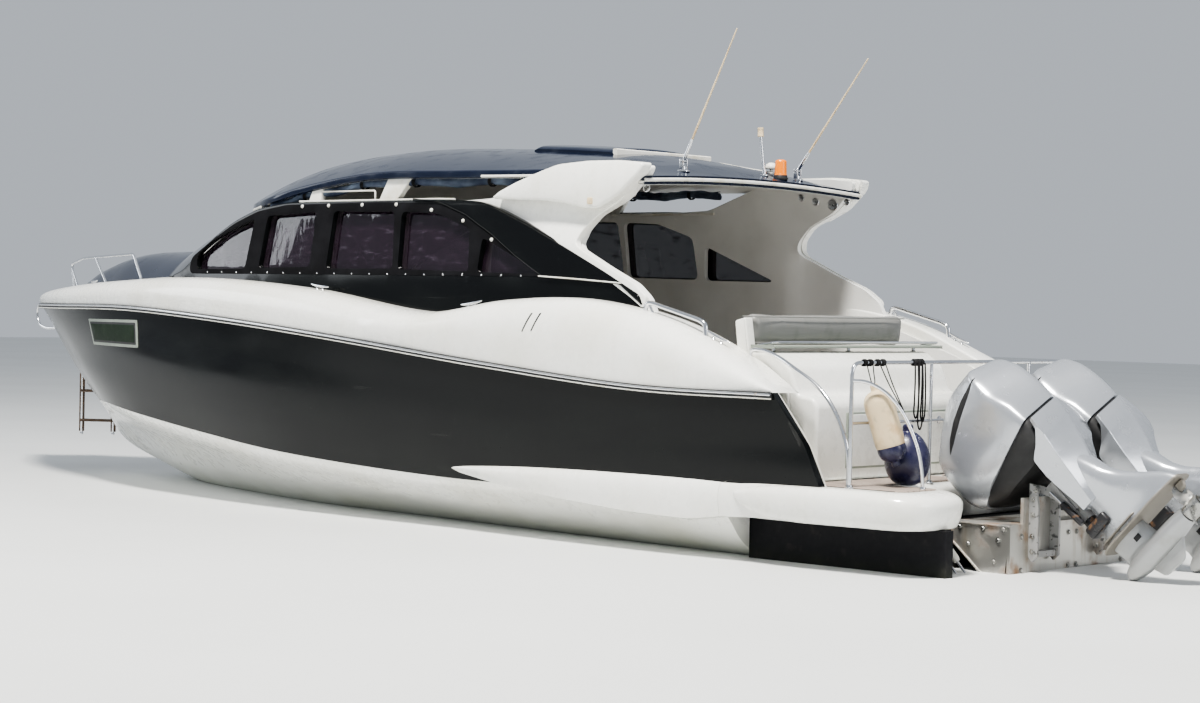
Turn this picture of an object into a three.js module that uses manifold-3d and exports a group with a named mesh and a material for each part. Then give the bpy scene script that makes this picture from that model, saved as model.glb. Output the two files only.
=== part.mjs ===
// An outboard speedboat of about 12 m with a hardtop cabin, afloat.
// Millimetres, +X towards the bow, +Y to port, +Z up.
// The origin is on the centreline at the waterline, midway along it.
import * as THREE from 'three';
import { mergeVertices } from 'three/addons/utils/BufferGeometryUtils.js';
import Module from 'manifold-3d';

const wasm = await Module();
wasm.setup();

// Driving dimensions
const GAP = 0.3;
const SHELL = 60;
const COLUMNS = 22;
const DECK_SPLIT = 14;
const SOLE_Z = 660;
const PLATFORM_TOP = 540;
const PLATFORM_BOTTOM = 300;
const PLATFORM_HALF = 1650;
const HULL_END = -3070;
const PLATFORM_FORE = HULL_END - GAP;
const PLATFORM_AFT = -4660;
const WELL_HALF = 950;
const WELL_FORE = -4120;
const TRANSOM_X = -4330;
const SKIRT_AFT = -4670;
const SIDE_Y = 1400;
const SIDE_THICK = 50;
const LEAN_FROM = 1750;
const LEAN = 0.12;
const RAIL_R = 14;
const ENGINE_Y = 400;
const PIVOT_X = -4800;
const PIVOT_Z = 540;
const TILT_DEG = 47.5;
const STEER_A = -120;
const CUT_IN = 900;
const CUT_OUT = 1600;

// Colours: name, colour, roughness, metalness
const LOOKS = {
  gelcoat: [0xf2f1ea, 0.25, 0],
  black: [0x0d0f12, 0.2, 0],
  antifoul: [0x16181a, 0.8, 0],
  navy: [0x1b2233, 0.2, 0],
  steel: [0xc9ccd0, 0.2, 1],
  glass: [0x3a3542, 0.1, 0],
  teak: [0x6b5a4c, 0.8, 0],
  grey: [0x9a9a98, 0.7, 0],
  dark: [0x1a1a1d, 0.6, 0],
  silver: [0xd8dadd, 0.3, 0.3],
  cream: [0xd8c9a0, 0.6, 0],
  orange: [0xe8761c, 0.4, 0],
};

const boat = new THREE.Group();

function look(name) {
  const [color, roughness, metalness] = LOOKS[name];
  return new THREE.MeshStandardMaterial({ color, roughness, metalness });
}

function place(name, solidOrGeometry, lookName, parent = boat) {
  const isGeometry = solidOrGeometry.isBufferGeometry;
  const geometry = isGeometry ? solidOrGeometry : geometryOf(solidOrGeometry);
  const mesh = new THREE.Mesh(geometry, look(lookName));
  mesh.name = name;
  parent.add(mesh);
  return mesh;
}

// Solids: from a three.js geometry to a manifold and back
function solid(geometry) {
  let shape = geometry.clone();
  shape.deleteAttribute('normal');
  shape.deleteAttribute('uv');
  shape = mergeVertices(shape, 1e-3);
  return new wasm.Manifold(new wasm.Mesh({
    numProp: 3,
    vertProperties: new Float32Array(shape.attributes.position.array),
    triVerts: new Uint32Array(shape.index.array),
  }));
}

function geometryOf(manifold) {
  const mesh = manifold.getMesh();
  const geometry = new THREE.BufferGeometry();
  geometry.setAttribute('position', new THREE.BufferAttribute(new Float32Array(mesh.vertProperties), 3));
  geometry.setIndex(new THREE.BufferAttribute(new Uint32Array(mesh.triVerts), 1));
  return geometry;
}

function join(...solids) {
  return solids.reduce((sum, next) => sum.add(next));
}

function moved(manifold, x, y, z) {
  return manifold.translate([x, y, z]);
}

function mirrored(manifold) {
  return manifold.mirror([0, 1, 0]);
}

// A whole piece from its port half
function bothHalves(half) {
  return join(half, mirrored(half));
}

// What is left of a solid beside a neighbour, which is cut out of it where it stands and moved by each gap
function beside(manifold, neighbour, x, y, z) {
  const shifts = [[x, 0, 0], [0, y, 0], [0, 0, z]].filter((shift) => shift.some((part) => part !== 0));
  return shifts.reduce((left, shift) => left.subtract(moved(neighbour, ...shift)), manifold.subtract(neighbour));
}

// A closed skin through rings of points, all with the same count
function loft(rings) {
  const count = rings[0].length;
  const points = [];
  const triangle = (a, b, c) => points.push(...a, ...b, ...c);
  for (let i = 0; i + 1 < rings.length; i++) {
    for (let j = 0; j < count; j++) {
      const k = (j + 1) % count;
      triangle(rings[i][j], rings[i + 1][j], rings[i + 1][k]);
      triangle(rings[i][j], rings[i + 1][k], rings[i][k]);
    }
  }
  for (const [ring, flip] of [[rings[0], false], [rings[rings.length - 1], true]]) {
    for (const [a, b, c] of capOf(ring)) {
      if (flip) triangle(ring[c], ring[b], ring[a]);
      else triangle(ring[a], ring[b], ring[c]);
    }
  }
  let geometry = new THREE.BufferGeometry();
  geometry.setAttribute('position', new THREE.Float32BufferAttribute(points, 3));
  geometry = withoutSlivers(mergeVertices(geometry, 1e-3));
  if (volumeOf(geometry) < 0) turnInsideOut(geometry);
  return solid(geometry);
}

// The triangles that close a ring, in the ring's own turning sense
function capOf(ring) {
  const normal = new THREE.Vector3();
  const a = new THREE.Vector3();
  const b = new THREE.Vector3();
  ring.forEach((point, i) => {
    a.fromArray(point);
    b.fromArray(ring[(i + 1) % ring.length]);
    normal.add(a.clone().cross(b));
  });
  if (normal.length() < 1) return [];
  const sizes = [Math.abs(normal.x), Math.abs(normal.y), Math.abs(normal.z)];
  const drop = sizes.indexOf(Math.max(...sizes));
  const [u, v] = [[1, 2], [2, 0], [0, 1]][drop];
  const flat = ring.map((point) => new THREE.Vector2(point[u], point[v]));
  const turns = THREE.ShapeUtils.isClockWise(flat);
  const faces = THREE.ShapeUtils.triangulateShape(turns ? flat.slice().reverse() : flat, []);
  const last = ring.length - 1;
  return faces.map(([i, j, k]) => (turns ? [last - k, last - j, last - i].reverse() : [i, j, k]))
    .map((face) => orient(face, flat, turns));
}

function orient([i, j, k], flat, turns) {
  const area = (flat[j].x - flat[i].x) * (flat[k].y - flat[i].y)
    - (flat[k].x - flat[i].x) * (flat[j].y - flat[i].y);
  return (area > 0) === turns ? [i, k, j] : [i, j, k];
}

function withoutSlivers(geometry) {
  const index = geometry.index.array;
  const kept = [];
  for (let i = 0; i < index.length; i += 3) {
    const [a, b, c] = [index[i], index[i + 1], index[i + 2]];
    if (a !== b && b !== c && c !== a) kept.push(a, b, c);
  }
  geometry.setIndex(kept);
  return geometry;
}

function volumeOf(geometry) {
  const position = geometry.attributes.position;
  const index = geometry.index.array;
  const corner = [new THREE.Vector3(), new THREE.Vector3(), new THREE.Vector3()];
  let volume = 0;
  for (let i = 0; i < index.length; i += 3) {
    corner.forEach((v, k) => v.fromBufferAttribute(position, index[i + k]));
    volume += corner[0].dot(corner[1].clone().cross(corner[2]));
  }
  return volume;
}

function turnInsideOut(geometry) {
  const index = geometry.index.array;
  for (let i = 0; i < index.length; i += 3) {
    const first = index[i];
    index[i] = index[i + 1];
    index[i + 1] = first;
  }
}

function box(x0, x1, y0, y1, z0, z1) {
  const geometry = new THREE.BoxGeometry(x1 - x0, y1 - y0, z1 - z0);
  geometry.translate((x0 + x1) / 2, (y0 + y1) / 2, (z0 + z1) / 2);
  return solid(geometry);
}

// A plate: an outline in x and z, thick along y
function sidePlate(outline, y0, y1) {
  const shape = new THREE.Shape(outline.map(([x, z]) => new THREE.Vector2(x, z)));
  const geometry = new THREE.ExtrudeGeometry(shape, { depth: y1 - y0, bevelEnabled: false });
  geometry.rotateX(Math.PI / 2);
  geometry.translate(0, y1, 0);
  return solid(geometry);
}

// A tube whose centre line runs through points; round bends where curved is true
function tube(points, radius, sides = 6, curved = false, stepsPerSpan = 3) {
  const vectors = points.map((p) => new THREE.Vector3(...p));
  if (curved) return sweptTube(new THREE.CatmullRomCurve3(vectors), radius, sides, stepsPerSpan * (points.length - 1));
  const spans = [];
  for (let i = 0; i + 1 < vectors.length; i++) {
    spans.push(rod(vectors[i], vectors[i + 1], radius, sides));
    if (i > 0) {
      const joint = new THREE.SphereGeometry(radius, sides, 4);
      joint.translate(vectors[i].x, vectors[i].y, vectors[i].z);
      spans.push(solid(joint));
    }
  }
  return join(...spans);
}

function sweptTube(curve, radius, sides, steps) {
  const section = new THREE.Shape();
  section.absarc(0, 0, radius, 0, 2 * Math.PI);
  return solid(new THREE.ExtrudeGeometry(section, {
    extrudePath: curve, steps, curveSegments: sides / 2, bevelEnabled: false,
  }));
}

function rod(from, to, radius, sides = 8, radiusTo = radius) {
  const along = to.clone().sub(from);
  const geometry = new THREE.CylinderGeometry(radiusTo, radius, along.length(), sides);
  geometry.applyQuaternion(new THREE.Quaternion().setFromUnitVectors(
    new THREE.Vector3(0, 1, 0), along.clone().normalize()));
  geometry.translate((from.x + to.x) / 2, (from.y + to.y) / 2, (from.z + to.z) / 2);
  return solid(geometry);
}

const at = (x, y, z) => new THREE.Vector3(x, y, z);

// Hull lines: x, y, z from the stern to the stem, for the port side
const KEEL = [[HULL_END, 0, -470], [-1500, 0, -480], [500, 0, -470], [2200, 0, -370], [3600, 0, -190],
  [4300, 0, -60], [4560, 0, 0]];
const WATERLINE = [[HULL_END, 1330, 80], [-1900, 1255, 80], [-820, 1190, 80], [660, 1050, 80],
  [1900, 930, 80], [3300, 600, 80], [4200, 330, 80], [4700, 80, 75], [4790, 0, 80]];
const BILGE = [[HULL_END, 1490, 240], [-1500, 1450, 240], [0, 1400, 240], [1900, 1280, 300],
  [3400, 960, 390], [4360, 640, 420], [5100, 300, 390], [5560, 60, 345], [5650, 0, 340]];
const CHINE = [[HULL_END, 1590, 390], [-2350, 1595, 390], [-370, 1600, 387], [1480, 1585, 469],
  [2550, 1500, 563], [3740, 1320, 674], [4500, 1060, 725], [5200, 600, 700], [5750, 190, 665], [5930, 0, 650]];
const MIDSIDE = [[-3600, 1585, 800], [-2350, 1650, 780], [0, 1685, 850], [2050, 1655, 1000],
  [3660, 1430, 1130], [5000, 990, 1160], [5800, 520, 1140], [6300, 170, 1110], [6430, 0, 1100]];
const SHEER = [[-3440, 1625, 1139], [-2350, 1680, 1151], [-890, 1712, 1262], [750, 1710, 1414],
  [2050, 1660, 1515], [3660, 1450, 1590], [5170, 1060, 1586], [6000, 690, 1582], [6500, 360, 1578],
  [6800, 120, 1576], [6900, 0, 1575]];
const DECK_EDGE = [[-3390, 1540, 1175], [-3070, 1480, 1364], [-2480, 1500, 1593], [-1720, 1530, 1725],
  [-970, 1540, 1708], [-160, 1550, 1606], [1270, 1530, 1763], [2660, 1430, 1836], [4220, 1130, 1799],
  [5240, 790, 1748], [6000, 430, 1700], [6450, 150, 1650], [6560, 0, 1640]];
// The topsides run further aft at their foot, along the raked stern edge
const TOPSIDE_FOOT = [[-3920, 1560, 390], ...CHINE.slice(1)];

// A line around the bow, from the port quarter to the starboard one, so that the stem is smooth
function hullLine(points) {
  const port = points.map((p) => new THREE.Vector3(...p));
  const starboard = port.slice(0, -1).reverse().map((p) => new THREE.Vector3(p.x, -p.y, p.z));
  return new THREE.CatmullRomCurve3([...port, ...starboard], false, 'centripetal');
}

// The same share of each line's own length, so that columns stand about upright
function columnsOf(points) {
  const curve = hullLine(points);
  curve.arcLengthDivisions = 400;
  const column = [];
  for (let i = 0; i <= COLUMNS; i++) {
    const p = curve.getPointAt(0.5 * i / COLUMNS);
    const tangent = curve.getTangentAt(0.5 * i / COLUMNS);
    const normal = new THREE.Vector3(-tangent.y, tangent.x, 0).normalize();
    if (i === COLUMNS) {
      p.y = 0;
      normal.set(1, 0, 0);
    }
    column.push({ p, normal });
  }
  return column;
}

const inward = ({ p, normal }, depth, dz = 0) => [p.x - depth * normal.x, p.y - depth * normal.y, p.z + dz];
const xyz = (v) => [v.x, v.y, v.z];

// The bottom, solid from the keel up to the paint line
function hullBottom() {
  const lines = [CHINE, BILGE, WATERLINE].map(columnsOf);
  const keel = new THREE.CatmullRomCurve3(KEEL.map((p) => new THREE.Vector3(...p)));
  const rings = lines[0].map((_, i) => {
    const { x, z } = lines[0][i].p;
    return [...lines.map((line) => xyz(line[i].p)), xyz(keel.getPointAt(i / COLUMNS)), [x, 0, z]];
  });
  return bothHalves(loft(rings));
}

// One side above the paint line: a shell from its foot to the sheer
function topside() {
  const foot = columnsOf(TOPSIDE_FOOT);
  const middle = columnsOf(MIDSIDE);
  const sheer = columnsOf(SHEER);
  const between = (a, b, share, bulge) => {
    const p = a.p.clone().lerp(b.p, share);
    const normal = a.normal.clone().lerp(b.normal, share).normalize();
    return { p: p.addScaledVector(normal, bulge), normal };
  };
  const rings = foot.map((_, i) => {
    const low = between(foot[i], middle[i], 0.5, 12);
    const high = between(middle[i], sheer[i], 0.5, 0);
    const outer = [foot[i], low, middle[i], high, sheer[i]];
    const inner = [inward(sheer[i], SHELL), inward(middle[i], SHELL), inward(foot[i], SHELL, -10)];
    return [...outer.map((part) => xyz(part.p)), ...inner];
  });
  return loft(offCentre(rings));
}

// The two sides meet at the stem, half a gap off the centreline each
function offCentre(rings) {
  const last = rings[rings.length - 1];
  last.forEach((point) => { point[1] = Math.max(point[1], GAP / 2); });
  return rings;
}

// The white deck moulding bulges out from the sheer up to its inner edge
function shoulder(sheerPart, edgePart) {
  const low = sheerPart.p;
  const top = edgePart.p;
  const swell = Math.min(55, low.y * 0.25);
  const control = low.clone().addScaledVector(sheerPart.normal, swell);
  control.z = low.z + 0.93 * (top.z - low.z);
  const curve = new THREE.QuadraticBezierCurve3(low, control, top);
  return curve.getPoints(4).map(xyz);
}

function deckSide() {
  const sheer = columnsOf(SHEER);
  const edge = columnsOf(DECK_EDGE);
  const rings = [];
  for (let i = 0; i <= DECK_SPLIT; i++) {
    const inner = edge[i].p.y - 200;
    rings.push([...shoulder(sheer[i], edge[i]), [edge[i].p.x, inner, edge[i].p.z],
      [sheer[i].p.x, inner, sheer[i].p.z - 5]]);
  }
  return loft(rings);
}

// The bow's deck: the same moulding carried across, a little higher on the centreline
function foredeck() {
  const sheer = columnsOf(SHEER);
  const edge = columnsOf(DECK_EDGE);
  const rings = [];
  for (let i = DECK_SPLIT; i <= COLUMNS; i++) {
    const camber = edge[i].p.y * 0.05;
    const ring = [...shoulder(sheer[i], edge[i]), [edge[i].p.x, 0, edge[i].p.z + camber],
      [sheer[i].p.x, 0, sheer[i].p.z]];
    if (i === DECK_SPLIT) ring.forEach((point) => { point[0] += GAP; });
    rings.push(ring);
  }
  return bothHalves(loft(rings));
}

// The rubbing strip follows the sheer around the whole boat
function rubRail() {
  const sheer = columnsOf(SHEER);
  const section = [[0.4, -46], [24, -42], [34, -24], [24, -6], [0.4, -2]];
  const ring = ({ p, normal }, side) => section.map(([out, up]) => [
    p.x + out * normal.x, side * (p.y + out * normal.y), p.z + up]);
  const port = sheer.map((part) => ring(part, 1));
  const starboard = sheer.slice(0, -1).reverse().map((part) => ring(part, -1));
  return loft([...port, ...starboard]);
}

// Side spray mouldings: x, y outside, z low, z top
const SPONSON = [[-420, 1632, 452, 478], [-1000, 1668, 370, 515], [-1610, 1685, 310, 530],
  [-2550, 1685, 240, 532], [HULL_END + 0.1, 1680, 215, 532]];

function sponson() {
  return loft(SPONSON.map(([x, out, low, top]) => {
    const round = (top - low) * 0.3;
    return [[x, 1560, top], [x, out - 18, top], [x, out, top - round], [x, out, low + round * 1.4],
      [x, out - 60, low + 10], [x, 1400, low]];
  }));
}

function swimPlatform() {
  const aft = PLATFORM_AFT + 40;
  const half = PLATFORM_HALF - 40;
  const r = (half - WELL_HALF - 40) / 2;
  const shape = new THREE.Shape();
  shape.moveTo(PLATFORM_FORE, -half);
  shape.lineTo(PLATFORM_FORE, half);
  shape.lineTo(aft + r, half);
  shape.absarc(aft + r, half - r, r, Math.PI / 2, 1.5 * Math.PI);
  shape.lineTo(WELL_FORE + 40, WELL_HALF + 40);
  shape.lineTo(WELL_FORE + 40, -WELL_HALF - 40);
  shape.absarc(aft + r, r - half, r, Math.PI / 2, 1.5 * Math.PI);
  const geometry = new THREE.ExtrudeGeometry(shape, {
    depth: PLATFORM_TOP - PLATFORM_BOTTOM - 120, bevelThickness: 60, bevelSize: 40, bevelSegments: 3,
    curveSegments: 10,
  });
  geometry.translate(0, 0, PLATFORM_BOTTOM + 60);
  return solid(geometry).subtract(box(PLATFORM_FORE, PLATFORM_FORE + 100, -1800, 1800, 200, 600));
}

// The black box under the platform closes the hull, with skirts beside the engine bracket
function sternBox() {
  const half = 1300;
  const ring = (x) => [[x, half, PLATFORM_BOTTOM - GAP], [x, half, -60], [x, 0, -440],
    [x, 0, PLATFORM_BOTTOM - GAP]];
  const skirt = sidePlate([[TRANSOM_X + 5, PLATFORM_BOTTOM - GAP], [TRANSOM_X + 5, -200],
    [SKIRT_AFT, -150], [SKIRT_AFT, PLATFORM_BOTTOM - GAP]], half - 80, half);
  return bothHalves(join(loft([ring(HULL_END - GAP), ring(TRANSOM_X)]), skirt));
}

// The stainless bracket that carries both engines behind the transom
const BRACKET_HALF = 750;
const BRACKET_AFT = -4790;
function engineBracket() {
  const fore = TRANSOM_X - GAP;
  const outline = [[fore, 320], [BRACKET_AFT, 320], [BRACKET_AFT + 45, -60], [-4620, -60], [fore, 180]];
  const cheek = sidePlate(outline, BRACKET_HALF - 16, BRACKET_HALF);
  const web = sidePlate(outline, -10, 10);
  const top = box(BRACKET_AFT, fore, -BRACKET_HALF, BRACKET_HALF, 302, 320);
  const aft = box(BRACKET_AFT, BRACKET_AFT + 24, -BRACKET_HALF, BRACKET_HALF, -60, 320);
  const board = box(BRACKET_AFT, BRACKET_AFT + 24, 200, 600, 310, 490);
  return join(cheek, mirrored(cheek), web, top, aft, board, mirrored(board));
}

// Cabin sides lean in above the deck and draw in towards the windscreen
function sideOuter(x, z) {
  const forward = Math.max(0, x - 1500) / 1800;
  return SIDE_Y - 110 * forward * forward - LEAN * Math.max(0, z - LEAN_FROM);
}

// The same stations for all that stands in the side, so that faces stay parallel
const SIDE_STATIONS = [-2600, 1500, 2000, 2500, 3000, 3400];
const BLOCK_LOW = 900;
const BLOCK_TOP = 2900;
function sideBlock(outset, thick) {
  const levels = [BLOCK_LOW, LEAN_FROM, BLOCK_TOP];
  return loft(SIDE_STATIONS.map((x) => [
    ...levels.map((z) => [x, sideOuter(x, z) + outset, z]),
    ...levels.slice().reverse().map((z) => [x, sideOuter(x, z) + outset - thick, z])]));
}

// Outlines in x and z
const SIDE_OUTLINE = [[3330, 1500], [3330, 1850], [3160, 1888], [2900, 2057], [2690, 2192], [2440, 2312],
  [2140, 2408], [1770, 2452], [670, 2463], [-80, 2455], [-430, 2438], [-640, 2382], [-950, 2269],
  [-1450, 2066], [-1780, 1926], [-2190, 1740], [-2190, 1500]];
const WINDOWS = [
  [[2925, 1900], [2930, 2030], [2490, 2234], [2157, 2330], [2220, 1910]],
  [[2057, 1917], [2005, 2350], [1387, 2381], [1403, 1930]],
  [[1219, 1918], [1194, 2382], [477, 2376], [436, 1920]],
  [[391, 1918], [406, 2372], [10, 2356], [-365, 2242], [-401, 1907]],
  [[-478, 1901], [-501, 2174], [-1193, 1895]],
];
const WING_OUTLINE = [[-150, 2400], [-580, 2475], [-830, 2560], [-1080, 2643], [-1233, 2691],
  [-1530, 2716], [-1820, 2714], [-2060, 2690], [-2030, 2620], [-1830, 2433], [-1590, 2320],
  [-1475, 2210], [-1450, 2130], [-1500, 2105], [-1780, 2000], [-2230, 1800], [-2330, 1690],
  [-2330, 1500], [-2150, 1500], [-1400, 1950], [-600, 2300]];

function cabinSide(deck) {
  const outline = sidePlate(SIDE_OUTLINE, CUT_IN, CUT_OUT);
  let panel = sideBlock(0, SIDE_THICK).intersect(outline);
  for (const window of WINDOWS) panel = panel.subtract(sidePlate(window, CUT_IN, CUT_OUT));
  return beside(panel, deck, 0, 0, GAP);
}

// One clear sheet hangs inside each side, behind all of its windows
const SHEET_OUTLINE = [[2980, 1860], [2980, 2000], [2500, 2262], [2150, 2365], [1500, 2420],
  [0, 2405], [-400, 2290], [-1300, 1880], [-1300, 1860]];
const SHEET_THICK = 8;
function windowSheet() {
  return sideBlock(-SIDE_THICK - GAP, SHEET_THICK).intersect(sidePlate(SHEET_OUTLINE, CUT_IN, CUT_OUT));
}

const WING_PROUD = 6;
const WING_THICK = 70;
function wing(panel, deck) {
  const block = sideBlock(WING_PROUD, WING_THICK).intersect(sidePlate(WING_OUTLINE, CUT_IN, CUT_OUT));
  const around = beside(beside(block, panel, -GAP, GAP, GAP), panel, 0, -GAP, 0);
  return largest(beside(around, deck, 0, 0, GAP));
}

function topmost(manifold) {
  const top = (body) => body.boundingBox().max[2];
  return manifold.decompose().reduce((best, next) => (top(next) > top(best) ? next : best));
}

function largest(manifold) {
  const bodies = manifold.decompose();
  return bodies.reduce((best, next) => (next.volume() > best.volume() ? next : best));
}

// Roof: x, half width, edge z, crown z
const ROOF_SPLIT = -150;
const ROOF = [[-2020, 1262, 2600, 2640], [-1700, 1262, 2640, 2740], [-1200, 1265, 2662, 2830],
  [-600, 1275, 2668, 2875], [-150, 1300, 2672, 2898], [800, 1300, 2672, 2930], [1600, 1300, 2580, 2905],
  [2000, 1280, 2505, 2865], [2400, 1090, 2470, 2795], [2800, 800, 2470, 2700], [3100, 500, 2480, 2600],
  [3280, 160, 2492, 2520]];
const ROOF_THICK = 60;

function roofRings(rows) {
  const shares = [0, 0.3, 0.6, 0.85, 1];
  return rows.map(([x, half, edge, crown]) => {
    const top = shares.map((s) => [x, s * half, edge + (crown - edge) * (1 - s * s)]);
    return [...top, ...top.map(([px, y, z]) => [px, y * 0.995, z - ROOF_THICK]).reverse()];
  });
}

function roofAft(wings) {
  const rows = ROOF.filter(([x]) => x <= ROOF_SPLIT);
  return bothHalves(largest(beside(loft(roofRings(rows)), wings, GAP, -GAP, GAP)));
}

function roofFore(wings) {
  const rows = ROOF.filter(([x]) => x >= ROOF_SPLIT);
  const rings = roofRings(rows);
  rings[0].forEach((point) => { point[0] += GAP; });
  return bothHalves(largest(beside(loft(rings), wings, GAP, -GAP, GAP)));
}

// Two posts stand on the cabin side and carry the roof: x aft and fore
const POSTS = [[290, 570], [1290, 1450]];
const POST_IN = 1262;
const POST_OUT = 1300;
function withPosts(panel, roof) {
  const blocks = POSTS.map(([aft, fore]) => box(aft, fore, POST_IN, POST_OUT, 2440, 2700));
  const roofAndAbove = [0, 1, 2].map((k) => moved(roof, 0, 0, k * ROOF_THICK - GAP));
  return largest(join(panel, join(...blocks).subtract(join(...roofAndAbove))));
}

// The dark raised deck forward of the windscreen: x, half width, edge z, crown z
const TRUNK = [[3380, 1130, 1700, 2070], [3600, 1130, 1700, 2080], [4300, 900, 1720, 2085],
  [4900, 680, 1720, 2070], [5300, 520, 1700, 2020], [5820, 300, 1690, 1905], [6150, 120, 1690, 1800]];
function foredeckTrunk(deck) {
  const shares = [0, 0.45, 0.8, 1];
  const rings = TRUNK.map(([x, half, edge, crown]) => [
    ...shares.map((s) => [x, s * half, edge + (crown - edge) * (1 - s ** 4)]), [x, half, 1620], [x, 0, 1620]]);
  return bothHalves(topmost(beside(loft(rings), deck, -GAP, 0, GAP)));
}

// The wraparound windscreen leans back from the trunk to the roof's front edge
function windscreen(carriers) {
  const rings = [];
  const steps = 6;
  for (let i = 0; i <= steps; i++) {
    const t = i / steps;
    const foot = [4600 - 1400 * t * t, 1225 * t, 1850];
    const head = [3230 - 1310 * t * t, 1195 * t, 2440];
    rings.push([foot, head, [head[0] - 40, head[1] * 0.985, head[2]], [foot[0] - 60, foot[1] * 0.975, foot[2]]]);
  }
  let screen = loft(rings);
  for (const carrier of carriers) screen = beside(screen, carrier, 0, 0, GAP);
  return bothHalves(largest(screen));
}

// Cockpit and cabin floor, thick down to the bottom's top
function sole(bottom, platform) {
  const rings = [[-3379, 1490, 1500], [-2900, 1505, 1520], [-2400, 1520, 1560], [0, 1528, 1575], [1500, 1490, 1540],
    [2600, 1370, 1430], [3200, 1280, 1330]].map(([x, foot, half]) => [
    [x, foot, 380], [x, half, SOLE_Z], [x, 0, SOLE_Z], [x, 0, 380]]);
  return bothHalves(largest(beside(beside(loft(rings), bottom, 0, 0, GAP), platform, 4 * GAP, 0, GAP)));
}

// Front bulkhead and dashboard in one moulding
function dashboard(decks) {
  const profile = [[3190, SOLE_Z + GAP], [3350, 1500], [3350, 1800], [2800, 1800], [2480, 1640], [2330, 1380],
    [2560, 1260], [2600, SOLE_Z + GAP]];
  let dash = sidePlate(profile, 0, 1150);
  for (const deck of decks) dash = beside(dash, deck, -GAP, 0, -GAP);
  return bothHalves(largest(dash));
}

const WHEEL = { x: 2290, y: -560, z: 1490, radius: 190, rake: 30 };
function steeringWheel() {
  const ring = solid(new THREE.TorusGeometry(WHEEL.radius, 15, 6, 20));
  const hub = new THREE.CylinderGeometry(38, 38, 40, 10);
  hub.rotateX(Math.PI / 2);
  const shaft = new THREE.CylinderGeometry(16, 16, 84, 8);
  shaft.rotateX(Math.PI / 2);
  shaft.translate(0, 0, -47);
  const spokes = [60, 180, 300].map((angle) => {
    const a = THREE.MathUtils.degToRad(angle);
    return rod(at(0, 0, 0), at(WHEEL.radius * Math.cos(a), WHEEL.radius * Math.sin(a), 0), 9, 6);
  });
  return join(ring, solid(hub), solid(shaft), ...spokes);
}

// Furniture
function helmSeat() {
  const plinth = box(1400, 1800, -860, -260, SOLE_Z + GAP, 1080);
  const cushion = box(1330, 1860, -880, -240, 1078, 1190);
  const back = sidePlate([[1330, 1150], [1430, 1150], [1370, 1700], [1290, 1700]], -870, -250);
  return join(plinth, cushion, back);
}

function bench(side) {
  const base = sidePlate([[-1500, SOLE_Z + GAP], [900, SOLE_Z + GAP], [900, 1010], [-1500, 1010]], 860, 1600);
  const cushion = sidePlate([[-1500, 1005], [900, 1005], [900, 1110], [-1500, 1110]], 830, 1560);
  return largest(beside(join(base, cushion), side, 0, -GAP, 0));
}

// Transom seat: locker, shelf, cushion; the walkway is on the starboard side
function transomLocker() {
  return sidePlate([[-3380, SOLE_Z + GAP], [-2560, SOLE_Z + GAP], [-2560, 1080], [-2920, 1080],
    [-2920, 1395], [-3220, 1395], [-3360, 1300], [-3430, 1120], [-3560, 1100], [-3600, 1050],
    [-3600, PLATFORM_TOP + GAP], [-3380, PLATFORM_TOP + GAP]], -520, 1270);
}

function transomSeat() {
  return sidePlate([[-2560, 1080 + GAP], [-2560, 1180], [-2830, 1190], [-2905, 1660], [-3010, 1660],
    [-3010, 1420], [-2919.7, 1420], [-2919.7, 1080 + GAP]], -560, 1200);
}

function sternShelf() {
  const board = box(-3230, -3010 - GAP, -700, 1270, 1420, 1436);
  const feet = [-480, 300, 1150].map((y) => box(-3200, -3040, y - 20, y + 20, 1395 + GAP, 1422));
  return join(board, ...feet);
}

// Rails
const STERN_X = -4050;
const RAIL_TOP = 1350;
const RAIL_END = -1000;
const RAIL_FLAT = RAIL_R * Math.cos(Math.PI / 6);
const LANYARD_R = 7;
const HOOP_FOOT = [-4410, 1200];
function sternRail() {
  const foot = PLATFORM_TOP + GAP;
  const side = tube([[STERN_X, 1500, foot], [STERN_X, 1500, RAIL_TOP - 60], [STERN_X, 1440, RAIL_TOP],
    [STERN_X, RAIL_END + 60, RAIL_TOP], [STERN_X, RAIL_END, RAIL_TOP - 60], [STERN_X, RAIL_END, foot]], RAIL_R);
  const inner = [620, -570].map((y) => tube([[STERN_X, y, foot], [STERN_X, y, RAIL_TOP]], RAIL_R));
  const middle = tube([[STERN_X, 1500, 960], [STERN_X, RAIL_END, 960]], RAIL_R);
  const hoop = tube([[STERN_X, 1500, 1236], [-4145, 1421, 1218], [-4214, 1363, 1167], [-4284, 1305, 1073],
    [-4346, 1253, 930], [-4388, 1218, 775], [...HOOP_FOOT, 640], [...HOOP_FOOT, foot]], RAIL_R - 2, 6, true);
  const feet = [[STERN_X, 1500], [STERN_X, 620], [STERN_X, -570], [STERN_X, RAIL_END], HOOP_FOOT];
  const bases = feet.map(([x, y]) => {
    const base = new THREE.CylinderGeometry(34, 34, 10, 12);
    base.rotateX(Math.PI / 2);
    base.translate(x, y, foot + 5);
    return solid(base);
  });
  return join(side, ...inner, middle, hoop, ...bases);
}

function boardingRail(deck) {
  const foot = PLATFORM_TOP + GAP;
  const rail = tube([[-3050, 1315, 1300], [-3070, 1315, 1400], [-3160, 1320, 1405], [-3300, 1345, 1372],
    [-3505, 1400, 1293], [-3696, 1420, 1196], [-3830, 1440, 1088], [-3926, 1450, 956], [-3986, 1460, 824],
    [-4008, 1460, 690], [-4008, 1460, foot]], RAIL_R, 6, true, 3);
  return largest(beside(rail, deck, 0, 0, GAP));
}

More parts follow.
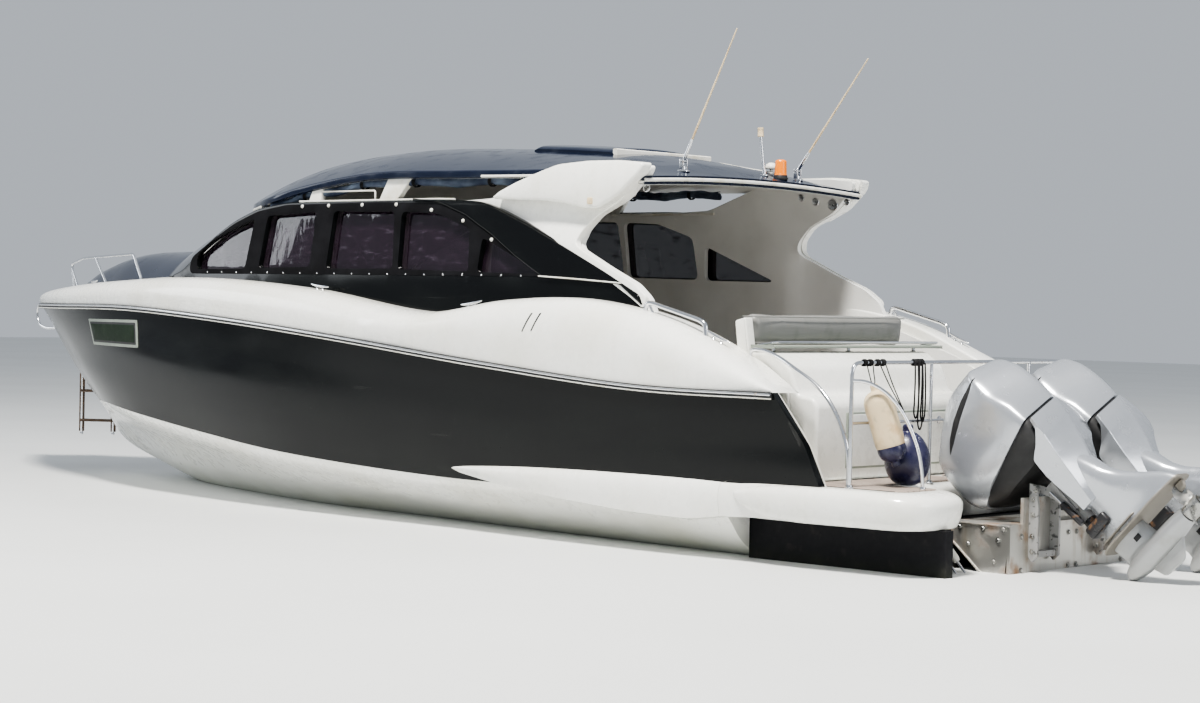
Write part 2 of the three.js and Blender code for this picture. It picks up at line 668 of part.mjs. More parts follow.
function gunwaleRail(deck) {
  const rail = tube([[-2205, 1440, 1480], [-2228, 1440, 1690], [-2270, 1440, 1706], [-2710, 1440, 1598],
    [-2758, 1440, 1560], [-2765, 1440, 1350]], RAIL_R + 3);
  return largest(beside(rail, deck, 0, 0, GAP));
}

function bowRail(deck, sideDeck) {
  const top = tube([[6000, 330, 1700], [6085, 302, 1940], [6040, 320, 1972], [5600, 520, 2008], [5110, 745, 2014],
    [4110, 1085, 2034], [4040, 1105, 2015], [3870, 1140, 1760]], RAIL_R - 2);
  const post = tube([[4740, 885, 1740], [5110, 745, 2014]], RAIL_R - 2);
  return largest(beside(beside(join(top, post), deck, 0, 0, GAP), sideDeck, 0, 0, GAP));
}

// Roof fittings
const ANTENNA = { x: -1870, y: 670, z: 2740, length: 1050, leanPort: 27, leanStarboard: 38 };
function antennaMount(roof, side) {
  const base = box(ANTENNA.x - 40, ANTENNA.x + 60, side * ANTENNA.y - 30, side * ANTENNA.y + 30, 2560, ANTENNA.z - 42);
  const ears = [-1, 1].map((ear) => {
    const y = side * ANTENNA.y + ear * 22;
    return box(ANTENNA.x - 20, ANTENNA.x + 20, y - 5, y + 5, 2600, ANTENNA.z + 14);
  });
  return topmost(beside(join(base, ...ears), roof, 0, 0, GAP));
}

function antenna() {
  const knuckle = new THREE.CylinderGeometry(14, 14, 33.4, 10);
  const stem = rod(at(0, 0, 0), at(0, 0, 160), 11, 8);
  const whip = rod(at(0, 0, 150), at(0, 0, ANTENNA.length), 9, 8, 5);
  return join(solid(knuckle), stem, whip);
}

function lightPole(roof) {
  const pole = rod(at(-1880, -250, 2560), at(-1840, -250, 2980), 12, 8);
  const lamp = rod(at(-1840, -250, 2975), at(-1836, -250, 3045), 24, 10);
  const foot = rod(at(-1880, -250, 2560), at(-1879, -250, 2720), 30, 10);
  return topmost(beside(join(pole, lamp, foot), roof, 0, 0, GAP));
}

function beacon(roof) {
  const base = rod(at(-1920, -400, 2550), at(-1920, -400, 2690), 52, 12);
  const lamp = rod(at(-1920, -400, 2685), at(-1920, -400, 2810), 46, 12, 40);
  return topmost(beside(join(base, lamp), roof, 0, 0, GAP));
}

function gpsDome(roof) {
  const stem = rod(at(-1700, -560, 2560), at(-1700, -560, 2760), 12, 8);
  const cap = rod(at(-1700, -560, 2750), at(-1700, -560, 2800), 48, 12, 30);
  return topmost(beside(join(stem, cap), roof, 0, 0, GAP));
}

function roofPanel(roofs) {
  const plate = loft([[-1040, 2700, 2885], [-200, 2700, 2950]].map(([x, low, top]) => [
    [x, -500, low], [x, -500, top - 12], [x, 0, top], [x, 500, top - 12], [x, 500, low]]));
  let cover = join(plate, box(-1058, -1020, -600, 500, 2700, 2868));
  for (const roof of roofs) cover = beside(cover, roof, 0, 0, GAP);
  return topmost(cover);
}

// Fenders hang from the stern rail on their lanyards, which end against its top bar at the hitch's y
// A fender hangs from the top bar; a leaning one swings out along the hoop
function fender(x, y, top, bottom, radius, hitchY, lean = 0) {
  const profile = [[0, bottom], [radius * 0.6, bottom + radius * 0.25], [radius, bottom + radius],
    [radius, top - radius], [radius * 0.6, top - radius * 0.25], [24, top], [24, top + 40], [0, top + 40]];
  const body = new THREE.LatheGeometry(profile.map(([r, z]) => new THREE.Vector2(r, z)), 16);
  body.rotateX(Math.PI / 2);
  body.translate(0, 0, -top);
  const swing = new THREE.Vector3(HOOP_FOOT[1] - 1500, STERN_X - HOOP_FOOT[0], 0).normalize();
  body.applyMatrix4(new THREE.Matrix4().makeRotationAxis(swing, THREE.MathUtils.degToRad(lean)));
  body.translate(x, y, top);
  const hitch = at(STERN_X - RAIL_R - LANYARD_R - GAP, hitchY, RAIL_TOP);
  return join(solid(body), rod(at(x, y, top), hitch, LANYARD_R, 6));
}

// Bow ladder, hung outside the starboard rub rail
const LADDER = { x: 6590, y: -390, top: 1590, length: 1290, width: 320, heading: 36 };
function bowLadder() {
  const half = LADDER.width / 2;
  const rails = [-half, half].map((u) => tube([[u, 0, 0], [u, 0, -LADDER.length]], 15));
  const treads = [1, 2, 3, 4].map((k) => box(-half, half, -30, 30, -290 * k - 12, -290 * k + 12));
  const cross = tube([[-half, 0, 0], [half, 0, 0]], 15);
  const ends = [-half, half].map((u) => {
    const ball = new THREE.SphereGeometry(16, 8, 6);
    ball.translate(u, 0, 0);
    return solid(ball);
  });
  return join(...rails, ...treads, cross, ...ends);
}

// Two hooks over the ladder's top tube reach in to the deck and are tied by a bar
function ladderHooks() {
  const low = 15 + GAP;
  const reach = LADDER.width / 2 - 40;
  const hooks = [-reach, reach].map((u) => join(
    box(u - 10, u + 10, -low - 12, 130, low, low + 14),
    box(u - 10, u + 10, -low - 12, -low, -8, low + 1),
    box(u - 10, u + 10, low, low + 12, -30, low + 1)));
  return join(...hooks, box(-reach, reach, 40, 62, low, low + 14));
}

// Engines: a forward, h up, about the tilt axis; legs hang at -h
function superellipse(h, front, rear, half, sides = 16, power = 3) {
  const ring = [];
  const middle = (front + rear) / 2;
  const reach = (front - rear) / 2;
  for (let i = 0; i < sides; i++) {
    const angle = 2 * Math.PI * i / sides;
    const c = Math.cos(angle);
    const s = Math.sin(angle);
    ring.push([middle + reach * Math.sign(c) * Math.abs(c) ** (2 / power),
      half * Math.sign(s) * Math.abs(s) ** (2 / power), h]);
  }
  return ring;
}

// Cowl: h, front, rear, half width
const COWL = [[70, 200, -400, 215], [130, 325, -450, 275], [220, 385, -475, 300], [330, 400, -490, 310],
  [480, 395, -495, 312], [585, 365, -485, 308], [640, 300, -480, 300], [700, 225, -465, 288],
  [750, 155, -450, 270], [825, 40, -400, 220], [870, -70, -330, 130]];
function cowl() {
  return loft(COWL.map((row) => superellipse(...row)));
}

// Leg: h, front, rear, half width
const PROP = { a: -660 - GAP, h: -850, length: 130 };
const MIDSECTION = [[70 - GAP, -95, -420, 150], [0, -178, -440, 160], [-120, -178, -450, 130],
  [-230, -178, -460, 100], [-320, -178, -511, 82], [-430, -178, -615, 70], [-530, -140, -735, 60],
  [-640, -105, -795, 60]];
function leg() {
  const body = loft(MIDSECTION.map((row) => superellipse(...row, 12, 2.4)));
  const yoke = box(-200, -95, -60, 60, -34, 70 - GAP);
  const lowerYoke = loft([superellipse(-432, -70, -300, 66, 12), superellipse(-520, -80, -300, 60, 12)]);
  const plate = sidePlate([[-60, -640], [-120, -630], [-800, -640], [-820, -652], [-60, -652]], -130, 130);
  const strut = loft([superellipse(-640, -110, -400, 45, 12, 2), superellipse(PROP.h + 30, -130, -420, 40, 12, 2)]);
  const profile = [[0, -560], [60, -560], [76, -420], [76, -150], [60, -40], [30, 15], [0, 40]];
  const torpedo = new THREE.LatheGeometry(profile.map(([r, z]) => new THREE.Vector2(r, z)), 12);
  torpedo.rotateZ(-Math.PI / 2);
  torpedo.translate(-100, 0, PROP.h);
  const skeg = sidePlate([[-260, PROP.h - 40], [-300, -1025], [-480, -1035], [-560, PROP.h - 50]], -9, 9);
  return join(body, yoke, lowerYoke, plate, strut, solid(torpedo), skeg);
}

function propeller() {
  const hub = new THREE.CylinderGeometry(60, 52, PROP.length, 14);
  hub.rotateZ(-Math.PI / 2);
  hub.translate(-PROP.length / 2, 0, 0);
  const blades = [0, 120, 240].map((turn) => {
    const rows = [[40, 34, 28], [95, 60, 44], [142, 64, 52], [175, 38, 40], [185, 10, 30]];
    const rings = rows.map(([r, half, pitch]) => {
      const twist = THREE.MathUtils.degToRad(90 - pitch);
      return [[-1, -4], [1, -4], [1, 4], [-1, 4]].map(([u, thick]) => [
        -65 + u * half * Math.cos(twist) * 0.9 - thick * Math.sin(twist),
        u * half * Math.sin(twist) + thick * Math.cos(twist), r]);
    });
    return loft(rings).rotate([turn, 0, 0]);
  });
  return join(solid(hub), ...blades);
}

function clampBracket() {
  const outline = [[10, 45], [-30, 35], [-45, 0], [-60, -120], [-60, -430], [-20, -470],
    [BRACKET_AFT - PIVOT_X - GAP, -440], [BRACKET_AFT - PIVOT_X - GAP, 30]];
  const cheeks = [sidePlate(outline, 115, 137), sidePlate(outline, -137, -115)];
  return join(...cheeks, box(-40, 5, -120, 120, -440, -400));
}

function swivel() {
  const pin = new THREE.CylinderGeometry(26, 26, 2 * (115 - GAP), 12);
  const column = rod(at(STEER_A, 0, -431), at(STEER_A, 0, -35), 46, 14);
  const arm = sidePlate([[20, 20], [-20, 24], [-48, -12], [-62, -38], [-120, -40], [-120, -330], [-90, -330],
    [-40, -120]], -60, 60);
  return join(solid(pin), column, arm);
}

function engine(side, label) {
  const mount = new THREE.Group();
  mount.position.set(PIVOT_X, side * ENGINE_Y, PIVOT_Z);
  boat.add(mount);
  place(`clamp_bracket_${label}`, clampBracket(), 'dark', mount);
  const tilted = new THREE.Group();
  tilted.rotation.y = THREE.MathUtils.degToRad(TILT_DEG);
  mount.add(tilted);
  place(`swivel_bracket_${label}`, swivel(), 'dark', tilted);
  place(`outboard_cowl_${label}`, cowl(), 'silver', tilted);
  place(`outboard_leg_${label}`, leg(), 'silver', tilted);
  const screw = place(`propeller_${label}`, propeller(), 'steel', tilted);
  screw.position.set(PROP.a, 0, PROP.h);
}

// Assembly
const bottom = hullBottom();
const platform = swimPlatform();
const side = largest(beside(beside(topside(), bottom, 0, GAP, GAP), platform, GAP, 0, GAP));
const deckPort = largest(beside(deckSide(), side, 0, 0, GAP));
const deckFore = largest(beside(beside(foredeck(), side, 0, 0, GAP), mirrored(side), 0, 0, GAP));
place('hull_bottom', bottom, 'gelcoat');
place('topsides_port', side, 'black');
place('topsides_starboard', mirrored(side), 'black');
place('swim_platform', platform, 'gelcoat');
place('stern_box', sternBox(), 'antifoul');
const spray = largest(beside(beside(sponson(), bottom, 0, GAP, GAP), side, 0, GAP, -GAP));
place('sponson_port', spray, 'gelcoat');
place('sponson_starboard', mirrored(spray), 'gelcoat');
place('deck_side_port', deckPort, 'gelcoat');
place('deck_side_starboard', mirrored(deckPort), 'gelcoat');
place('foredeck', deckFore, 'gelcoat');

place('rub_rail', rubRail(), 'steel');

const trunk = foredeckTrunk(deckFore);
const plainPanel = largest(beside(cabinSide(deckPort), deckFore, -GAP, 0, GAP));
const wingPort = wing(plainPanel, deckPort);
const roofBack = roofAft(wingPort);
const roofFront = roofFore(wingPort);
const panel = withPosts(plainPanel, roofFront);
place('foredeck_trunk', trunk, 'navy');
place('cabin_side_port', panel, 'black');
place('cabin_side_starboard', mirrored(panel), 'black');
const sheetPort = windowSheet();
place('window_sheet_port', sheetPort, 'glass');
place('window_sheet_starboard', mirrored(sheetPort), 'glass');
place('wing_port', wingPort, 'gelcoat');
place('wing_starboard', mirrored(wingPort), 'gelcoat');
place('roof_fore', roofFront, 'navy');
place('roof_aft', roofBack, 'navy');
const screenPane = windscreen([trunk, deckFore, deckPort]);
place('windscreen', screenPane, 'glass');
place('roof_panel', roofPanel([roofFront, roofBack]), 'grey');

const seatPort = bench(side);
place('cabin_sole', sole(bottom, platform), 'teak');
place('dashboard', dashboard([deckFore, trunk, screenPane]), 'dark');
place('helm_seat', helmSeat(), 'grey');
place('bench_port', seatPort, 'grey');
place('bench_starboard', mirrored(seatPort), 'grey');
place('transom_locker', transomLocker(), 'gelcoat');
place('transom_seat', transomSeat(), 'grey');
place('stern_shelf', sternShelf(), 'grey');

const wheel = place('steering_wheel', steeringWheel(), 'dark');
wheel.position.set(WHEEL.x, WHEEL.y, WHEEL.z);
wheel.rotation.y = -THREE.MathUtils.degToRad(90 - WHEEL.rake);

const ladderSeat = new THREE.Group();
ladderSeat.position.set(LADDER.x, LADDER.y, LADDER.top);
ladderSeat.rotation.z = THREE.MathUtils.degToRad(LADDER.heading);
boat.add(ladderSeat);
place('bow_ladder', bowLadder(), 'steel', ladderSeat);
const hooks = ladderHooks().rotate([0, 0, LADDER.heading]).translate([LADDER.x, LADDER.y, LADDER.top]);
place('ladder_bracket', largest(beside(hooks, deckFore, GAP, -GAP, GAP)), 'steel');
place('stern_rail', sternRail(), 'steel');
place('boarding_rail', boardingRail(deckPort), 'steel');
const handrail = gunwaleRail(deckPort);
place('gunwale_rail_port', handrail, 'steel');
place('gunwale_rail_starboard', mirrored(handrail), 'steel');
const pulpit = bowRail(deckFore, deckPort);
place('bow_rail_port', pulpit, 'steel');
place('bow_rail_starboard', mirrored(pulpit), 'steel');
place('stern_fender', fender(-4100, 1328, 1200, 700, 90, 1330, 17), 'cream');
place('ball_fender', fender(-4150, 1010, 850, PLATFORM_TOP + GAP, 150, 880), 'navy');

place('engine_bracket', engineBracket(), 'steel');
engine(1, 'port');
engine(-1, 'starboard');

for (const [sideSign, label, lean] of [[1, 'port', ANTENNA.leanPort], [-1, 'starboard', ANTENNA.leanStarboard]]) {
  place(`antenna_mount_${label}`, antennaMount(roofBack, sideSign), 'steel');
  const mast = place(`antenna_${label}`, antenna(), 'gelcoat');
  mast.position.set(ANTENNA.x, sideSign * ANTENNA.y, ANTENNA.z);
  mast.rotation.y = -THREE.MathUtils.degToRad(lean);
}
place('light_pole', lightPole(roofBack), 'gelcoat');
place('beacon', beacon(roofBack), 'orange');
place('gps_dome', gpsDome(roofBack), 'gelcoat');

export default boat;
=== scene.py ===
# %% [markdown]
# # A cabin speedboat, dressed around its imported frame
# The frame holds the boat's solids at their real size and place. This lesson gives each of them its finish,
# and lays smooth surfaces, cushions and fittings over the solids whose facets would show. Everything is in
# metres: +X to the bow, +Y to port, +Z up, with z = 0 at the waterline.

# %% Load the frame
import math

import bmesh
import bpy
import numpy as np
from mathutils import Matrix, Vector
from mathutils.geometry import delaunay_2d_cdt


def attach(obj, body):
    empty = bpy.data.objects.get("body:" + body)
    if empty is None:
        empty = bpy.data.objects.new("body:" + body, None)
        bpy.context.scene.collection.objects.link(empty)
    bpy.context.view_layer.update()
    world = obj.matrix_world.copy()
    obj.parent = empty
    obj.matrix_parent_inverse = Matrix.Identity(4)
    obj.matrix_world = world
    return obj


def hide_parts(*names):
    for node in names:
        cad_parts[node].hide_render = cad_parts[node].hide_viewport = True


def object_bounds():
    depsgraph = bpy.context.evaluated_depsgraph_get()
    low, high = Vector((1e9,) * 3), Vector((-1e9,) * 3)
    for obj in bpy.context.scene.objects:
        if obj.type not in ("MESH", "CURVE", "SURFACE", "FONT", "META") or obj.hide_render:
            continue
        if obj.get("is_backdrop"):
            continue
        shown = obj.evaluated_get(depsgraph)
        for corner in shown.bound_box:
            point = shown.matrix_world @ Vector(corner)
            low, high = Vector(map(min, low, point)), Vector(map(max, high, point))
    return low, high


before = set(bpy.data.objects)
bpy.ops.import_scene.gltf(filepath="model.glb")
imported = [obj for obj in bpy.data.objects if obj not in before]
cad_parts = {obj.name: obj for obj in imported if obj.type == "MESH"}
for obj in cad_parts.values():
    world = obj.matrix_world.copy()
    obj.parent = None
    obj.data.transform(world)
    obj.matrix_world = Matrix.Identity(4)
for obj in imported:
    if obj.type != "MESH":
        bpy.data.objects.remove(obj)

solid_low, solid_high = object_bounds()
SIDES = ((1, "port"), (-1, "starboard"))
SOLE = 0.661

# %% [markdown]
# The camera stands where the photographer stood: a little above the water, off the port quarter. A matrix
# built from three directions says it in one step, and is easier to reason about than three angles.

# %% Camera
HEADING, PITCH, ROLL = (math.radians(angle) for angle in (42.5, 1.18, 1.20))
EYE = Vector((-13.712, 14.447, 1.72))
ahead = Vector((math.sin(HEADING), -math.cos(HEADING), 0))
rightward = Vector((-math.cos(HEADING), -math.sin(HEADING), 0))
upward = Vector((0, 0, 1))
forward = ahead * math.cos(PITCH) - upward * math.sin(PITCH)
level_up = upward * math.cos(PITCH) + ahead * math.sin(PITCH)
camera_x = rightward * math.cos(ROLL) + level_up * math.sin(ROLL)
camera_y = level_up * math.cos(ROLL) - rightward * math.sin(ROLL)

camera = bpy.data.objects.new("camera", bpy.data.cameras.new("camera"))
camera.data.lens = 75
camera.data.sensor_width = 36
camera.data.clip_end = 200
turn = Matrix((camera_x, camera_y, -forward)).transposed().to_4x4()
camera.matrix_world = Matrix.Translation(EYE) @ turn
bpy.context.scene.collection.objects.link(camera)
bpy.context.scene.camera = camera
print("camera at", tuple(round(c, 2) for c in EYE))

# %% [markdown]
# Shader maths reads best as Python expressions. Field wraps a socket, and its operators add Math nodes.
# Finish wraps a material: one method makes any node, and a few short ones name what a painter would ask for,
# such as a noise, a bump or a mix of two colours. All patterns read Object coordinates, in metres.


# %% Field: a value that varies over a surface
class Field:
    def __init__(self, finish, socket):
        self.finish = finish
        self.socket = socket

    def __add__(self, other):
        return self.finish.math("ADD", self, other)

    def __sub__(self, other):
        return self.finish.math("SUBTRACT", self, other)

    def __rsub__(self, other):
        return self.finish.math("SUBTRACT", other, self)

    def __mul__(self, other):
        return self.finish.math("MULTIPLY", self, other)

    def __gt__(self, other):
        return self.finish.math("GREATER_THAN", self, other)

    def __lt__(self, other):
        return self.finish.math("LESS_THAN", self, other)

    __radd__ = __add__
    __rmul__ = __mul__


# %% Finish: a material written as expressions
class Finish:
    def __init__(self, name, colour, roughness=0.5, metallic=0.0, coat=0.0, **sockets):
        self.material = bpy.data.materials.new(name)
        self.material.use_nodes = True
        self.slot = name
        self.nodes = self.material.node_tree.nodes
        self.links = self.material.node_tree.links
        self.shader = self.nodes["Principled BSDF"]
        self.set("Base Color", (*colour, 1))
        self.set("Roughness", roughness)
        self.set("Metallic", metallic)
        self.set("Coat Weight", coat)
        for socket, value in sockets.items():
            self.set(socket.replace("_", " ").title(), value)
        place = self.nodes.new("ShaderNodeTexCoord")
        self.place = place.outputs["Object"]
        axes = self.node("SeparateXYZ", inputs={0: self.place})
        self.x, self.y, self.z = (Field(self, axes.outputs[i]) for i in range(3))

    def feed(self, socket, value):
        if isinstance(value, Field):
            value = value.socket
        if isinstance(value, bpy.types.NodeSocket):
            self.links.new(value, socket)
        elif isinstance(value, tuple) and socket.type == "RGBA" and len(value) == 3:
            socket.default_value = (*value, 1)
        else:
            socket.default_value = value

    def set(self, socket, value):
        self.feed(self.shader.inputs[socket], value)
        return self

    def node(self, kind, settings=None, inputs=None):
        made = self.nodes.new("ShaderNode" + kind)
        for key, value in (settings or {}).items():
            setattr(made, key, value)
        for key, value in (inputs or {}).items():
            self.feed(made.inputs[key], value)
        return made

    def math(self, operation, a, b=0.0):
        made = self.node("Math", {"operation": operation}, {0: a, 1: b})
        return Field(self, made.outputs[0])

    def stretched(self, stretch):
        return self.node("VectorMath", {"operation": "MULTIPLY"}, {0: self.place, 1: stretch}).outputs[0]

    def noise(self, scale, detail=3.0, stretch=None):
        where = self.stretched(stretch) if stretch else self.place
        made = self.node("TexNoise", None, {"Vector": where, "Scale": scale, "Detail": detail})
        return Field(self, made.outputs["Fac"])

    def cells(self, scale, stretch=None):
        where = self.stretched(stretch) if stretch else self.place
        made = self.node("TexVoronoi", None, {"Vector": where, "Scale": scale})
        return Field(self, made.outputs["Distance"])

    def between(self, value, low, high):
        """0 below low, 1 above high, and a smooth step between."""
        made = self.node("MapRange", {"interpolation_type": "SMOOTHSTEP"},
                         {0: value, 1: low, 2: high, 3: 0.0, 4: 1.0})
        return Field(self, made.outputs[0])

    def mix(self, mask, a, b):
        """Colour a where mask is 0 and colour b where it is 1."""
        made = self.node("Mix", {"data_type": "RGBA"}, {0: mask, 6: a, 7: b})
        return made.outputs[2]

    def skin(self, colour, roughness, height, distance, strength=1.0):
        """What every finish has: a colour, a roughness, and a bump of a height field."""
        self.set("Base Color", colour)
        self.set("Roughness", roughness)
        made = self.node("Bump", None, {"Height": height, "Distance": distance, "Strength": strength})
        return self.set("Normal", made.outputs[0])


def colour_noise(finish, base, other, scale, low, high, stretch=None):
    """Base colour with patches of another where a noise lies between low and high."""
    mask = finish.between(finish.noise(scale, 4, stretch), low, high)
    return finish.mix(mask, base, other)


print("shader helpers ready")

# %% [markdown]
# The boat's big finishes are gelcoats: polished resin with a clear gloss. A real one is never one colour.
# Sun yellows it in patches and rain draws faint vertical streaks, each a noise stretched the way that the
# dirt runs. Towards the waterline the white turns greener and duller: painted reflection of the green water,
# with some real scum.


# %% Gelcoats and bottom paint
def streaks(finish, scale=9.0):
    """Thin vertical runs: a noise squeezed along z."""
    return finish.between(finish.noise(scale, 5, (1, 1, 0.06)), 0.55, 0.8)


def make_white_gelcoat(name="white_gelcoat"):
    f = Finish(name, (0.84, 0.84, 0.80), coat=0.5)
    tone = colour_noise(f, (0.86, 0.86, 0.82), (0.77, 0.76, 0.69), 1.7, 0.35, 0.8)
    tone = f.mix(streaks(f) * 0.12, tone, (0.52, 0.50, 0.42))
    # Greener and duller towards the waterline: painted reflection of the green water, with some real scum.
    water_reflection_and_scum = f.between(f.z + f.noise(3, 3) * 0.16, 0.34, 0.04)
    tone = f.mix(water_reflection_and_scum * 0.5, tone, (0.48, 0.50, 0.36))
    paint_edge = f.between(f.z + f.noise(5, 2) * 0.012, 0.0, 0.012)
    tone = f.mix(paint_edge, (0.018, 0.02, 0.022), tone)
    ripple = f.noise(2.2, 2) * 0.8 + f.noise(60, 2) * 0.05
    return f.skin(tone, 0.20 + f.noise(14, 4) * 0.16 + water_reflection_and_scum * 0.15, ripple, 0.002, 0.5)


def make_black_gelcoat():
    f = Finish("black_gelcoat", (0.004, 0.0045, 0.005), coat=0.0)
    f.set("Specular IOR Level", 0.24)
    salt = f.between(f.noise(90, 5), 0.62, 0.78)
    film = f.between(f.noise(1.3, 3, (1, 1, 2.5)), 0.35, 0.75)
    scuffs = f.between(f.noise(26, 4, (0.05, 0.05, 1.0)), 0.66, 0.8)
    tone = f.mix(film * 0.35, (0.003, 0.0035, 0.004), (0.009, 0.011, 0.010))
    tone = f.mix(salt * 0.04 + scuffs * 0.05, tone, (0.20, 0.21, 0.19))
    ripple = f.noise(1.6, 2) + f.noise(45, 2) * 0.03
    return f.skin(tone, 0.11 + film * 0.10 + salt * 0.2 + scuffs * 0.15, ripple, 0.003, 0.6)


def make_bottom_paint():
    f = Finish("bottom_paint", (0.008, 0.008, 0.010), coat=0.0)
    f.set("Specular IOR Level", 0.25)
    slime = f.between(f.z + f.noise(4, 4) * 0.25, 0.02, 0.26)
    worn = f.between(f.noise(11, 5), 0.58, 0.74)
    tone = f.mix(slime, (0.022, 0.025, 0.017), (0.006, 0.006, 0.008))
    tone = f.mix(worn * 0.25, tone, (0.05, 0.047, 0.04))
    return f.skin(tone, 0.55 + f.noise(20, 3) * 0.3, f.noise(38, 5), 0.0015, 0.6)


def make_navy_gelcoat():
    f = Finish("navy_gelcoat", (0.006, 0.010, 0.024), coat=0.0)
    f.set("Specular IOR Level", 0.32)
    dust = f.between(f.noise(6, 5), 0.45, 0.8)
    return f.skin(f.mix(dust * 0.12, (0.006, 0.010, 0.024), (0.09, 0.10, 0.12)), 0.10 + dust * 0.22,
                  f.noise(1.9, 2), 0.002, 0.5)


white_gelcoat = make_white_gelcoat()
black_gelcoat = make_black_gelcoat()
bottom_paint = make_bottom_paint()
navy_gelcoat = make_navy_gelcoat()
print("gelcoats made")

# %% [markdown]
# Metals: polished stainless has almost no colour of its own, so what makes it real is tea staining, the
# small brown blooms that salt leaves. The engine bracket and the machinery below the cowls are far dirtier.


# %% Metals
def make_polished_steel():
    f = Finish("polished_steel", (0.72, 0.72, 0.73), metallic=1.0)
    bloom = f.between(f.noise(22, 5), 0.64, 0.76)
    return f.skin(f.mix(bloom * 0.6, (0.74, 0.75, 0.77), (0.34, 0.21, 0.11)),
                  0.10 + f.noise(40, 3) * 0.12 + bloom * 0.35, f.noise(120, 2), 0.0003, 0.4)


def make_stained_steel():
    f = Finish("stained_steel", (0.5, 0.48, 0.44), metallic=0.8)
    rust = f.between(f.noise(5, 6) + f.noise(1.2, 2, (1, 1, 0.3)) * 0.5, 0.72, 0.98)
    runs = f.between(f.noise(16, 4, (1, 1, 0.1)), 0.52, 0.7)
    tone = f.mix(runs * 0.5, (0.56, 0.55, 0.52), (0.36, 0.30, 0.22))
    f.set("Metallic", 0.85 - rust * 0.7)
    return f.skin(f.mix(rust, tone, (0.22, 0.115, 0.05)), 0.30 + rust * 0.4 + runs * 0.12,
                  f.noise(55, 5) + rust * 0.6, 0.0010, 0.6)


def make_dark_metal():
    f = Finish("dark_metal", (0.02, 0.02, 0.022), coat=0.1)
    rust = f.between(f.noise(24, 6), 0.56, 0.7)
    grease = f.between(f.noise(7, 3), 0.4, 0.7)
    tone = f.mix(rust * 0.7, (0.018, 0.018, 0.02), (0.17, 0.085, 0.035))
    return f.skin(tone, 0.35 + rust * 0.4 - grease * 0.12, f.noise(80, 5), 0.0008, 0.7)


def make_worn_steel():
    f = Finish("worn_steel", (0.45, 0.43, 0.40), metallic=0.9)
    growth = f.between(f.noise(18, 6), 0.46, 0.66)
    f.set("Metallic", 0.92 - growth * 0.3)
    return f.skin(f.mix(growth * 0.30, (0.38, 0.38, 0.365), (0.20, 0.17, 0.13)), 0.26 + growth * 0.30,
                  f.noise(70, 4) + growth * 0.4, 0.0006, 0.6)


def make_cast_grey():
    """Painted castings of the engine mounts: silver-grey, chipped along the noise and stained brown
    below."""
    f = Finish("cast_grey", (0.24, 0.24, 0.235))
    chipped = f.between(f.noise(26, 6), 0.58, 0.66)
    stain = f.between(f.noise(8, 5, (1, 1, 0.4)) - f.z * 0.35, 0.42, 0.62)
    tone = f.mix(stain * 0.7, (0.30, 0.30, 0.295), (0.15, 0.105, 0.065))
    return f.skin(f.mix(chipped * 0.8, tone, (0.03, 0.03, 0.032)), 0.38 + stain * 0.25 + chipped * 0.2,
                  f.noise(90, 5) - chipped * 0.5, 0.0008, 0.7)


polished_steel = make_polished_steel()
cast_grey = make_cast_grey()
stained_steel = make_stained_steel()
dark_metal = make_dark_metal()
worn_steel = make_worn_steel()
print("metals made")

# %% [markdown]
# Canvas, clear vinyl, deck boards and plastics close the list. Cloth gets a woven bump from two crossed
# waves, which reads as fabric from close by and vanishes from afar, as the real weave does. The window vinyl
# is tinted and a little wavy, because it was stretched by hand. Its dark, nearly opaque tone is partly
# painted shade that stands in for the dark cabin behind it.


# %% Soft and plastic finishes
def weave(finish, threads):
    """Two sets of fine ridges, crossed: the sine of x and z times the sine of y and z."""
    warp = finish.math("SINE", (finish.x + finish.z * 0.6) * threads)
    weft = finish.math("SINE", (finish.y + finish.z * 0.8) * threads)
    return warp * weft


def make_cloth(name, base, faded, threads=2600, roughness=0.8):
    f = Finish(name, base)
    f.set("Specular IOR Level", 0.12)
    return f.skin(colour_noise(f, base, faded, 5, 0.35, 0.75), roughness + f.noise(30, 3) * 0.15,
                  weave(f, threads) * 0.15 + f.noise(9, 4) * 1.2, 0.0025, 0.6)


def make_vinyl(name, base, worn, roughness=0.42, stained=0.35):
    f = Finish(name, base, coat=0.1)
    grain = f.cells(420)
    mask = f.between(f.noise(7, 5), 0.5, 0.75)
    dirt = f.between(f.noise(16, 6), 0.56, 0.72)
    return f.skin(f.mix(dirt * stained, f.mix(mask, base, worn), (0.30, 0.26, 0.19)),
                  roughness + mask * 0.12 - grain * 0.06, grain * 0.5 + f.noise(5, 3) * 2.0, 0.0012, 0.5)


def make_window_vinyl():
    f = Finish("clear_sheet", (0.020, 0.012, 0.020), coat=0.25)
    ripple = f.noise(3.2, 3, (1, 1, 0.4))
    smears = f.between(f.noise(9, 5, (1, 1, 3)), 0.5, 0.8)
    # The pane's dark tone and high alpha are its own tint, and also painted shade: they stand in for the
    # dark cabin behind it.
    f.set("Alpha", 0.72 + smears * 0.14)
    return f.skin(f.mix(smears * 0.5, (0.016, 0.009, 0.016), (0.07, 0.05, 0.075)), 0.05 + smears * 0.15,
                  ripple, 0.02, 0.55)


def make_dark_glass():
    f = Finish("dark_glass", (0.006, 0.007, 0.010), coat=0.3)
    dust = f.between(f.noise(5, 5), 0.45, 0.8)
    return f.skin(f.mix(dust * 0.12, (0.006, 0.007, 0.010), (0.10, 0.11, 0.12)), 0.06 + dust * 0.2,
                  f.noise(2.4, 2), 0.004, 0.4)


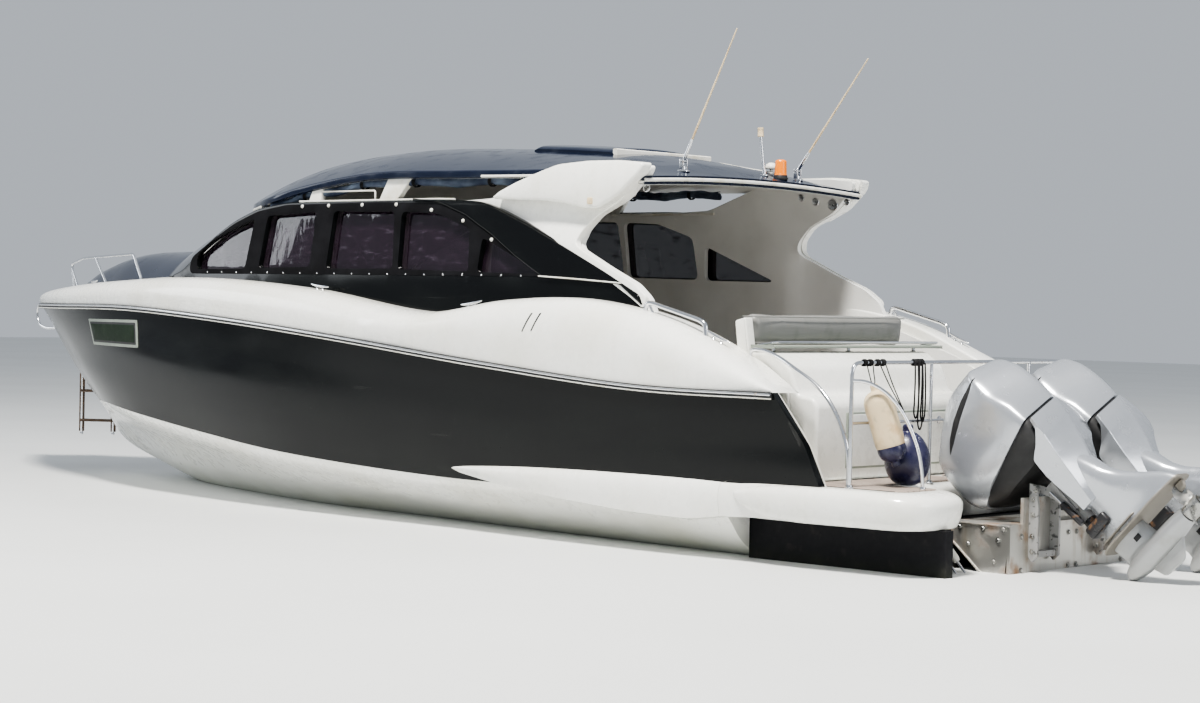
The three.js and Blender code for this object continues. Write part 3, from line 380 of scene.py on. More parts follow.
def make_deck_boards():
    """Planks along x: the caulk is the dark line where the sine of y dips."""
    f = Finish("deck_boards", (0.30, 0.24, 0.20))
    plank = f.math("FRACT", f.y * 16)
    caulk = (plank < 0.09) * 1.0
    grain = f.noise(34, 6, (0.05, 1, 1))
    tone = colour_noise(f, (0.36, 0.30, 0.255), (0.25, 0.20, 0.17), 2.3, 0.3, 0.8)
    tone = f.mix(f.between(grain, 0.4, 0.7) * 0.5, tone, (0.20, 0.155, 0.13))
    return f.skin(f.mix(caulk, tone, (0.02, 0.02, 0.02)), 0.62 + grain * 0.2, grain * 0.4 - caulk * 1.0,
                  0.0012, 0.8)


def make_plastic(name, base, worn, roughness=0.5, coat=0.0):
    f = Finish(name, base, coat=coat)
    return f.skin(colour_noise(f, base, worn, 8, 0.42, 0.8), roughness + f.noise(30, 4) * 0.14,
                  f.noise(300, 2), 0.0003, 0.5)


def make_liner():
    """The cabin's and cockpit's own white moulding: duller than the outside and shaded by use."""
    f = Finish("inner_white", (0.78, 0.78, 0.75))
    return f.skin(colour_noise(f, (0.80, 0.80, 0.77), (0.70, 0.70, 0.665), 2.6, 0.35, 0.8),
                  0.45 + f.noise(20, 4) * 0.2, f.noise(160, 3), 0.0006, 0.5)


black_canvas = make_cloth("black_canvas", (0.005, 0.005, 0.006), (0.010, 0.010, 0.012))
roof_canvas = make_cloth("roof_canvas", (0.035, 0.045, 0.075), (0.16, 0.20, 0.26), roughness=0.55)
webbing = make_cloth("webbing", (0.012, 0.012, 0.013), (0.03, 0.03, 0.032), threads=1600)
grey_cushion = make_vinyl("grey_cushion", (0.20, 0.20, 0.19), (0.17, 0.17, 0.16), stained=0.12)
cream_vinyl = make_vinyl("cream_vinyl", (0.66, 0.53, 0.34), (0.50, 0.33, 0.17))
navy_vinyl = make_vinyl("navy_vinyl", (0.012, 0.012, 0.045), (0.022, 0.022, 0.06), roughness=0.3,
                        stained=0.06)
clear_sheet = make_window_vinyl()
dark_glass = make_dark_glass()
deck_boards = make_deck_boards()
dark_plastic = make_plastic("dark_plastic", (0.012, 0.012, 0.013), (0.03, 0.03, 0.03))
grey_plastic = make_plastic("grey_plastic", (0.25, 0.28, 0.24), (0.30, 0.32, 0.28))
plate_green = make_plastic("plate_green", (0.010, 0.020, 0.010), (0.020, 0.032, 0.018), 0.45)
plate_green.set("Specular IOR Level", 0.12)
white_plastic = make_plastic("white_plastic", (0.74, 0.73, 0.68), (0.60, 0.57, 0.47), 0.35)
orange_plastic = make_plastic("orange_plastic", (0.90, 0.24, 0.0), (0.78, 0.17, 0.0), 0.3, coat=0.2)
inner_white = make_liner()
print("cloth, vinyl and plastic made")

# %% [markdown]
# The engines' silver is a metallic paint: a pale base that is about half metal and a deep clear coat, with
# the finest of sparkle. The lower units have lost their gloss to the sea, so they get a rougher copy. Each
# finish keeps the name of the frame's slot that it belongs to, or, where the frame has no slot of that name,
# of the nearest one.


# %% Engine paints
def make_silver(name, base, worn, roughness, coat):
    f = Finish(name, base, coat=coat)
    flake = f.noise(900, 2)
    wear = f.between(f.noise(7, 6), 0.55, 0.8)
    grime = f.between(f.z + f.noise(4, 5) * 0.5, 0.75, 0.2)
    tone = f.mix(wear * 0.4, base, worn)
    f.set("Metallic", 0.48 + flake * 0.25)
    return f.skin(f.mix(grime * 0.3, tone, (0.30, 0.29, 0.25)),
                  roughness + flake * 0.08 + wear * 0.12 + grime * 0.12,
                  f.noise(3, 2) + f.noise(400, 1) * 0.02, 0.001, 0.4)


silver_paint = make_silver("silver_paint", (0.47, 0.49, 0.52), (0.40, 0.41, 0.43), 0.20, 0.7)
brushed_metal = make_silver("brushed_metal", (0.40, 0.41, 0.42), (0.26, 0.25, 0.23), 0.32, 0.2)
plate_paint = make_silver("plate_paint", (0.27, 0.25, 0.22), (0.19, 0.17, 0.145), 0.48, 0.0)
for finish, slot in ((inner_white, "white_gelcoat"), (worn_steel, "polished_steel"),
                     (plate_paint, "brushed_metal"), (plate_green, "white_plastic"),
                     (black_canvas, "dark_plastic"), (roof_canvas, "dark_plastic"),
                     (webbing, "dark_plastic")):
    finish.slot = slot
print("engine paints made")

# %% [markdown]
# Boats are drawn with smooth lines through a few chosen points. The same rule serves lines and whole rows of
# points: a cubic between each two points, whose slopes come from its neighbours and the distances between
# them. Reading a line at equal shares of its length keeps the columns of a hull upright.


# %% Smooth lines
def through(points, where):
    """Centripetal cubic through points (count, ..., 3); where runs from 0 to count - 1. The slope at a point
    weighs the chords on both sides by the square root of their length."""
    p = np.asarray(points, float)
    p = np.concatenate([[2 * p[0] - p[1]], p, [2 * p[-1] - p[-2]]])
    gap = np.sqrt(np.linalg.norm(np.diff(p, axis=0), axis=-1, keepdims=True)) + 1e-9
    k = np.clip(np.asarray(where).astype(int), 0, len(p) - 4)
    w = (where - k).reshape(-1, *[1] * (p.ndim - 1))
    a, b, c, d = (p[k + i] for i in range(4))
    g0, g1, g2 = (gap[k + i] for i in range(3))
    slope_b = ((b - a) / g0 - (c - a) / (g0 + g1) + (c - b) / g1) * g1
    slope_c = ((c - b) / g1 - (d - b) / (g1 + g2) + (d - c) / g2) * g1
    curve = b + slope_b * w + (3 * (c - b) - 2 * slope_b - slope_c) * w**2
    return curve + (2 * (b - c) + slope_b + slope_c) * w**3


def table_rows(table, where):
    """The rows of a table of four columns, smoothed three columns at a time, as points are."""
    fine = through(table[:, None, :3], where)[:, 0]
    return np.column_stack([fine, through(table[:, None, 1:], where)[:, 0, 2]])


def table_columns(table, where):
    """The columns of a table, each smoothed by itself."""
    return [through(np.repeat(column[:, None, None], 3, 2), where)[:, 0, 0] for column in table.T]


def at_shares(points, shares):
    """The same line, read at shares of its own length."""
    fine = through(points, np.linspace(0, len(points) - 1, 3000))
    run = np.concatenate([[0], np.cumsum(np.linalg.norm(np.diff(fine, axis=0), axis=1))])
    return np.column_stack([np.interp(shares * run[-1], run, fine[:, i]) for i in range(3)])


def hull_line(port, columns):
    """A line from the port quarter to the stem, and the level normals along it. The line is drawn right
    round the bow, so that it crosses the centreline squarely."""
    port = np.array(port, float)
    whole = np.vstack([port, port[-2::-1] * (1, -1, 1)])
    shares = np.linspace(0, 0.5, columns + 1)
    line = at_shares(whole, shares)
    run = at_shares(whole, shares + 5e-4) - at_shares(whole, np.maximum(shares - 5e-4, 0))
    out = np.column_stack([-run[:, 1], run[:, 0], np.zeros(columns + 1)])
    out /= np.linalg.norm(out, axis=1, keepdims=True)
    line[-1, 1] = 0
    out[-1] = (1, 0, 0)
    return line, out


print("a line test:", at_shares([(0, 0, 0), (1, 1, 0), (2, 0, 0)], np.array([0, 0.5, 1])).round(3).tolist())

# %% [markdown]
# Every new piece passes through the same few steps: a mesh from arrays, smooth shading that breaks at real
# edges, a finish, and the body that it rides on. Grids become quads with one rule for the indices, and a
# tube or lathe is only a grid that closes on itself.


# %% Meshes from arrays
SHARP = math.radians(34)


def finish_piece(name, mesh, finish, body="hull", slot=None, replaces=(), sharp=SHARP):
    mesh.materials.append(finish.material)
    mesh.shade_smooth()
    mesh.set_sharp_from_angle(angle=sharp)
    made = bpy.data.objects.new(name, mesh)
    bpy.context.scene.collection.objects.link(made)
    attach(made, body)
    slot or finish.slot
    if replaces:
        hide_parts(*replaces)
    return made


def mesh_of(name, points, faces, weld=1e-5):
    """A mesh whose doubled points are merged, whose last gaps are filled and whose faces point outwards."""
    mesh = bpy.data.meshes.new(name)
    mesh.from_pydata(np.asarray(points).reshape(-1, 3).tolist(), [], faces)
    work = bmesh.new()
    work.from_mesh(mesh)
    if weld:
        bmesh.ops.remove_doubles(work, verts=work.verts, dist=weld)
    bmesh.ops.dissolve_degenerate(work, dist=1e-6, edges=work.edges)
    gaps = [edge for edge in work.edges if edge.is_boundary]
    if gaps:
        bmesh.ops.holes_fill(work, edges=gaps, sides=0)
    bmesh.ops.recalc_face_normals(work, faces=work.faces)
    if work.calc_volume(signed=True) < 0:
        bmesh.ops.reverse_faces(work, faces=work.faces)
    work.to_mesh(mesh)
    work.free()
    return mesh


def quads(rows, columns, close_rows=False, close_columns=False, start=0):
    """Indices of a grid's quads; a closed direction also joins its last line to its first."""
    r = np.arange(rows if close_rows else rows - 1)
    c = np.arange(columns if close_columns else columns - 1)
    r, c = (part.ravel() for part in np.meshgrid(r, c, indexing="ij"))
    r2, c2 = (r + 1) % rows, (c + 1) % columns
    faces = np.column_stack([r * columns + c, r2 * columns + c, r2 * columns + c2, r * columns + c2])
    return (faces + start).tolist()


def loft(name, rings, finish, closed=False, caps=True, mirror=False, **more):
    """Closed rings (count, around, 3) joined one to the next, with flat caps on both ends."""
    rings = np.asarray(rings, float)
    count, around = rings.shape[:2]
    faces = quads(count, around, closed, True)
    if caps and not closed:
        faces.append(list(range(around)))
        faces.append(list(range((count - 1) * around, count * around)))
    if mirror:
        points = np.concatenate([rings.reshape(-1, 3), rings.reshape(-1, 3) * (1, -1, 1)])
        faces = faces + [[i + count * around for i in face] for face in faces]
        return finish_piece(name, mesh_of(name, points, faces), finish, **more)
    return finish_piece(name, mesh_of(name, rings, faces), finish, **more)


def full_turn(around):
    """Angles round a circle, the first not repeated."""
    return np.linspace(0, 2 * np.pi, around, endpoint=False)


def frames_along(path):
    """Tangents and two cross directions; the first crosses the direction that the path uses least."""
    run = np.gradient(path, axis=0)
    run /= np.linalg.norm(run, axis=1, keepdims=True) + 1e-12
    least = np.linalg.svd(run)[2][-1]
    side = np.cross(run, least)
    side /= np.linalg.norm(side, axis=1, keepdims=True)
    return run, side, np.cross(run, side)


def tube_rings(path, radius, around=14):
    """Circles of a radius, which may change along the way, set square to a path."""
    path = np.asarray(path, float)
    _, side, up = frames_along(path)
    turn = full_turn(around)
    radius = np.broadcast_to(radius, len(path))[:, None, None]
    circle = side[:, None] * np.cos(turn)[None, :, None] + up[:, None] * np.sin(turn)[None, :, None]
    return path[:, None] + radius * circle


def rounded_path(points, radius=0.05, steps=7):
    """A path through corners, each one rounded as a bent tube is, by a curve between two cut-back points."""
    p = np.asarray(points, float)
    parts = [p[:1]]
    for before, corner, after in zip(p[:-2], p[1:-1], p[2:]):
        back, on = before - corner, after - corner
        cut = min(radius, np.linalg.norm(back) * 0.45, np.linalg.norm(on) * 0.45)
        start = corner + back / np.linalg.norm(back) * cut
        end = corner + on / np.linalg.norm(on) * cut
        t = np.linspace(0, 1, steps)[:, None]
        parts.append((1 - t) ** 2 * start + 2 * t * (1 - t) * corner + t**2 * end)
    parts.append(p[-1:])
    return np.vstack(parts)


def parts_of(name, shapes, finish, **more):
    """Several rings-of-points shapes as one piece, each closed by its own caps."""
    points, faces, start = [], [], 0
    for rings in shapes:
        rings = np.asarray(rings, float)
        count, around = rings.shape[:2]
        faces += quads(count, around, False, True, start)
        faces.append([start + i for i in range(around)])
        faces.append([start + i for i in range((count - 1) * around, count * around)])
        points.append(rings.reshape(-1, 3))
        start += count * around
    return finish_piece(name, mesh_of(name, np.vstack(points), faces, weld=1e-7), finish, **more)


def lathe_rings(profile, base, axis=(0, 0, 1), around=28):
    """Circles of the profile's radii at its distances along an axis: profile rows are radius, distance."""
    profile = np.asarray(profile, float)
    axis = np.asarray(axis, float) / np.linalg.norm(axis)
    side = np.cross(axis, (1, 0, 0) if abs(axis[0]) < 0.9 else (0, 1, 0))
    side /= np.linalg.norm(side)
    up = np.cross(axis, side)
    turn = full_turn(around)[None, :, None]
    radius = np.maximum(profile[:, 0], 2e-5)[:, None, None]
    centre = np.asarray(base, float) + profile[:, 1:] * axis
    return centre[:, None] + radius * (np.cos(turn) * side + np.sin(turn) * up)


def disc(radius, low, high):
    """The profile of a plain round slice between two distances."""
    return [(0, low), (radius, low), (radius, high), (0, high)]


def soft_box(low, high, radius, around=6):
    """A box with rounded edges: each grid point on a sphere is pushed out to its own corner of the box."""
    low, high = np.asarray(low, float), np.asarray(high, float)
    quarter = np.linspace(0, 0.5, around + 1) * np.pi
    turn = np.concatenate([quarter + k * np.pi / 2 for k in range(4)])
    up = np.concatenate([-quarter[::-1], quarter])
    level = np.concatenate([-np.ones(around + 1), np.ones(around + 1)])
    corner = np.repeat([[1, 1], [-1, 1], [-1, -1], [1, -1]], around + 1, axis=0)
    direction = np.stack(np.broadcast_arrays(np.cos(up)[:, None] * np.cos(turn)[None],
                                             np.cos(up)[:, None] * np.sin(turn)[None], np.sin(up)[:, None]),
                         -1)
    sign = np.stack(np.broadcast_arrays(corner[None, :, 0], corner[None, :, 1], level[:, None]), -1)
    half = (high - low) / 2 - radius
    return (low + high) / 2 + sign * half + radius * direction


print("mesh helpers ready")

# %% [markdown]
# The hull is six lines, drawn from the stern to the stem: keel, waterline, bilge, paint line, middle of the
# side, and sheer. The surfaces between them are the same smooth rule run the other way, so the planking is
# fair in both directions. These are the solids' own driving points, in metres.

# %% Hull lines
HULL_END = -3.07
KEEL = [(HULL_END, 0, -0.47), (-1.5, 0, -0.48), (0.5, 0, -0.47), (2.2, 0, -0.37), (3.6, 0, -0.19),
        (4.3, 0, -0.06), (4.56, 0, 0)]
WATERLINE = [(HULL_END, 1.33, 0.08), (-1.9, 1.255, 0.08), (-0.82, 1.19, 0.08), (0.66, 1.05, 0.08),
             (1.9, 0.93, 0.08), (3.3, 0.6, 0.08), (4.2, 0.33, 0.08), (4.7, 0.08, 0.075), (4.79, 0, 0.08)]
BILGE = [(HULL_END, 1.49, 0.24), (-1.5, 1.45, 0.24), (0, 1.4, 0.24), (1.9, 1.28, 0.3), (3.4, 0.96, 0.39),
         (4.36, 0.64, 0.42), (5.1, 0.3, 0.39), (5.56, 0.06, 0.345), (5.65, 0, 0.34)]
PAINT_LINE = [(HULL_END, 1.59, 0.39), (-2.35, 1.595, 0.39), (-0.37, 1.6, 0.387), (1.48, 1.585, 0.469),
              (2.55, 1.5, 0.563), (3.74, 1.32, 0.674), (4.5, 1.06, 0.725), (5.2, 0.6, 0.7),
              (5.75, 0.19, 0.665), (5.93, 0, 0.65)]
MIDSIDE = [(-3.755, 1.60, 0.8), (-2.35, 1.65, 0.78), (0, 1.685, 0.85), (2.05, 1.655, 1.0),
           (3.66, 1.43, 1.13), (5.0, 0.99, 1.16), (5.8, 0.52, 1.14), (6.3, 0.17, 1.11), (6.43, 0, 1.1)]
SHEER = [(-3.50, 1.625, 1.137), (-2.35, 1.68, 1.151), (-0.89, 1.712, 1.262), (0.75, 1.71, 1.414),
         (2.05, 1.66, 1.515), (3.66, 1.45, 1.59), (5.17, 1.06, 1.586), (6.0, 0.69, 1.582),
         (6.5, 0.36, 1.578), (6.8, 0.12, 1.576), (6.9, 0, 1.575)]
DECK_EDGE = [(-3.46, 1.54, 1.165), (-3.07, 1.48, 1.364), (-2.48, 1.5, 1.593), (-1.72, 1.53, 1.725),
             (-0.97, 1.54, 1.708), (-0.16, 1.55, 1.606), (1.27, 1.53, 1.763), (2.66, 1.43, 1.836),
             (4.22, 1.13, 1.799), (5.24, 0.79, 1.748), (6.0, 0.43, 1.7), (6.45, 0.15, 1.65), (6.56, 0, 1.64)]
TOPSIDE_FOOT = [(-3.945, 1.57, 0.39)] + PAINT_LINE[1:]
COLUMNS = 176
DECK_SPLIT = 14 * COLUMNS // 22

lines = {name: hull_line(points, COLUMNS) for name, points in (
    ("waterline", WATERLINE), ("bilge", BILGE), ("paint", PAINT_LINE), ("midside", MIDSIDE),
    ("sheer", SHEER), ("edge", DECK_EDGE), ("foot", TOPSIDE_FOOT))}
keel = at_shares(KEEL, np.linspace(0, 1, COLUMNS + 1))
print("sheer from", lines["sheer"][0][0].round(2), "to", lines["sheer"][0][-1].round(2))


# %% Bottom: white above the waterline, dark paint below
def hull_bottom():
    rows = np.stack([lines["midside"][0], lines["paint"][0], lines["bilge"][0], lines["waterline"][0], keel])
    skin = through(rows, np.linspace(1, 4, 37)).transpose(1, 0, 2)
    skin[:, :, 1] = np.maximum(skin[:, :, 1], 0)
    top = lines["paint"][0] * (1, 0, 1)
    return np.concatenate([skin, top[:, None]], axis=1)


loft("bottom_skin", hull_bottom(), white_gelcoat, mirror=True, replaces=["hull_bottom"])
print("bottom laid")


# %% Topsides: black, with the raked stern edge
SHELL = 0.06


def topside_rings():
    """Outer skin from the foot to the sheer, then back down inside, a shell's thickness inwards."""
    (foot, foot_out), (middle, middle_out), (sheer, sheer_out) = (lines[k]
                                                                  for k in ("foot", "midside", "sheer"))
    low = (foot + middle) / 2 + 0.012 * (foot_out + middle_out) / 2
    high = (middle + sheer) / 2
    outer = through(np.stack([foot, low, middle, high, sheer]), np.linspace(0, 4, 33))
    inner = np.stack([sheer - SHELL * sheer_out, middle - SHELL * middle_out,
                      foot - SHELL * foot_out - (0, 0, 0.01)])
    rings = np.concatenate([outer, inner]).transpose(1, 0, 2)
    rings[:, :, 1] = np.maximum(rings[:, :, 1], 2e-4)
    return rings


def quarter_lining():
    """A thin white lining inside the shell's aft end, where it shows from the platform."""
    inner = through(topside_rings()[:16, 33:].transpose(1, 0, 2), np.linspace(0, 2, 9))
    return np.concatenate([inner - (0, 0.002, 0), (inner - (0, 0.008, 0))[::-1]]).transpose(1, 0, 2)


for side, label in SIDES:
    loft("topside_skin_" + label, topside_rings() * (1, side, 1), black_gelcoat,
         replaces=["topsides_" + label])
    loft("quarter_lining_" + label, quarter_lining() * (1, side, 1), white_gelcoat)
print("topsides laid")


# %% Deck moulding: a swelling shoulder from the sheer up to the inner edge
def shoulder(steps):
    """A quadratic curve from the sheer, up and out, then in over the top; the aft hump swells further."""
    (sheer, out), (edge, _) = lines["sheer"], lines["edge"]
    swell = np.minimum(0.055, sheer[:, 1] * 0.25)[:, None]
    control = sheer + out * swell
    control[:, 2] = sheer[:, 2] + 0.93 * (edge[:, 2] - sheer[:, 2])
    t = np.linspace(0, 1, steps)[:, None, None]
    curve = (1 - t) ** 2 * sheer + 2 * t * (1 - t) * control + t**2 * edge
    start = 0.52 - 0.75 * (curve[:, :, 2:] - 1.30)
    hump = np.clip((start - curve[:, :, :1]) / 0.03, 0, 1)
    hump *= np.clip((curve[:, :, :1] + 3.2) / 2.0, 0, 1) * np.sin(np.pi * np.clip(t * 1.02, 0, 1))
    return curve + out * 0.016 * hump


DECK_SHARP = math.radians(24)
DECK_THICK, DECK_CORNER = 0.2, 0.02


def deck_side_rings():
    curve = shoulder(17)[:, :DECK_SPLIT + 1]
    edge, sheer = lines["edge"][0][:DECK_SPLIT + 1], lines["sheer"][0][:DECK_SPLIT + 1]
    inner = edge[:, 1] - DECK_THICK
    bend = np.linspace(0, np.pi / 2, 5)[:, None]
    corner = np.stack([np.broadcast_to(edge[:, 0], (5, len(edge))),
                       inner + DECK_CORNER - DECK_CORNER * np.sin(bend),
                       edge[:, 2] - DECK_CORNER + DECK_CORNER * np.cos(bend)], -1)
    foot = np.column_stack([sheer[:, 0], inner, sheer[:, 2] - 0.005])
    return np.concatenate([curve, corner, foot[None]]).transpose(1, 0, 2)


def foredeck_rings():
    curve = shoulder(17)[:, DECK_SPLIT:]
    edge, sheer = lines["edge"][0][DECK_SPLIT:], lines["sheer"][0][DECK_SPLIT:]
    across = np.linspace(1, -1, 21)[1:-1, None]
    deck = np.stack([np.broadcast_to(edge[:, 0], (19, len(edge))), across * edge[:, 1],
                     edge[:, 2] + edge[:, 1] * 0.05 * (1 - across**2)], -1)
    far = curve[::-1] * (1, -1, 1)
    keelson = sheer * (1, 0, 1) - (0, 0, 0.005)
    return np.concatenate([curve, deck, far, keelson[None]]).transpose(1, 0, 2)


for side, label in SIDES:
    loft("side_deck_" + label, deck_side_rings() * (1, side, 1), white_gelcoat,
         replaces=["deck_side_" + label], sharp=DECK_SHARP)
loft("bow_deck", foredeck_rings(), white_gelcoat, replaces=["foredeck"],
     sharp=DECK_SHARP)
print("deck moulding laid")

# %% [markdown]
# The rubbing strip is a stainless bead on a dark rubber base, along the whole sheer. Its section is carried
# from the port quarter round the bow to the starboard one, so it never shows a joint at the stem.


# %% Rubbing strip
def carried(section, line, out):
    """A section of (outward, upward) pairs set along a line: each point goes out along the level normal."""
    section = np.asarray(section, float)
    return line[:, None] + out[:, None] * section[None, :, :1] + np.array([0, 0, 1]) * section[None, :, 1:]


def round_section(centre_out, centre_up, out, up, around=14):
    turn = full_turn(around)
    return np.column_stack([centre_out + out * np.cos(turn), centre_up + up * np.sin(turn)])


def around_bow(section):
    line, out = lines["sheer"]
    port = carried(section, line, out)
    starboard = (port * (1, -1, 1))[-2::-1]
    return np.concatenate([port, starboard])


STRIP_BASE = [(0.0005, -0.050), (0.018, -0.046), (0.021, -0.034), (0.021, -0.012), (0.016, -0.002),
              (0.0005, 0)]
loft("rubbing_base", around_bow(STRIP_BASE), dark_plastic, replaces=["rub_rail"])
loft("rubbing_bead", around_bow(round_section(0.023, -0.015, 0.0105, 0.0085)), polished_steel)
loft("rubbing_lip", around_bow(round_section(0.019, -0.041, 0.007, 0.0055)), white_plastic)
print("rubbing strip laid")

# %% [markdown]
# Below the black sides a spray moulding swells out of the hull and runs into the bathing platform. The
# platform is one hollow moulding with a wide round rim, so its skin is a rounded outline carried up through
# a few insets. Boards of hardwood are let into its top, with a margin all round.


# %% Spray mouldings
SPRAY = [(-0.40, 1.612, 0.455, 0.468), (-0.55, 1.64, 0.435, 0.49), (-1.0, 1.672, 0.370, 0.515),
         (-1.61, 1.688, 0.310, 0.530), (-2.3, 1.688, 0.262, 0.536), (-2.8, 1.672, 0.250, 0.537),
         (HULL_END, 1.655, 0.285, 0.537)]


SPRAY_WIDE, SPRAY_LIP, SPRAY_ROOT = 0.10, 0.03, 1.42


def spray_section(x, out, low, top, under=()):
    """Sections at each x: a rounded outer face between two heights, then back inside the hull."""
    t = np.linspace(0, np.pi / 2, 12)[:, None]
    tall = (top - low)[None]
    outer = np.stack([np.broadcast_to(x, (12, len(x))),
                      out - SPRAY_WIDE + SPRAY_WIDE * np.sin(t) ** 0.6 - SPRAY_LIP * (1 - np.cos(t)) ** 3,
                      low + tall * np.cos(t) ** 0.75 * 0.96 + tall * 0.04], -1)
    outer[0, :, 2] = top
    root = np.full(len(x), SPRAY_ROOT)
    foot = np.stack([*under, np.column_stack([x, root, low]), np.column_stack([x, root, top])])
    return np.concatenate([outer, foot]).transpose(1, 0, 2)


def spray_rings():
    """Sections with a rounded outer top: a superellipse quarter from the top edge down to the lower lip."""
    rows = at_shares([(x, out, top) for x, out, low, top in SPRAY], np.linspace(0, 1, 60))
    low = np.interp(-rows[:, 0], [-r[0] for r in SPRAY], [r[2] for r in SPRAY])
    under = np.column_stack([rows[:, 0], rows[:, 1] - 0.06, low + 0.002])
    return spray_section(rows[:, 0], rows[:, 1], low, rows[:, 2], [under])


for side, label in SIDES:
    loft("spray_moulding_" + label, spray_rings() * (1, side, 1), white_gelcoat,
         replaces=["sponson_" + label])
print("spray mouldings laid")


# %% Closed outlines with round corners
def rounded_outline(points, radii, steps=8, spacing=0.06):
    """A closed outline whose corners are cut back and bridged by curves, with extra points along its
    sides."""
    p = np.asarray(points, float)
    radii = np.broadcast_to(radii, len(p))
    parts = []
    for before, corner, after, radius in zip(np.roll(p, 1, 0), p, np.roll(p, -1, 0), radii):
        back, on = before - corner, after - corner
        cut = min(radius, np.linalg.norm(back) * 0.48, np.linalg.norm(on) * 0.48)
        t = np.linspace(0, 1, steps)[:, None]
        start, end = (corner + way / np.linalg.norm(way) * cut for way in (back, on))
        parts.append((1 - t) ** 2 * start + 2 * t * (1 - t) * corner + t**2 * end)
    ring = np.vstack(parts)
    on = np.roll(ring, -1, 0)
    counts = np.maximum(1, np.ceil(np.linalg.norm(on - ring, axis=1) / spacing).astype(int))
    which = np.repeat(np.arange(len(ring)), counts)
    step = np.arange(len(which)) - np.repeat(np.cumsum(counts) - counts, counts)
    share = (step / counts[which])[:, None]
    ring = ring[which] * (1 - share) + on[which] * share
    area = np.sum(ring[:, 0] * np.roll(ring[:, 1], -1) - np.roll(ring[:, 0], -1) * ring[:, 1])
    return ring if area > 0 else ring[::-1]


def inset(ring, distance):
    """The outline moved inwards along its own normals."""
    run = np.roll(ring, -1, 0) - np.roll(ring, 1, 0)
    normal = np.column_stack([-run[:, 1], run[:, 0]])
    return ring + normal / (np.linalg.norm(normal, axis=1, keepdims=True) + 1e-12) * distance


def layers(outline, rows, across=False):
    """The outline at each (inset, place) row. The places run up z, or along y where the outline is
    upright."""
    rings = [np.column_stack([inset(outline, d), np.full(len(outline), place)]) for d, place in rows]
    return np.stack(rings)[:, :, [0, 2, 1] if across else [0, 1, 2]]


def stacked(name, outline, profile, finish, **more):
    """A level moulding: its outline at each (inset, z) of a profile, from below up, flat at both ends."""
    return loft(name, layers(outline, profile), finish, **more)


# %% Bathing platform
PLATFORM_TOP, PLATFORM_LOW, PLATFORM_HALF, PLATFORM_AFT = 0.54, 0.30, 1.65, -4.66
WELL_HALF, WELL_FORE = 0.95, -4.12
RIM_BEND, RIM_SHARP = 0.455, math.radians(50)
PLATFORM_EDGE = [(-3.072, -1.62), (-3.072, 1.62), (-3.3, PLATFORM_HALF - 0.008), (-3.5, PLATFORM_HALF),
                 (PLATFORM_AFT, PLATFORM_HALF), (PLATFORM_AFT, WELL_HALF), (WELL_FORE, WELL_HALF),
                 (WELL_FORE, -WELL_HALF), (PLATFORM_AFT, -WELL_HALF), (PLATFORM_AFT, -PLATFORM_HALF),
                 (-3.5, -PLATFORM_HALF), (-3.3, 0.008 - PLATFORM_HALF)]
platform_outline = rounded_outline(PLATFORM_EDGE, [0.004, 0.004, 0.1, 0.1, 0.36, 0.36, 0.06, 0.06, 0.36,
                                                   0.36, 0.1, 0.1], steps=14, spacing=0.05)
turn = np.linspace(0, np.pi / 2, 8)
PLATFORM_RIM = ([(0.075, PLATFORM_LOW), (0.055, PLATFORM_LOW + 0.002), (0.035, PLATFORM_LOW + 0.012)]
                + [(0.02 - 0.02 * s, PLATFORM_LOW + 0.035 + 0.09 * s) for s in (0.25, 0.6, 1)]
                + [(0.07 * (1 - math.cos(a)), RIM_BEND + 0.085 * math.sin(a)) for a in turn]
                + [(0.1, PLATFORM_TOP + 0.0005)])
end_share = np.clip((-4.30 - platform_outline[:, :1]) / 0.30, 0, 1)
platform_rows = [(d * (1 + 1.1 * end_share * (z > RIM_BEND)), z) for d, z in PLATFORM_RIM]
stacked("platform_skin", platform_outline, platform_rows,
        white_gelcoat, replaces=["swim_platform"], sharp=RIM_SHARP)


CHEEK_AFT, CHEEK_FULL, CHEEK_TIP = -4.30, -3.80, -3.20
CHEEK_MIDDLE, CHEEK_ROOT = 0.46, 1.50


def pod_tip(side):
    """The platform's rim swells towards its fore end and closes in a spoon's tip: the rim's own section,
    which shrinks towards its middle with the square root of the distance left."""
    x = np.concatenate([np.linspace(CHEEK_AFT, CHEEK_FULL, 12), np.linspace(CHEEK_FULL, CHEEK_TIP, 26)[1:]])
    u = np.clip((x - CHEEK_FULL) / (CHEEK_TIP - CHEEK_FULL), 0, 1)
    size = np.sqrt(1 - u**2)[:, None]
    outer = np.interp(x, [CHEEK_AFT, CHEEK_FULL, CHEEK_TIP], [1.647, 1.682, 1.686])[:, None]
    depth, z = (np.array(column)[None] for column in zip(*PLATFORM_RIM[:-1]))
    y = outer - depth * size - 0.04 * (1 - size)
    rim = np.stack([x[:, None] + 0 * z, side * y, CHEEK_MIDDLE + (z - CHEEK_MIDDLE) * size], -1)
    low, high = (row * (1, 0, 1) + (0, side * CHEEK_ROOT, 0) for row in (rim[:, :1], rim[:, -1:]))
    return np.concatenate([rim, high, low], axis=1)


FAIRING = [(-3.07, 1.655, 0.285), (-3.40, 1.648, 0.300), (-3.75, 1.625, 0.325)]


def quarter_fairing(side):
    """The spray moulding's own section carried aft over the platform's fore corner, its lower edge
    rising."""
    x = np.linspace(-3.0725, FAIRING[-1][0], 14)
    out, low = (np.interp(-x, [-row[0] for row in FAIRING], [row[i] for row in FAIRING]) for i in (1, 2))
    return spray_section(x, out, low, np.full(14, SPRAY[-1][3])) * (1, side, 1)


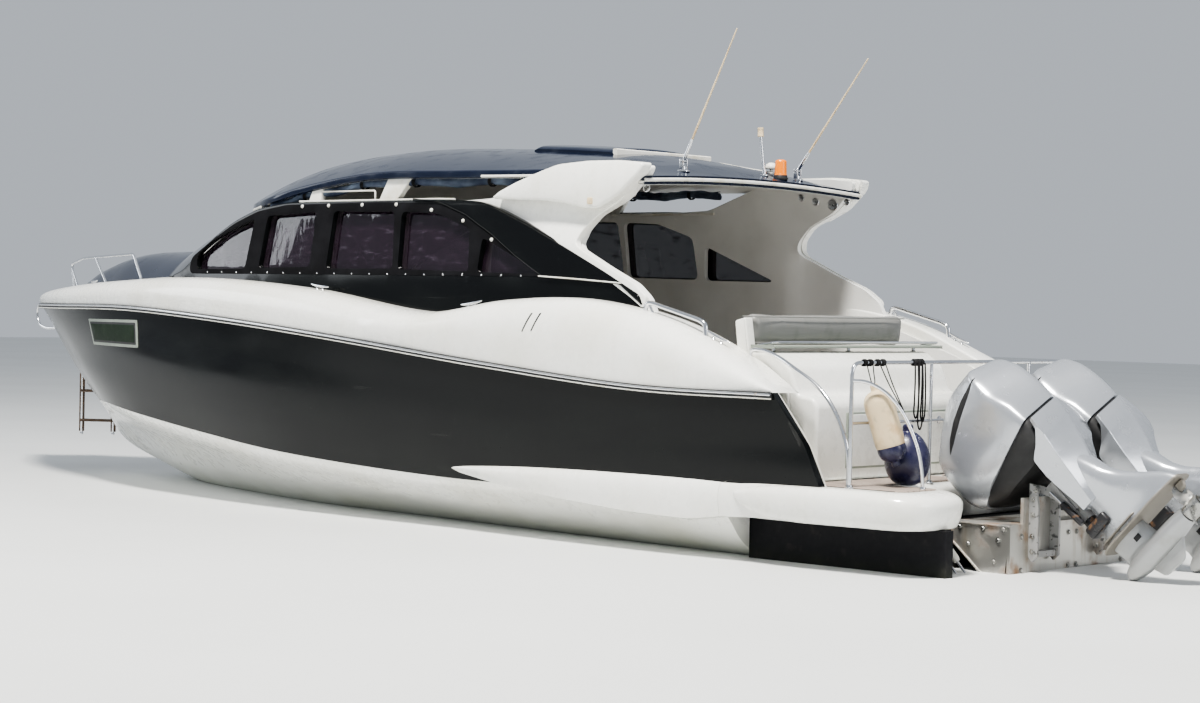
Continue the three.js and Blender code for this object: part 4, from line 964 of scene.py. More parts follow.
for side, label in SIDES:
    loft("platform_tip_" + label, pod_tip(side), white_gelcoat, sharp=RIM_SHARP)
    loft("quarter_fairing_" + label, quarter_fairing(side), white_gelcoat)


def board_panel(name, corners, radius=0.06):
    outline = rounded_outline(corners, radius)
    return stacked(name, outline, [(0, PLATFORM_TOP - 0.002), (0, PLATFORM_TOP + 0.005),
                                   (0.003, PLATFORM_TOP + 0.008)], deck_boards)


for side, label in SIDES:
    board_panel("platform_boards_" + label,
                [(-3.66, side * 0.06), (-3.66, side * 1.50), (-4.47, side * 1.50), (-4.47, side * 1.10),
                 (-4.03, side * 1.10), (-4.03, side * 0.06)])
stacked("cockpit_boards", rounded_outline([(-2.52, -1.3), (-2.52, 1.3), (2.5, 1.3), (2.5, -1.3)], 0.05),
        [(0, SOLE - 0.002), (0, SOLE + 0.003), (0.003, SOLE + 0.005)], deck_boards)
print("platform laid, rim", len(PLATFORM_RIM), "steps")

# %% [markdown]
# The cabin side is a thick black panel with five rounded windows. A panel is made from its outline and
# holes: the edge is rounded by a few rings, and a constrained triangulation fills the face between them,
# with inner points that let it follow the side's curve. The same function makes the wing, the curtain and
# the liner.


# %% Panels with holes
def inside(points, ring):
    """Even-odd rule: a point is inside when a ray along +x crosses the ring an odd number of times."""
    a, b = ring[None], np.roll(ring, -1, 0)[None]
    x, z = points[:, :1], points[:, 1:]
    spans = (a[..., 1] > z) != (b[..., 1] > z)
    cross = a[..., 0] + (z - a[..., 1]) * (b[..., 0] - a[..., 0]) / (b[..., 1] - a[..., 1] + 1e-15)
    return (np.sum(spans & (x < cross), axis=1) % 2) == 1


def near(points, ring, reach):
    a, b = ring[None], np.roll(ring, -1, 0)[None]
    run = b - a
    t = np.clip(np.sum((points[:, None] - a) * run, -1) / (np.sum(run**2, -1) + 1e-15), 0, 1)
    return np.min(np.linalg.norm(points[:, None] - a - t[..., None] * run, axis=-1), axis=1) < reach


def filled(rings, spacing=0.09):
    """Triangles over the first ring less the others: points on a grid inside, joined without crossing rings.
    The rings are rounded first as the joiner rounds them, so the test of inside agrees with it on
    slivers."""
    rings = [ring.astype(np.float32).astype(float) for ring in rings]
    low, high = rings[0].min(0), rings[0].max(0)
    grid = np.stack(np.meshgrid(np.arange(low[0], high[0], spacing), np.arange(low[1], high[1], spacing)),
                    -1)
    grid = grid.reshape(-1, 2)
    keep = inside(grid, rings[0])
    for ring in rings[1:]:
        keep &= ~inside(grid, ring)
    for ring in rings:
        keep &= ~near(grid, ring, spacing * 0.4)
    points = np.vstack([*rings, grid[keep]])
    edges, start = [], 0
    for ring in rings:
        index = np.arange(len(ring))
        edges += np.column_stack([start + index, start + (index + 1) % len(ring)]).tolist()
        start += len(ring)
    found = delaunay_2d_cdt([Vector(p) for p in points.tolist()], edges, [], 0, 0.0)
    points, triangles = np.array([list(v) for v in found[0]]), np.array(found[2])
    middle = points[triangles].mean(1)
    keep = inside(middle, rings[0])
    for ring in rings[1:]:
        keep &= ~inside(middle, ring)
    return points, triangles[keep]


def side_y(x, z):
    """The cabin side's outer face: it draws in ahead of x = 1.5 and leans in above z = 1.75."""
    ahead = np.maximum(0, x - 1.5) / 1.8
    return 1.4 - 0.11 * ahead**2 - 0.12 * np.maximum(0, z - 1.75)


def panel(name, outline, holes, place, thick, finish, edge=0.008, **more):
    """A plate on any surface. place takes two flat coordinates and a depth below the face, as arrays, and
    gives points; edge is the radius of the rounded outer edges."""
    bends = np.linspace(0, np.pi / 2, 4)
    loops = [(outline, 1)] + [(hole, -1) for hole in holes]
    face = filled([inset(ring, sign * edge) for ring, sign in loops])
    back = filled([ring for ring, _ in loops])
    points, faces, start = [], [], 0
    for flat, triangles, depth in ((*face, 0.0), (*back, thick)):
        points.append(place(flat[:, 0], flat[:, 1], depth))
        faces += (triangles + start).tolist()
        start += len(flat)
    for ring, sign in loops:
        rows = [(inset(ring, sign * edge * (1 - math.sin(a))), edge * (1 - math.cos(a))) for a in bends]
        rows.append((ring, thick))
        points += [place(flat[:, 0], flat[:, 1], depth) for flat, depth in rows]
        faces += quads(len(rows), len(ring), False, True, start)
        start += len(ring) * len(rows)
    return finish_piece(name, mesh_of(name, np.vstack(points), faces), finish, **more)


def side_panel(name, outline, holes, out, thick, side, finish, taper=None, **more):
    """A panel on the cabin side. out is how far its face stands off the side: a number or a function. taper
    is a share of the thickness, over x and z, where the panel isn't equally thick."""
    offset = out if callable(out) else (lambda x, z: out)

    def place(x, z, depth):
        share = taper(x, z) if taper else 1.0
        return np.column_stack([x, side * (side_y(x, z) + offset(x, z) - depth * share), z])

    return panel(name, outline, holes, place, thick, finish, **more)


SIDE_OUTLINE = [(3.33, 1.5), (3.33, 1.85), (3.16, 1.888), (2.9, 2.057), (2.69, 2.192), (2.44, 2.312),
                (2.14, 2.408), (1.77, 2.452), (0.67, 2.463), (-0.08, 2.455), (-0.43, 2.438), (-0.64, 2.382),
                (-0.95, 2.269), (-1.45, 2.066), (-1.78, 1.926), (-2.16, 1.755), (-2.19, 1.5)]
WINDOWS = [
    [(2.925, 1.9), (2.93, 2.03), (2.72, 2.15), (2.49, 2.234), (2.157, 2.33), (2.22, 1.91)],
    [(2.057, 1.917), (2.005, 2.35), (1.387, 2.381), (1.403, 1.93)],
    [(1.219, 1.918), (1.194, 2.382), (0.477, 2.376), (0.436, 1.92)],
    [(0.391, 1.918), (0.406, 2.372), (0.01, 2.356), (-0.365, 2.242), (-0.401, 1.907)],
    [(-0.478, 1.901), (-0.501, 2.174), (-1.193, 1.895)],
]
side_outline = rounded_outline(SIDE_OUTLINE, 0.10)
windows = [rounded_outline(window, 0.05) for window in WINDOWS]
for side, label in SIDES:
    side_panel("cabin_panel_" + label, side_outline, windows, 0.0, 0.05, side, black_gelcoat, edge=0.012,
               replaces=["cabin_side_" + label])
print("cabin panels cut,", len(windows), "windows a side")

# %% [markdown]
# A fabric curtain is stretched over the panel's forward part and holds the tinted vinyl panes. It is a thin
# panel with the same holes a little smaller. White domed studs hold its top edge, and small turn-buttons its
# foot. A raised, glossy moulding takes over where the curtain ends and runs down to the deck.

# %% Side curtain, panes, studs and the raised moulding
CURTAIN = [(3.02, 1.872), (3.02, 2.0), (2.70, 2.165), (2.44, 2.285), (2.13, 2.385), (1.77, 2.432),
           (0.67, 2.443), (-0.02, 2.425), (-0.32, 2.315), (-0.63, 2.165), (-0.88, 2.02), (-1.16, 1.882)]
MOULDING = [(0.30, 2.456), (-0.08, 2.450), (-0.43, 2.430), (-0.64, 2.374), (-0.95, 2.260), (-1.45, 2.057),
            (-1.78, 1.917), (-2.12, 1.762), (-2.16, 1.68), (-1.92, 1.832), (-1.17, 1.874), (-0.86, 2.03),
            (-0.60, 2.185), (-0.30, 2.335), (0.0, 2.432)]
STUDS = [(1.57, 2.418), (1.255, 2.421), (0.86, 2.423), (0.47, 2.422), (0.072, 2.376), (-0.283, 2.292),
         (-0.606, 2.150)]
PANE_OUTLINE = [(2.98, 1.862), (2.98, 2.0), (2.5, 2.262), (2.15, 2.362), (1.5, 2.415), (0.0, 2.4),
                (-0.4, 2.285), (-1.3, 1.875), (-1.3, 1.862)]
curtain_outline = rounded_outline(CURTAIN, 0.06)
curtain_holes = [inset(window, 0.006) for window in windows]
pane_outline = rounded_outline(PANE_OUTLINE, 0.03)


def flat_area(outline, holes=()):
    """Half the sum of the cross products of neighbouring points, less the same of each hole."""
    cross = [np.sum(ring[:, 0] * np.roll(ring[:, 1], -1) - np.roll(ring[:, 0], -1) * ring[:, 1]) / 2
             for ring in (outline, *holes)]
    return float(abs(cross[0]) - sum(abs(c) for c in cross[1:]))


def aft_share(x):
    """0 ahead of x = 0.2 and 1 aft of x = -0.3, where the cabin's upper side steps inboard."""
    return np.clip((0.2 - x) / 0.5, 0, 1)


def ripples(x, z):
    """The cloth stands off the panel by a few millimetres, drawn in between its fastenings."""
    return 0.004 + 0.0022 * np.sin(11 * x + 3 * z) * np.sin(7 * z + 1.3 * x)


def domed_stud(x, z, side, radius, proud):
    """A half ball, flattened: a lathe about the side's own outward direction."""
    angle = np.linspace(0, np.pi / 2, 6)
    profile = np.column_stack([radius * np.cos(angle), proud * np.sin(angle)])
    return lathe_rings(np.vstack([[radius, -0.004], profile]), (x, side * (side_y(x, z) + 0.006), z),
                       (0, side, 0.12), 14)


# The curtain is declared as a strip of this width, as long as its cut area needs: its outline's own box
# would be mostly the openings.
STRIP_WIDE = 0.10
for side, label in SIDES:
    curtain = side_panel("curtain_" + label, curtain_outline, curtain_holes, ripples, 0.003, side,
                         black_canvas, edge=0.001)
    pane = side_panel("panes_" + label, pane_outline, [], -0.052, 0.002, side,
                      clear_sheet, edge=0.001, replaces=["window_sheet_" + label])
    strips = flat_area(curtain_outline, curtain_holes) / STRIP_WIDE
    pane_long, pane_tall = pane_outline.max(0) - pane_outline.min(0)
    flat_area(pane_outline)
    side_panel("raised_moulding_" + label, rounded_outline(MOULDING, 0.03), [], 0.014, 0.03, side,
               black_gelcoat, edge=0.012)
    parts_of("studs_" + label, [domed_stud(x, z, side, 0.0145, 0.011) for x, z in STUDS], white_plastic)
    parts_of("turn_buttons_" + label, [domed_stud(x, 1.886, side, 0.0075, 0.007)
                                       for x in np.arange(-0.95, 2.9, 0.205)], polished_steel)
    strip = [(x, side * (side_y(x, z) + 0.02), z)
             for x, z in ((-1.14, 1.884), (-1.5, 1.868), (-1.95, 1.842))]
    parts_of("moulding_trim_" + label, [tube_rings(rounded_path(strip, 0.1), 0.005)], white_plastic)
print("curtain", len(curtain.data.polygons), "faces; area",
      round(sum(p.area for p in curtain.data.polygons) / 2, 2))

# %% [markdown]
# The wing behind the side window is a sculpted white moulding: a full upper lobe with a crisp lower edge, a
# scooped panel below it, and a thick edge that faces aft. Two panels on the same outline give it: the lobe
# stands proud, the scoop is sunk, and the step between them is the crisp line.

# %% Wings
WING = [(-0.15, 2.4), (-0.58, 2.475), (-0.83, 2.56), (-1.08, 2.643), (-1.233, 2.691), (-1.53, 2.712),
        (-1.82, 2.71), (-2.05, 2.686), (-2.03, 2.62), (-1.83, 2.433), (-1.59, 2.32), (-1.475, 2.21),
        (-1.45, 2.13), (-1.49, 2.09), (-1.78, 1.958), (-2.06, 1.842), (-2.19, 1.745), (-2.16, 1.66),
        (-2.04, 1.74), (-1.75, 1.89), (-1.4, 2.03), (-0.6, 2.34)]
LOBE = [(-0.60, 2.452), (-0.66, 2.50), (-0.83, 2.568), (-1.08, 2.651), (-1.233, 2.696), (-1.53, 2.716),
        (-1.82, 2.714), (-2.075, 2.692), (-2.04, 2.615), (-1.86, 2.46), (-1.66, 2.368), (-1.5, 2.378),
        (-1.3, 2.418), (-1.1, 2.436), (-0.85, 2.440)]


def scoop(x, z):
    """Sunk below the lobe, deepest halfway down, and flush again along the black panel's edge."""
    share = np.clip((z - 2.10) / 0.33, 0, 1) * np.clip((x + 2.0) / 0.5, 0, 1)
    return 0.004 - 0.062 * np.sin(np.pi * share * 0.62) ** 1.5


def lobe_swell(x, z):
    return 0.042 + 0.020 * np.clip(1 - ((z - 2.56) / 0.16) ** 2, 0, 1)


def leg_share(x, z):
    """1 on the wing's slim leg, which runs down along the black panel, and 0 on the wing itself."""
    return np.clip((-1.35 - x) / 0.15, 0, 1) * np.clip((2.17 - z) / 0.1, 0, 1)


def leg_thinning(x, z):
    return 1 - 0.62 * leg_share(x, z)


for side, label in SIDES:
    side_panel("wing_scoop_" + label, rounded_outline(WING, 0.05), [], scoop, 0.07, side, white_gelcoat,
               edge=0.012, taper=leg_thinning, replaces=["wing_" + label])
    side_panel("wing_lobe_" + label, rounded_outline(LOBE, 0.05), [], lobe_swell, 0.10, side, white_gelcoat,
               edge=0.022)
    lamp = (-1.60, side * (side_y(-1.60, 2.425) + 0.05), 2.425)
    low = np.array(lamp) - (0.024, 0.02, 0.024)
    parts_of("side_lamp_" + label, [soft_box(low, low + (0.048, 0.032, 0.048), 0.008, 3)], cream_vinyl)
print("wings made")

# %% [markdown]
# The hardtop is crowned across and drawn down at the front. Rows of four driving numbers (place, half width,
# edge and crown heights) go through the same smooth rule, and each row is a parabola. Its underside is a
# dull white moulding, laid just under the shell so that the two finishes stay apart.

# %% Hardtop
ROOF = np.array([(-2.02, 1.262, 2.60, 2.64), (-1.7, 1.262, 2.64, 2.74), (-1.2, 1.265, 2.662, 2.83),
                 (-0.6, 1.275, 2.668, 2.875), (-0.15, 1.30, 2.672, 2.898), (0.8, 1.30, 2.672, 2.93),
                 (1.6, 1.30, 2.58, 2.905), (2.0, 1.28, 2.505, 2.865), (2.4, 1.09, 2.47, 2.795),
                 (2.8, 0.80, 2.47, 2.70), (3.1, 0.50, 2.48, 2.60), (3.28, 0.16, 2.492, 2.52)])
ROOF_THICK = 0.06


def roof_rows(first, last, count):
    """Rows of the roof table, smoothed along x between two of its own rows."""
    return table_rows(ROOF, np.linspace(first, last, count))


def roof_surface(rows, across):
    """Height = edge + (crown - edge)(1 - s squared) at a share s of the half width."""
    x, half, edge, crown = (rows[:, i, None] for i in range(4))
    return np.stack([np.broadcast_to(x, (len(rows), len(across))), half * across,
                     edge + (crown - edge) * (1 - across**2)], -1)


def roof_shell(name, first, last, count, node):
    across = np.sin(np.linspace(-1, 1, 49) * np.pi / 2)
    rows = roof_rows(first, last, count)
    top = roof_surface(rows, across)
    below = top[:, ::-1] * (1, 0.994, 1) - (0, 0, ROOF_THICK)
    lip = np.linspace(0, np.pi, 5)[1:-1]
    end = top[:, -1:] + np.stack([0 * lip, 0.012 * np.sin(lip), -ROOF_THICK * (1 - np.cos(lip)) / 2], -1)
    ring = np.concatenate([top, end, below, (end * (1, -1, 1))[:, ::-1]], axis=1)
    return loft(name, ring, navy_gelcoat, replaces=[node])


roof_shell("roof_front", 4, 11, 110, "roof_fore")
roof_shell("roof_back", 0, 4, 70, "roof_aft")


def roof_lining():
    across = np.linspace(-0.985, 0.985, 41)
    top = roof_surface(roof_rows(0.05, 10.6, 120), across) - (0, 0, ROOF_THICK + 0.001)
    low = top[:, ::-1] - (0, 0, 0.006)
    return np.concatenate([top, low], axis=1)


loft("roof_lining", roof_lining(), inner_white, slot="white_plastic")


def roof_point(x, y, lift=0.0):
    """A point on the hardtop's upper face, lifted by a distance."""
    half, edge, crown = (np.interp(x, ROOF[:, 0], ROOF[:, i]) for i in (1, 2, 3))
    return np.array([x, y, edge + (crown - edge) * (1 - (y / half) ** 2) + lift])


def roof_trims():
    """White beads along the aft edge and the lower side edges."""
    aft = roof_surface(roof_rows(0, 0.02, 2), np.linspace(-1, 1, 41))[0] + (-0.006, 0, -0.028)
    shapes = [tube_rings(aft, 0.013, 10)]
    for side, _ in SIDES:
        rows = roof_rows(7.6, 10.9, 50)
        edge = roof_surface(rows, np.array([side * 1.0]))[:, 0] + (0, 0, -0.052)
        shapes.append(tube_rings(edge, 0.014, 10))
        rows = roof_rows(0, 3.4, 40)
        edge = roof_surface(rows, np.array([side * 1.0]))[:, 0] + (0, side * 0.008, -0.045)
        shapes.append(tube_rings(edge, 0.010, 10))
    return shapes


parts_of("roof_trims", roof_trims(), white_plastic)
print("hardtop spans", ROOF[0, 0], "to", ROOF[-1, 0])

# %% [markdown]
# The dark trunk on the foredeck and the wraparound screen complete the cabin's front. The screen's foot and
# head are two parabolas in plan; the glass is the surface between them, which swells out a little.

# %% Trunk and windscreen
TRUNK = np.array([(3.38, 1.13, 1.70, 2.07), (3.6, 1.13, 1.70, 2.08), (4.3, 0.90, 1.72, 2.085),
                  (4.9, 0.68, 1.72, 2.07), (5.3, 0.52, 1.70, 2.02), (5.82, 0.30, 1.69, 1.905),
                  (6.15, 0.12, 1.69, 1.80)])


def trunk_rings():
    """Flat-topped sections: height = edge + (crown - edge)(1 - s to the power 3.4)."""
    rows = table_rows(TRUNK, np.linspace(0, len(TRUNK) - 1, 90))
    x, half, edge, crown = (rows[:, i, None] for i in range(4))
    s = np.sin(np.linspace(-1, 1, 53) * np.pi / 2)
    top = np.stack([np.broadcast_to(x, (90, 53)), half * s, edge + (crown - edge) * (1 - np.abs(s) ** 3.4)],
                   -1)
    foot = top[:, [-1, 0]] * (1, 1, 0) + (0, 0, 1.62)
    return np.concatenate([top, foot], axis=1)


loft("trunk_skin", trunk_rings(), navy_gelcoat, replaces=["foredeck_trunk"])


def screen_line(foot, t):
    """The foot and the head of the glass: parabolas in plan, at a share t of the half width."""
    if foot:
        return np.stack([4.6 - 1.4 * t**2, 1.225 * t, 1.85 + 0 * t], -1)
    return np.stack([3.23 - 1.31 * t**2, 1.195 * t, 2.46 + 0 * t], -1)


def screen_rings():
    t = np.linspace(-1, 1, 81)
    foot, head = screen_line(True, t), screen_line(False, t)
    s = np.linspace(0, 1, 15)[:, None, None]
    face = foot + (head - foot) * s + np.array([1, 0, 0.4]) * 0.05 * np.sin(np.pi * s)
    back = face[::-1] + (-0.045, 0, 0)
    return np.concatenate([face, back]).transpose(1, 0, 2)


loft("windscreen_glass", screen_rings(), dark_glass, replaces=["windscreen"])
print("cabin front made")

# %% [markdown]
# The two outboards are tilted up, so all of their pieces are drawn upright in the engine's own frame
# (forward, to port, up from the tilt axis) and turned by one function. The cowl is a stack of superellipses:
# a power of 2 is an ellipse, and higher powers square the corners. Its lower edge rises aft, which bares a
# black pan.

# %% The engine's own frame and its cowl
TILT = math.radians(47.5)
ENGINE_Y, PIVOT_X, PIVOT_Z = 0.40, -4.80, 0.54
COWL = np.array([(0.07, 0.20, -0.40, 0.215), (0.13, 0.325, -0.45, 0.275), (0.22, 0.385, -0.475, 0.300),
                 (0.33, 0.40, -0.49, 0.310), (0.48, 0.395, -0.498, 0.312), (0.585, 0.365, -0.488, 0.308),
                 (0.64, 0.30, -0.478, 0.302), (0.70, 0.222, -0.462, 0.292), (0.75, 0.15, -0.44, 0.278),
                 (0.825, 0.04, -0.392, 0.240), (0.862, -0.06, -0.34, 0.165), (0.872, -0.16, -0.27, 0.06)])
cowl_fine = table_rows(COWL, np.linspace(0, len(COWL) - 1, 300))
COWL_POWER = 4.6


def tilted(points, side):
    """From the engine's frame to the boat's: turned about the tilt axis by the tilt angle."""
    points = np.asarray(points, float)
    a, y, h = points[..., 0], points[..., 1], points[..., 2]
    return np.stack([PIVOT_X + a * math.cos(TILT) + h * math.sin(TILT), side * ENGINE_Y + y,
                     PIVOT_Z - a * math.sin(TILT) + h * math.cos(TILT)], -1)


def superellipse(h, front, rear, half, turn, power=COWL_POWER):
    """Points where (a / reach) to the power plus (y / half) to the power is one; all arrays may
    broadcast."""
    c, s = np.cos(turn), np.sin(turn)
    a = (front + rear) / 2 + (front - rear) / 2 * np.sign(c) * np.abs(c) ** (2 / power)
    y = half * np.sign(s) * np.abs(s) ** (2 / power)
    return np.stack(np.broadcast_arrays(a, y, h), -1)


def cowl_at(h):
    return tuple(np.interp(h, cowl_fine[:, 0], cowl_fine[:, i]) for i in (1, 2, 3))


CREASE = np.array([(0.07, 0.74), (0.27, 0.743), (0.436, 0.655), (0.64, 0.47), (0.75, 0.40), (0.872, 0.36)])


def crease_at(h, front, rear):
    """Where the flat side turns into the rear face: a share of the way from the middle to the ridge."""
    middle = (front + rear) / 2
    return middle + np.interp(h, CREASE[:, 0], CREASE[:, 1]) * (rear - middle)


def cowl_side(a, h):
    """The cowl's half width at a place on its side, from the same sections turned round."""
    front, rear, half = cowl_at(h)
    middle = (front + rear) / 2
    share = np.clip((a - middle) / (front - middle), 0, 0.999)
    crease = crease_at(h, front, rear)
    behind = np.clip((crease - a) / (crease - rear), 0, 1)
    return half * (1 - share**COWL_POWER) ** (1 / COWL_POWER) * (1 - behind)


def corner_weights(cuts=(0.16, 0.10, 0.16), steps=7, along=5):
    """How much each of five corners counts at each point of a path through them with rounded corners."""
    corners = np.eye(5)
    t = np.linspace(0, 1, steps)[:, None]
    parts, last = [], corners[0]
    for i, cut in zip((1, 2, 3), cuts):
        start = corners[i] + cut * (corners[i - 1] - corners[i])
        end = corners[i] + cut * (corners[i + 1] - corners[i])
        straight = last + (start - last) * np.linspace(0, 1, along, endpoint=False)[:, None]
        parts += [straight, (1 - t) ** 2 * start + 2 * t * (1 - t) * corners[i] + t**2 * end]
        last = end
    parts.append(last + (corners[4] - last) * np.linspace(0, 1, along)[1:-1, None])
    return np.vstack(parts)


REAR_PATH = corner_weights()
FRONT_TURN = np.linspace(-np.pi / 2, np.pi / 2, 49)


def cowl_rings(low_front, low_rear, top, share, shrink=0.0):
    """Sections from a lower edge up to a height: a rounded front, flat sides, and a rear face that is folded
    along a central ridge. The lower edge has its own height at the side, at each crease and at the ridge."""
    low = np.concatenate([low_front[:-1], REAR_PATH @ np.array(low_rear)])[None]
    h = low + (top - low) * share[:, None]
    front, rear, half = cowl_at(h)
    front, rear, half = front - shrink, rear + shrink, half - shrink
    middle, crease = (front + rear) / 2, crease_at(h, front, rear)
    c, s = np.cos(FRONT_TURN[:-1])[None], np.sin(FRONT_TURN[:-1])[None]
    n = len(FRONT_TURN) - 1
    bow = np.stack([middle[:, :n] + (front - middle)[:, :n] * np.abs(c) ** (2 / COWL_POWER),
                    half[:, :n] * np.sign(s) * np.abs(s) ** (2 / COWL_POWER), h[:, :n]], -1)
    corners_a = np.stack([middle, crease, rear, crease, middle], -1)[:, n:]
    corners_y = np.stack([half, half, 0 * half, -half, -half], -1)[:, n:]
    stern = np.stack([(corners_a * REAR_PATH).sum(-1), (corners_y * REAR_PATH).sum(-1), h[:, n:]], -1)
    return np.concatenate([bow, stern], axis=1)


def upper_cowl(side):
    """From the lower edge, 0.11 high at the front, 0.28 at the creases and 0.38 at the ridge, to the
    crown."""
    low_front = np.interp(np.cos(FRONT_TURN), [0, 0.05, 0.33, 1], [0.207, 0.185, 0.138, 0.114])
    share = np.linspace(0, 1, 46) ** 0.85
    return tilted(cowl_rings(low_front, (0.207, 0.282, 0.376, 0.282, 0.207), 0.8718, share), side)


def cowl_pan(side):
    low = 0.07 + 0 * FRONT_TURN
    return tilted(cowl_rings(low, (0.07,) * 5, 0.42, np.linspace(0, 1, 18), 0.012), side)


SLIT = [(-0.29, 0.772), (-0.11, 0.725), (0.03, 0.665), (0.14, 0.592), (0.215, 0.512), (0.12, 0.556),
        (-0.03, 0.636), (-0.19, 0.708)]


def on_cowl(side, face, out):
    """Places a flat (a, h) pattern on the cowl's port (+1) or starboard (-1) face, standing off by out."""
    def place(a, h, depth):
        return tilted(np.stack([a, face * (cowl_side(a, h) + out - depth), h], -1), side)
    return place


for side, label in SIDES:
    body = "steer_" + label
    loft("cowl_top_" + label, upper_cowl(side), silver_paint, body=body,
         replaces=["outboard_cowl_" + label], sharp=math.radians(40))
    loft("cowl_pan_" + label, cowl_pan(side), dark_plastic, body=body)
    for face, hand in ((1, "left"), (-1, "right")):
        panel("air_slit_" + hand + "_" + label, rounded_outline(SLIT, 0.03, spacing=0.02), [],
              on_cowl(side, face, 0.0015), 0.02, dark_plastic, edge=0.004, body=body)
print("cowls: crown at", tilted([-0.21, 0, 0.872], 1).round(2))

# %% [markdown]
# Behind the powerhead a silver cover runs down the leg, creased along its middle like a keel. Its rows give
# the front, side and ridge of each section, and the ridge is kept sharp. The leg below is a rounder loft,
# and the lower unit is a bullet with a fin. All of it turns with the steering.

# %% Rear cover, leg and lower unit
COVER = np.array([  # front, side aft, half width, side height, ridge, ridge height
    (-0.395, -0.418, 0.298, 0.258, -0.506, 0.350), (-0.384, -0.414, 0.300, 0.190, -0.500, 0.285),
    (-0.305, -0.402, 0.286, 0.117, -0.488, 0.205), (-0.212, -0.380, 0.262, 0.065, -0.472, 0.125),
    (-0.188, -0.345, 0.220, -0.050, -0.448, 0.000), (-0.180, -0.312, 0.172, -0.160, -0.412, -0.120),
    (-0.180, -0.278, 0.128, -0.270, -0.370, -0.240), (-0.178, -0.262, 0.106, -0.350, -0.345, -0.335)])


def rear_cover(side):
    """Sections of nine points, from the port front corner round the ridge to the starboard one."""
    front, aft, half, level, ridge, top = table_columns(COVER, np.linspace(0, len(COVER) - 1, 44))
    swell = 0.006
    port = [(front, half * 0.985, level), (aft, half, level),
            ((aft * 0.97 + ridge * 0.03), half * 0.985, level),
            ((aft + ridge) / 2 - swell, half * 0.52, (level + top) / 2), (ridge, 0.012 + 0 * ridge, top)]
    mirror = [(a, -y, h) for a, y, h in port[::-1]]
    return tilted(np.stack([np.stack(part, -1) for part in port + mirror], 1), side)


MIDSECTION = np.array([(-0.05, -0.178, -0.405, 0.150), (-0.12, -0.178, -0.425, 0.125),
                       (-0.23, -0.178, -0.459, 0.098), (-0.32, -0.178, -0.511, 0.082),
                       (-0.43, -0.176, -0.612, 0.070), (-0.50, -0.150, -0.690, 0.064),
                       (-0.57, -0.122, -0.755, 0.060), (-0.615, -0.108, -0.782, 0.062),
                       (-0.640, -0.10, -0.79, 0.085)])
STRUT = np.array([(-0.64, -0.11, -0.40, 0.047), (-0.70, -0.118, -0.41, 0.040), (-0.76, -0.125, -0.42, 0.040),
                  (-0.80, -0.12, -0.44, 0.052), (-0.84, -0.10, -0.47, 0.066)])
PROP_A, PROP_H = -0.6603, -0.85


def stacked_ellipses(table, count, around, power):
    """Superellipse sections through a table of height, front, rear and half width."""
    part = [column[:, None] for column in table_columns(table, np.linspace(0, len(table) - 1, count))]
    return superellipse(*part, full_turn(around)[None], power)


def plate_rings(outline, rise, thick):
    """A level plate in the engine's frame: rounded edges above and below."""
    flat = rounded_outline(outline, 0.04, spacing=0.03)
    rows = [(0.006, 0), (0.0015, 0.0015), (0, 0.006), (0, thick - 0.006), (0.0015, thick - 0.0015),
            (0.006, thick)]
    return layers(flat, [(d, rise + z) for d, z in rows])


def fin_rings(outline, half):
    """An upright fin on the centreline, thin at its rounded edge."""
    flat = rounded_outline(outline, 0.03, spacing=0.03)
    rows = [(0.008, -half), (0.002, -half * 0.55), (0, 0), (0.002, half * 0.55), (0.008, half)]
    return layers(flat, rows, across=True)


TORPEDO = [(0.0, 0.041), (0.02, 0.034), (0.042, 0.012), (0.060, -0.035), (0.072, -0.10), (0.0765, -0.17),
           (0.0765, -0.38), (0.073, -0.46), (0.066, -0.52), (0.060, -0.556), (0.0, -0.558)]
ANODES = [(-0.30, 0.05), (-0.46, 0.055), (-0.66, 0.05)]

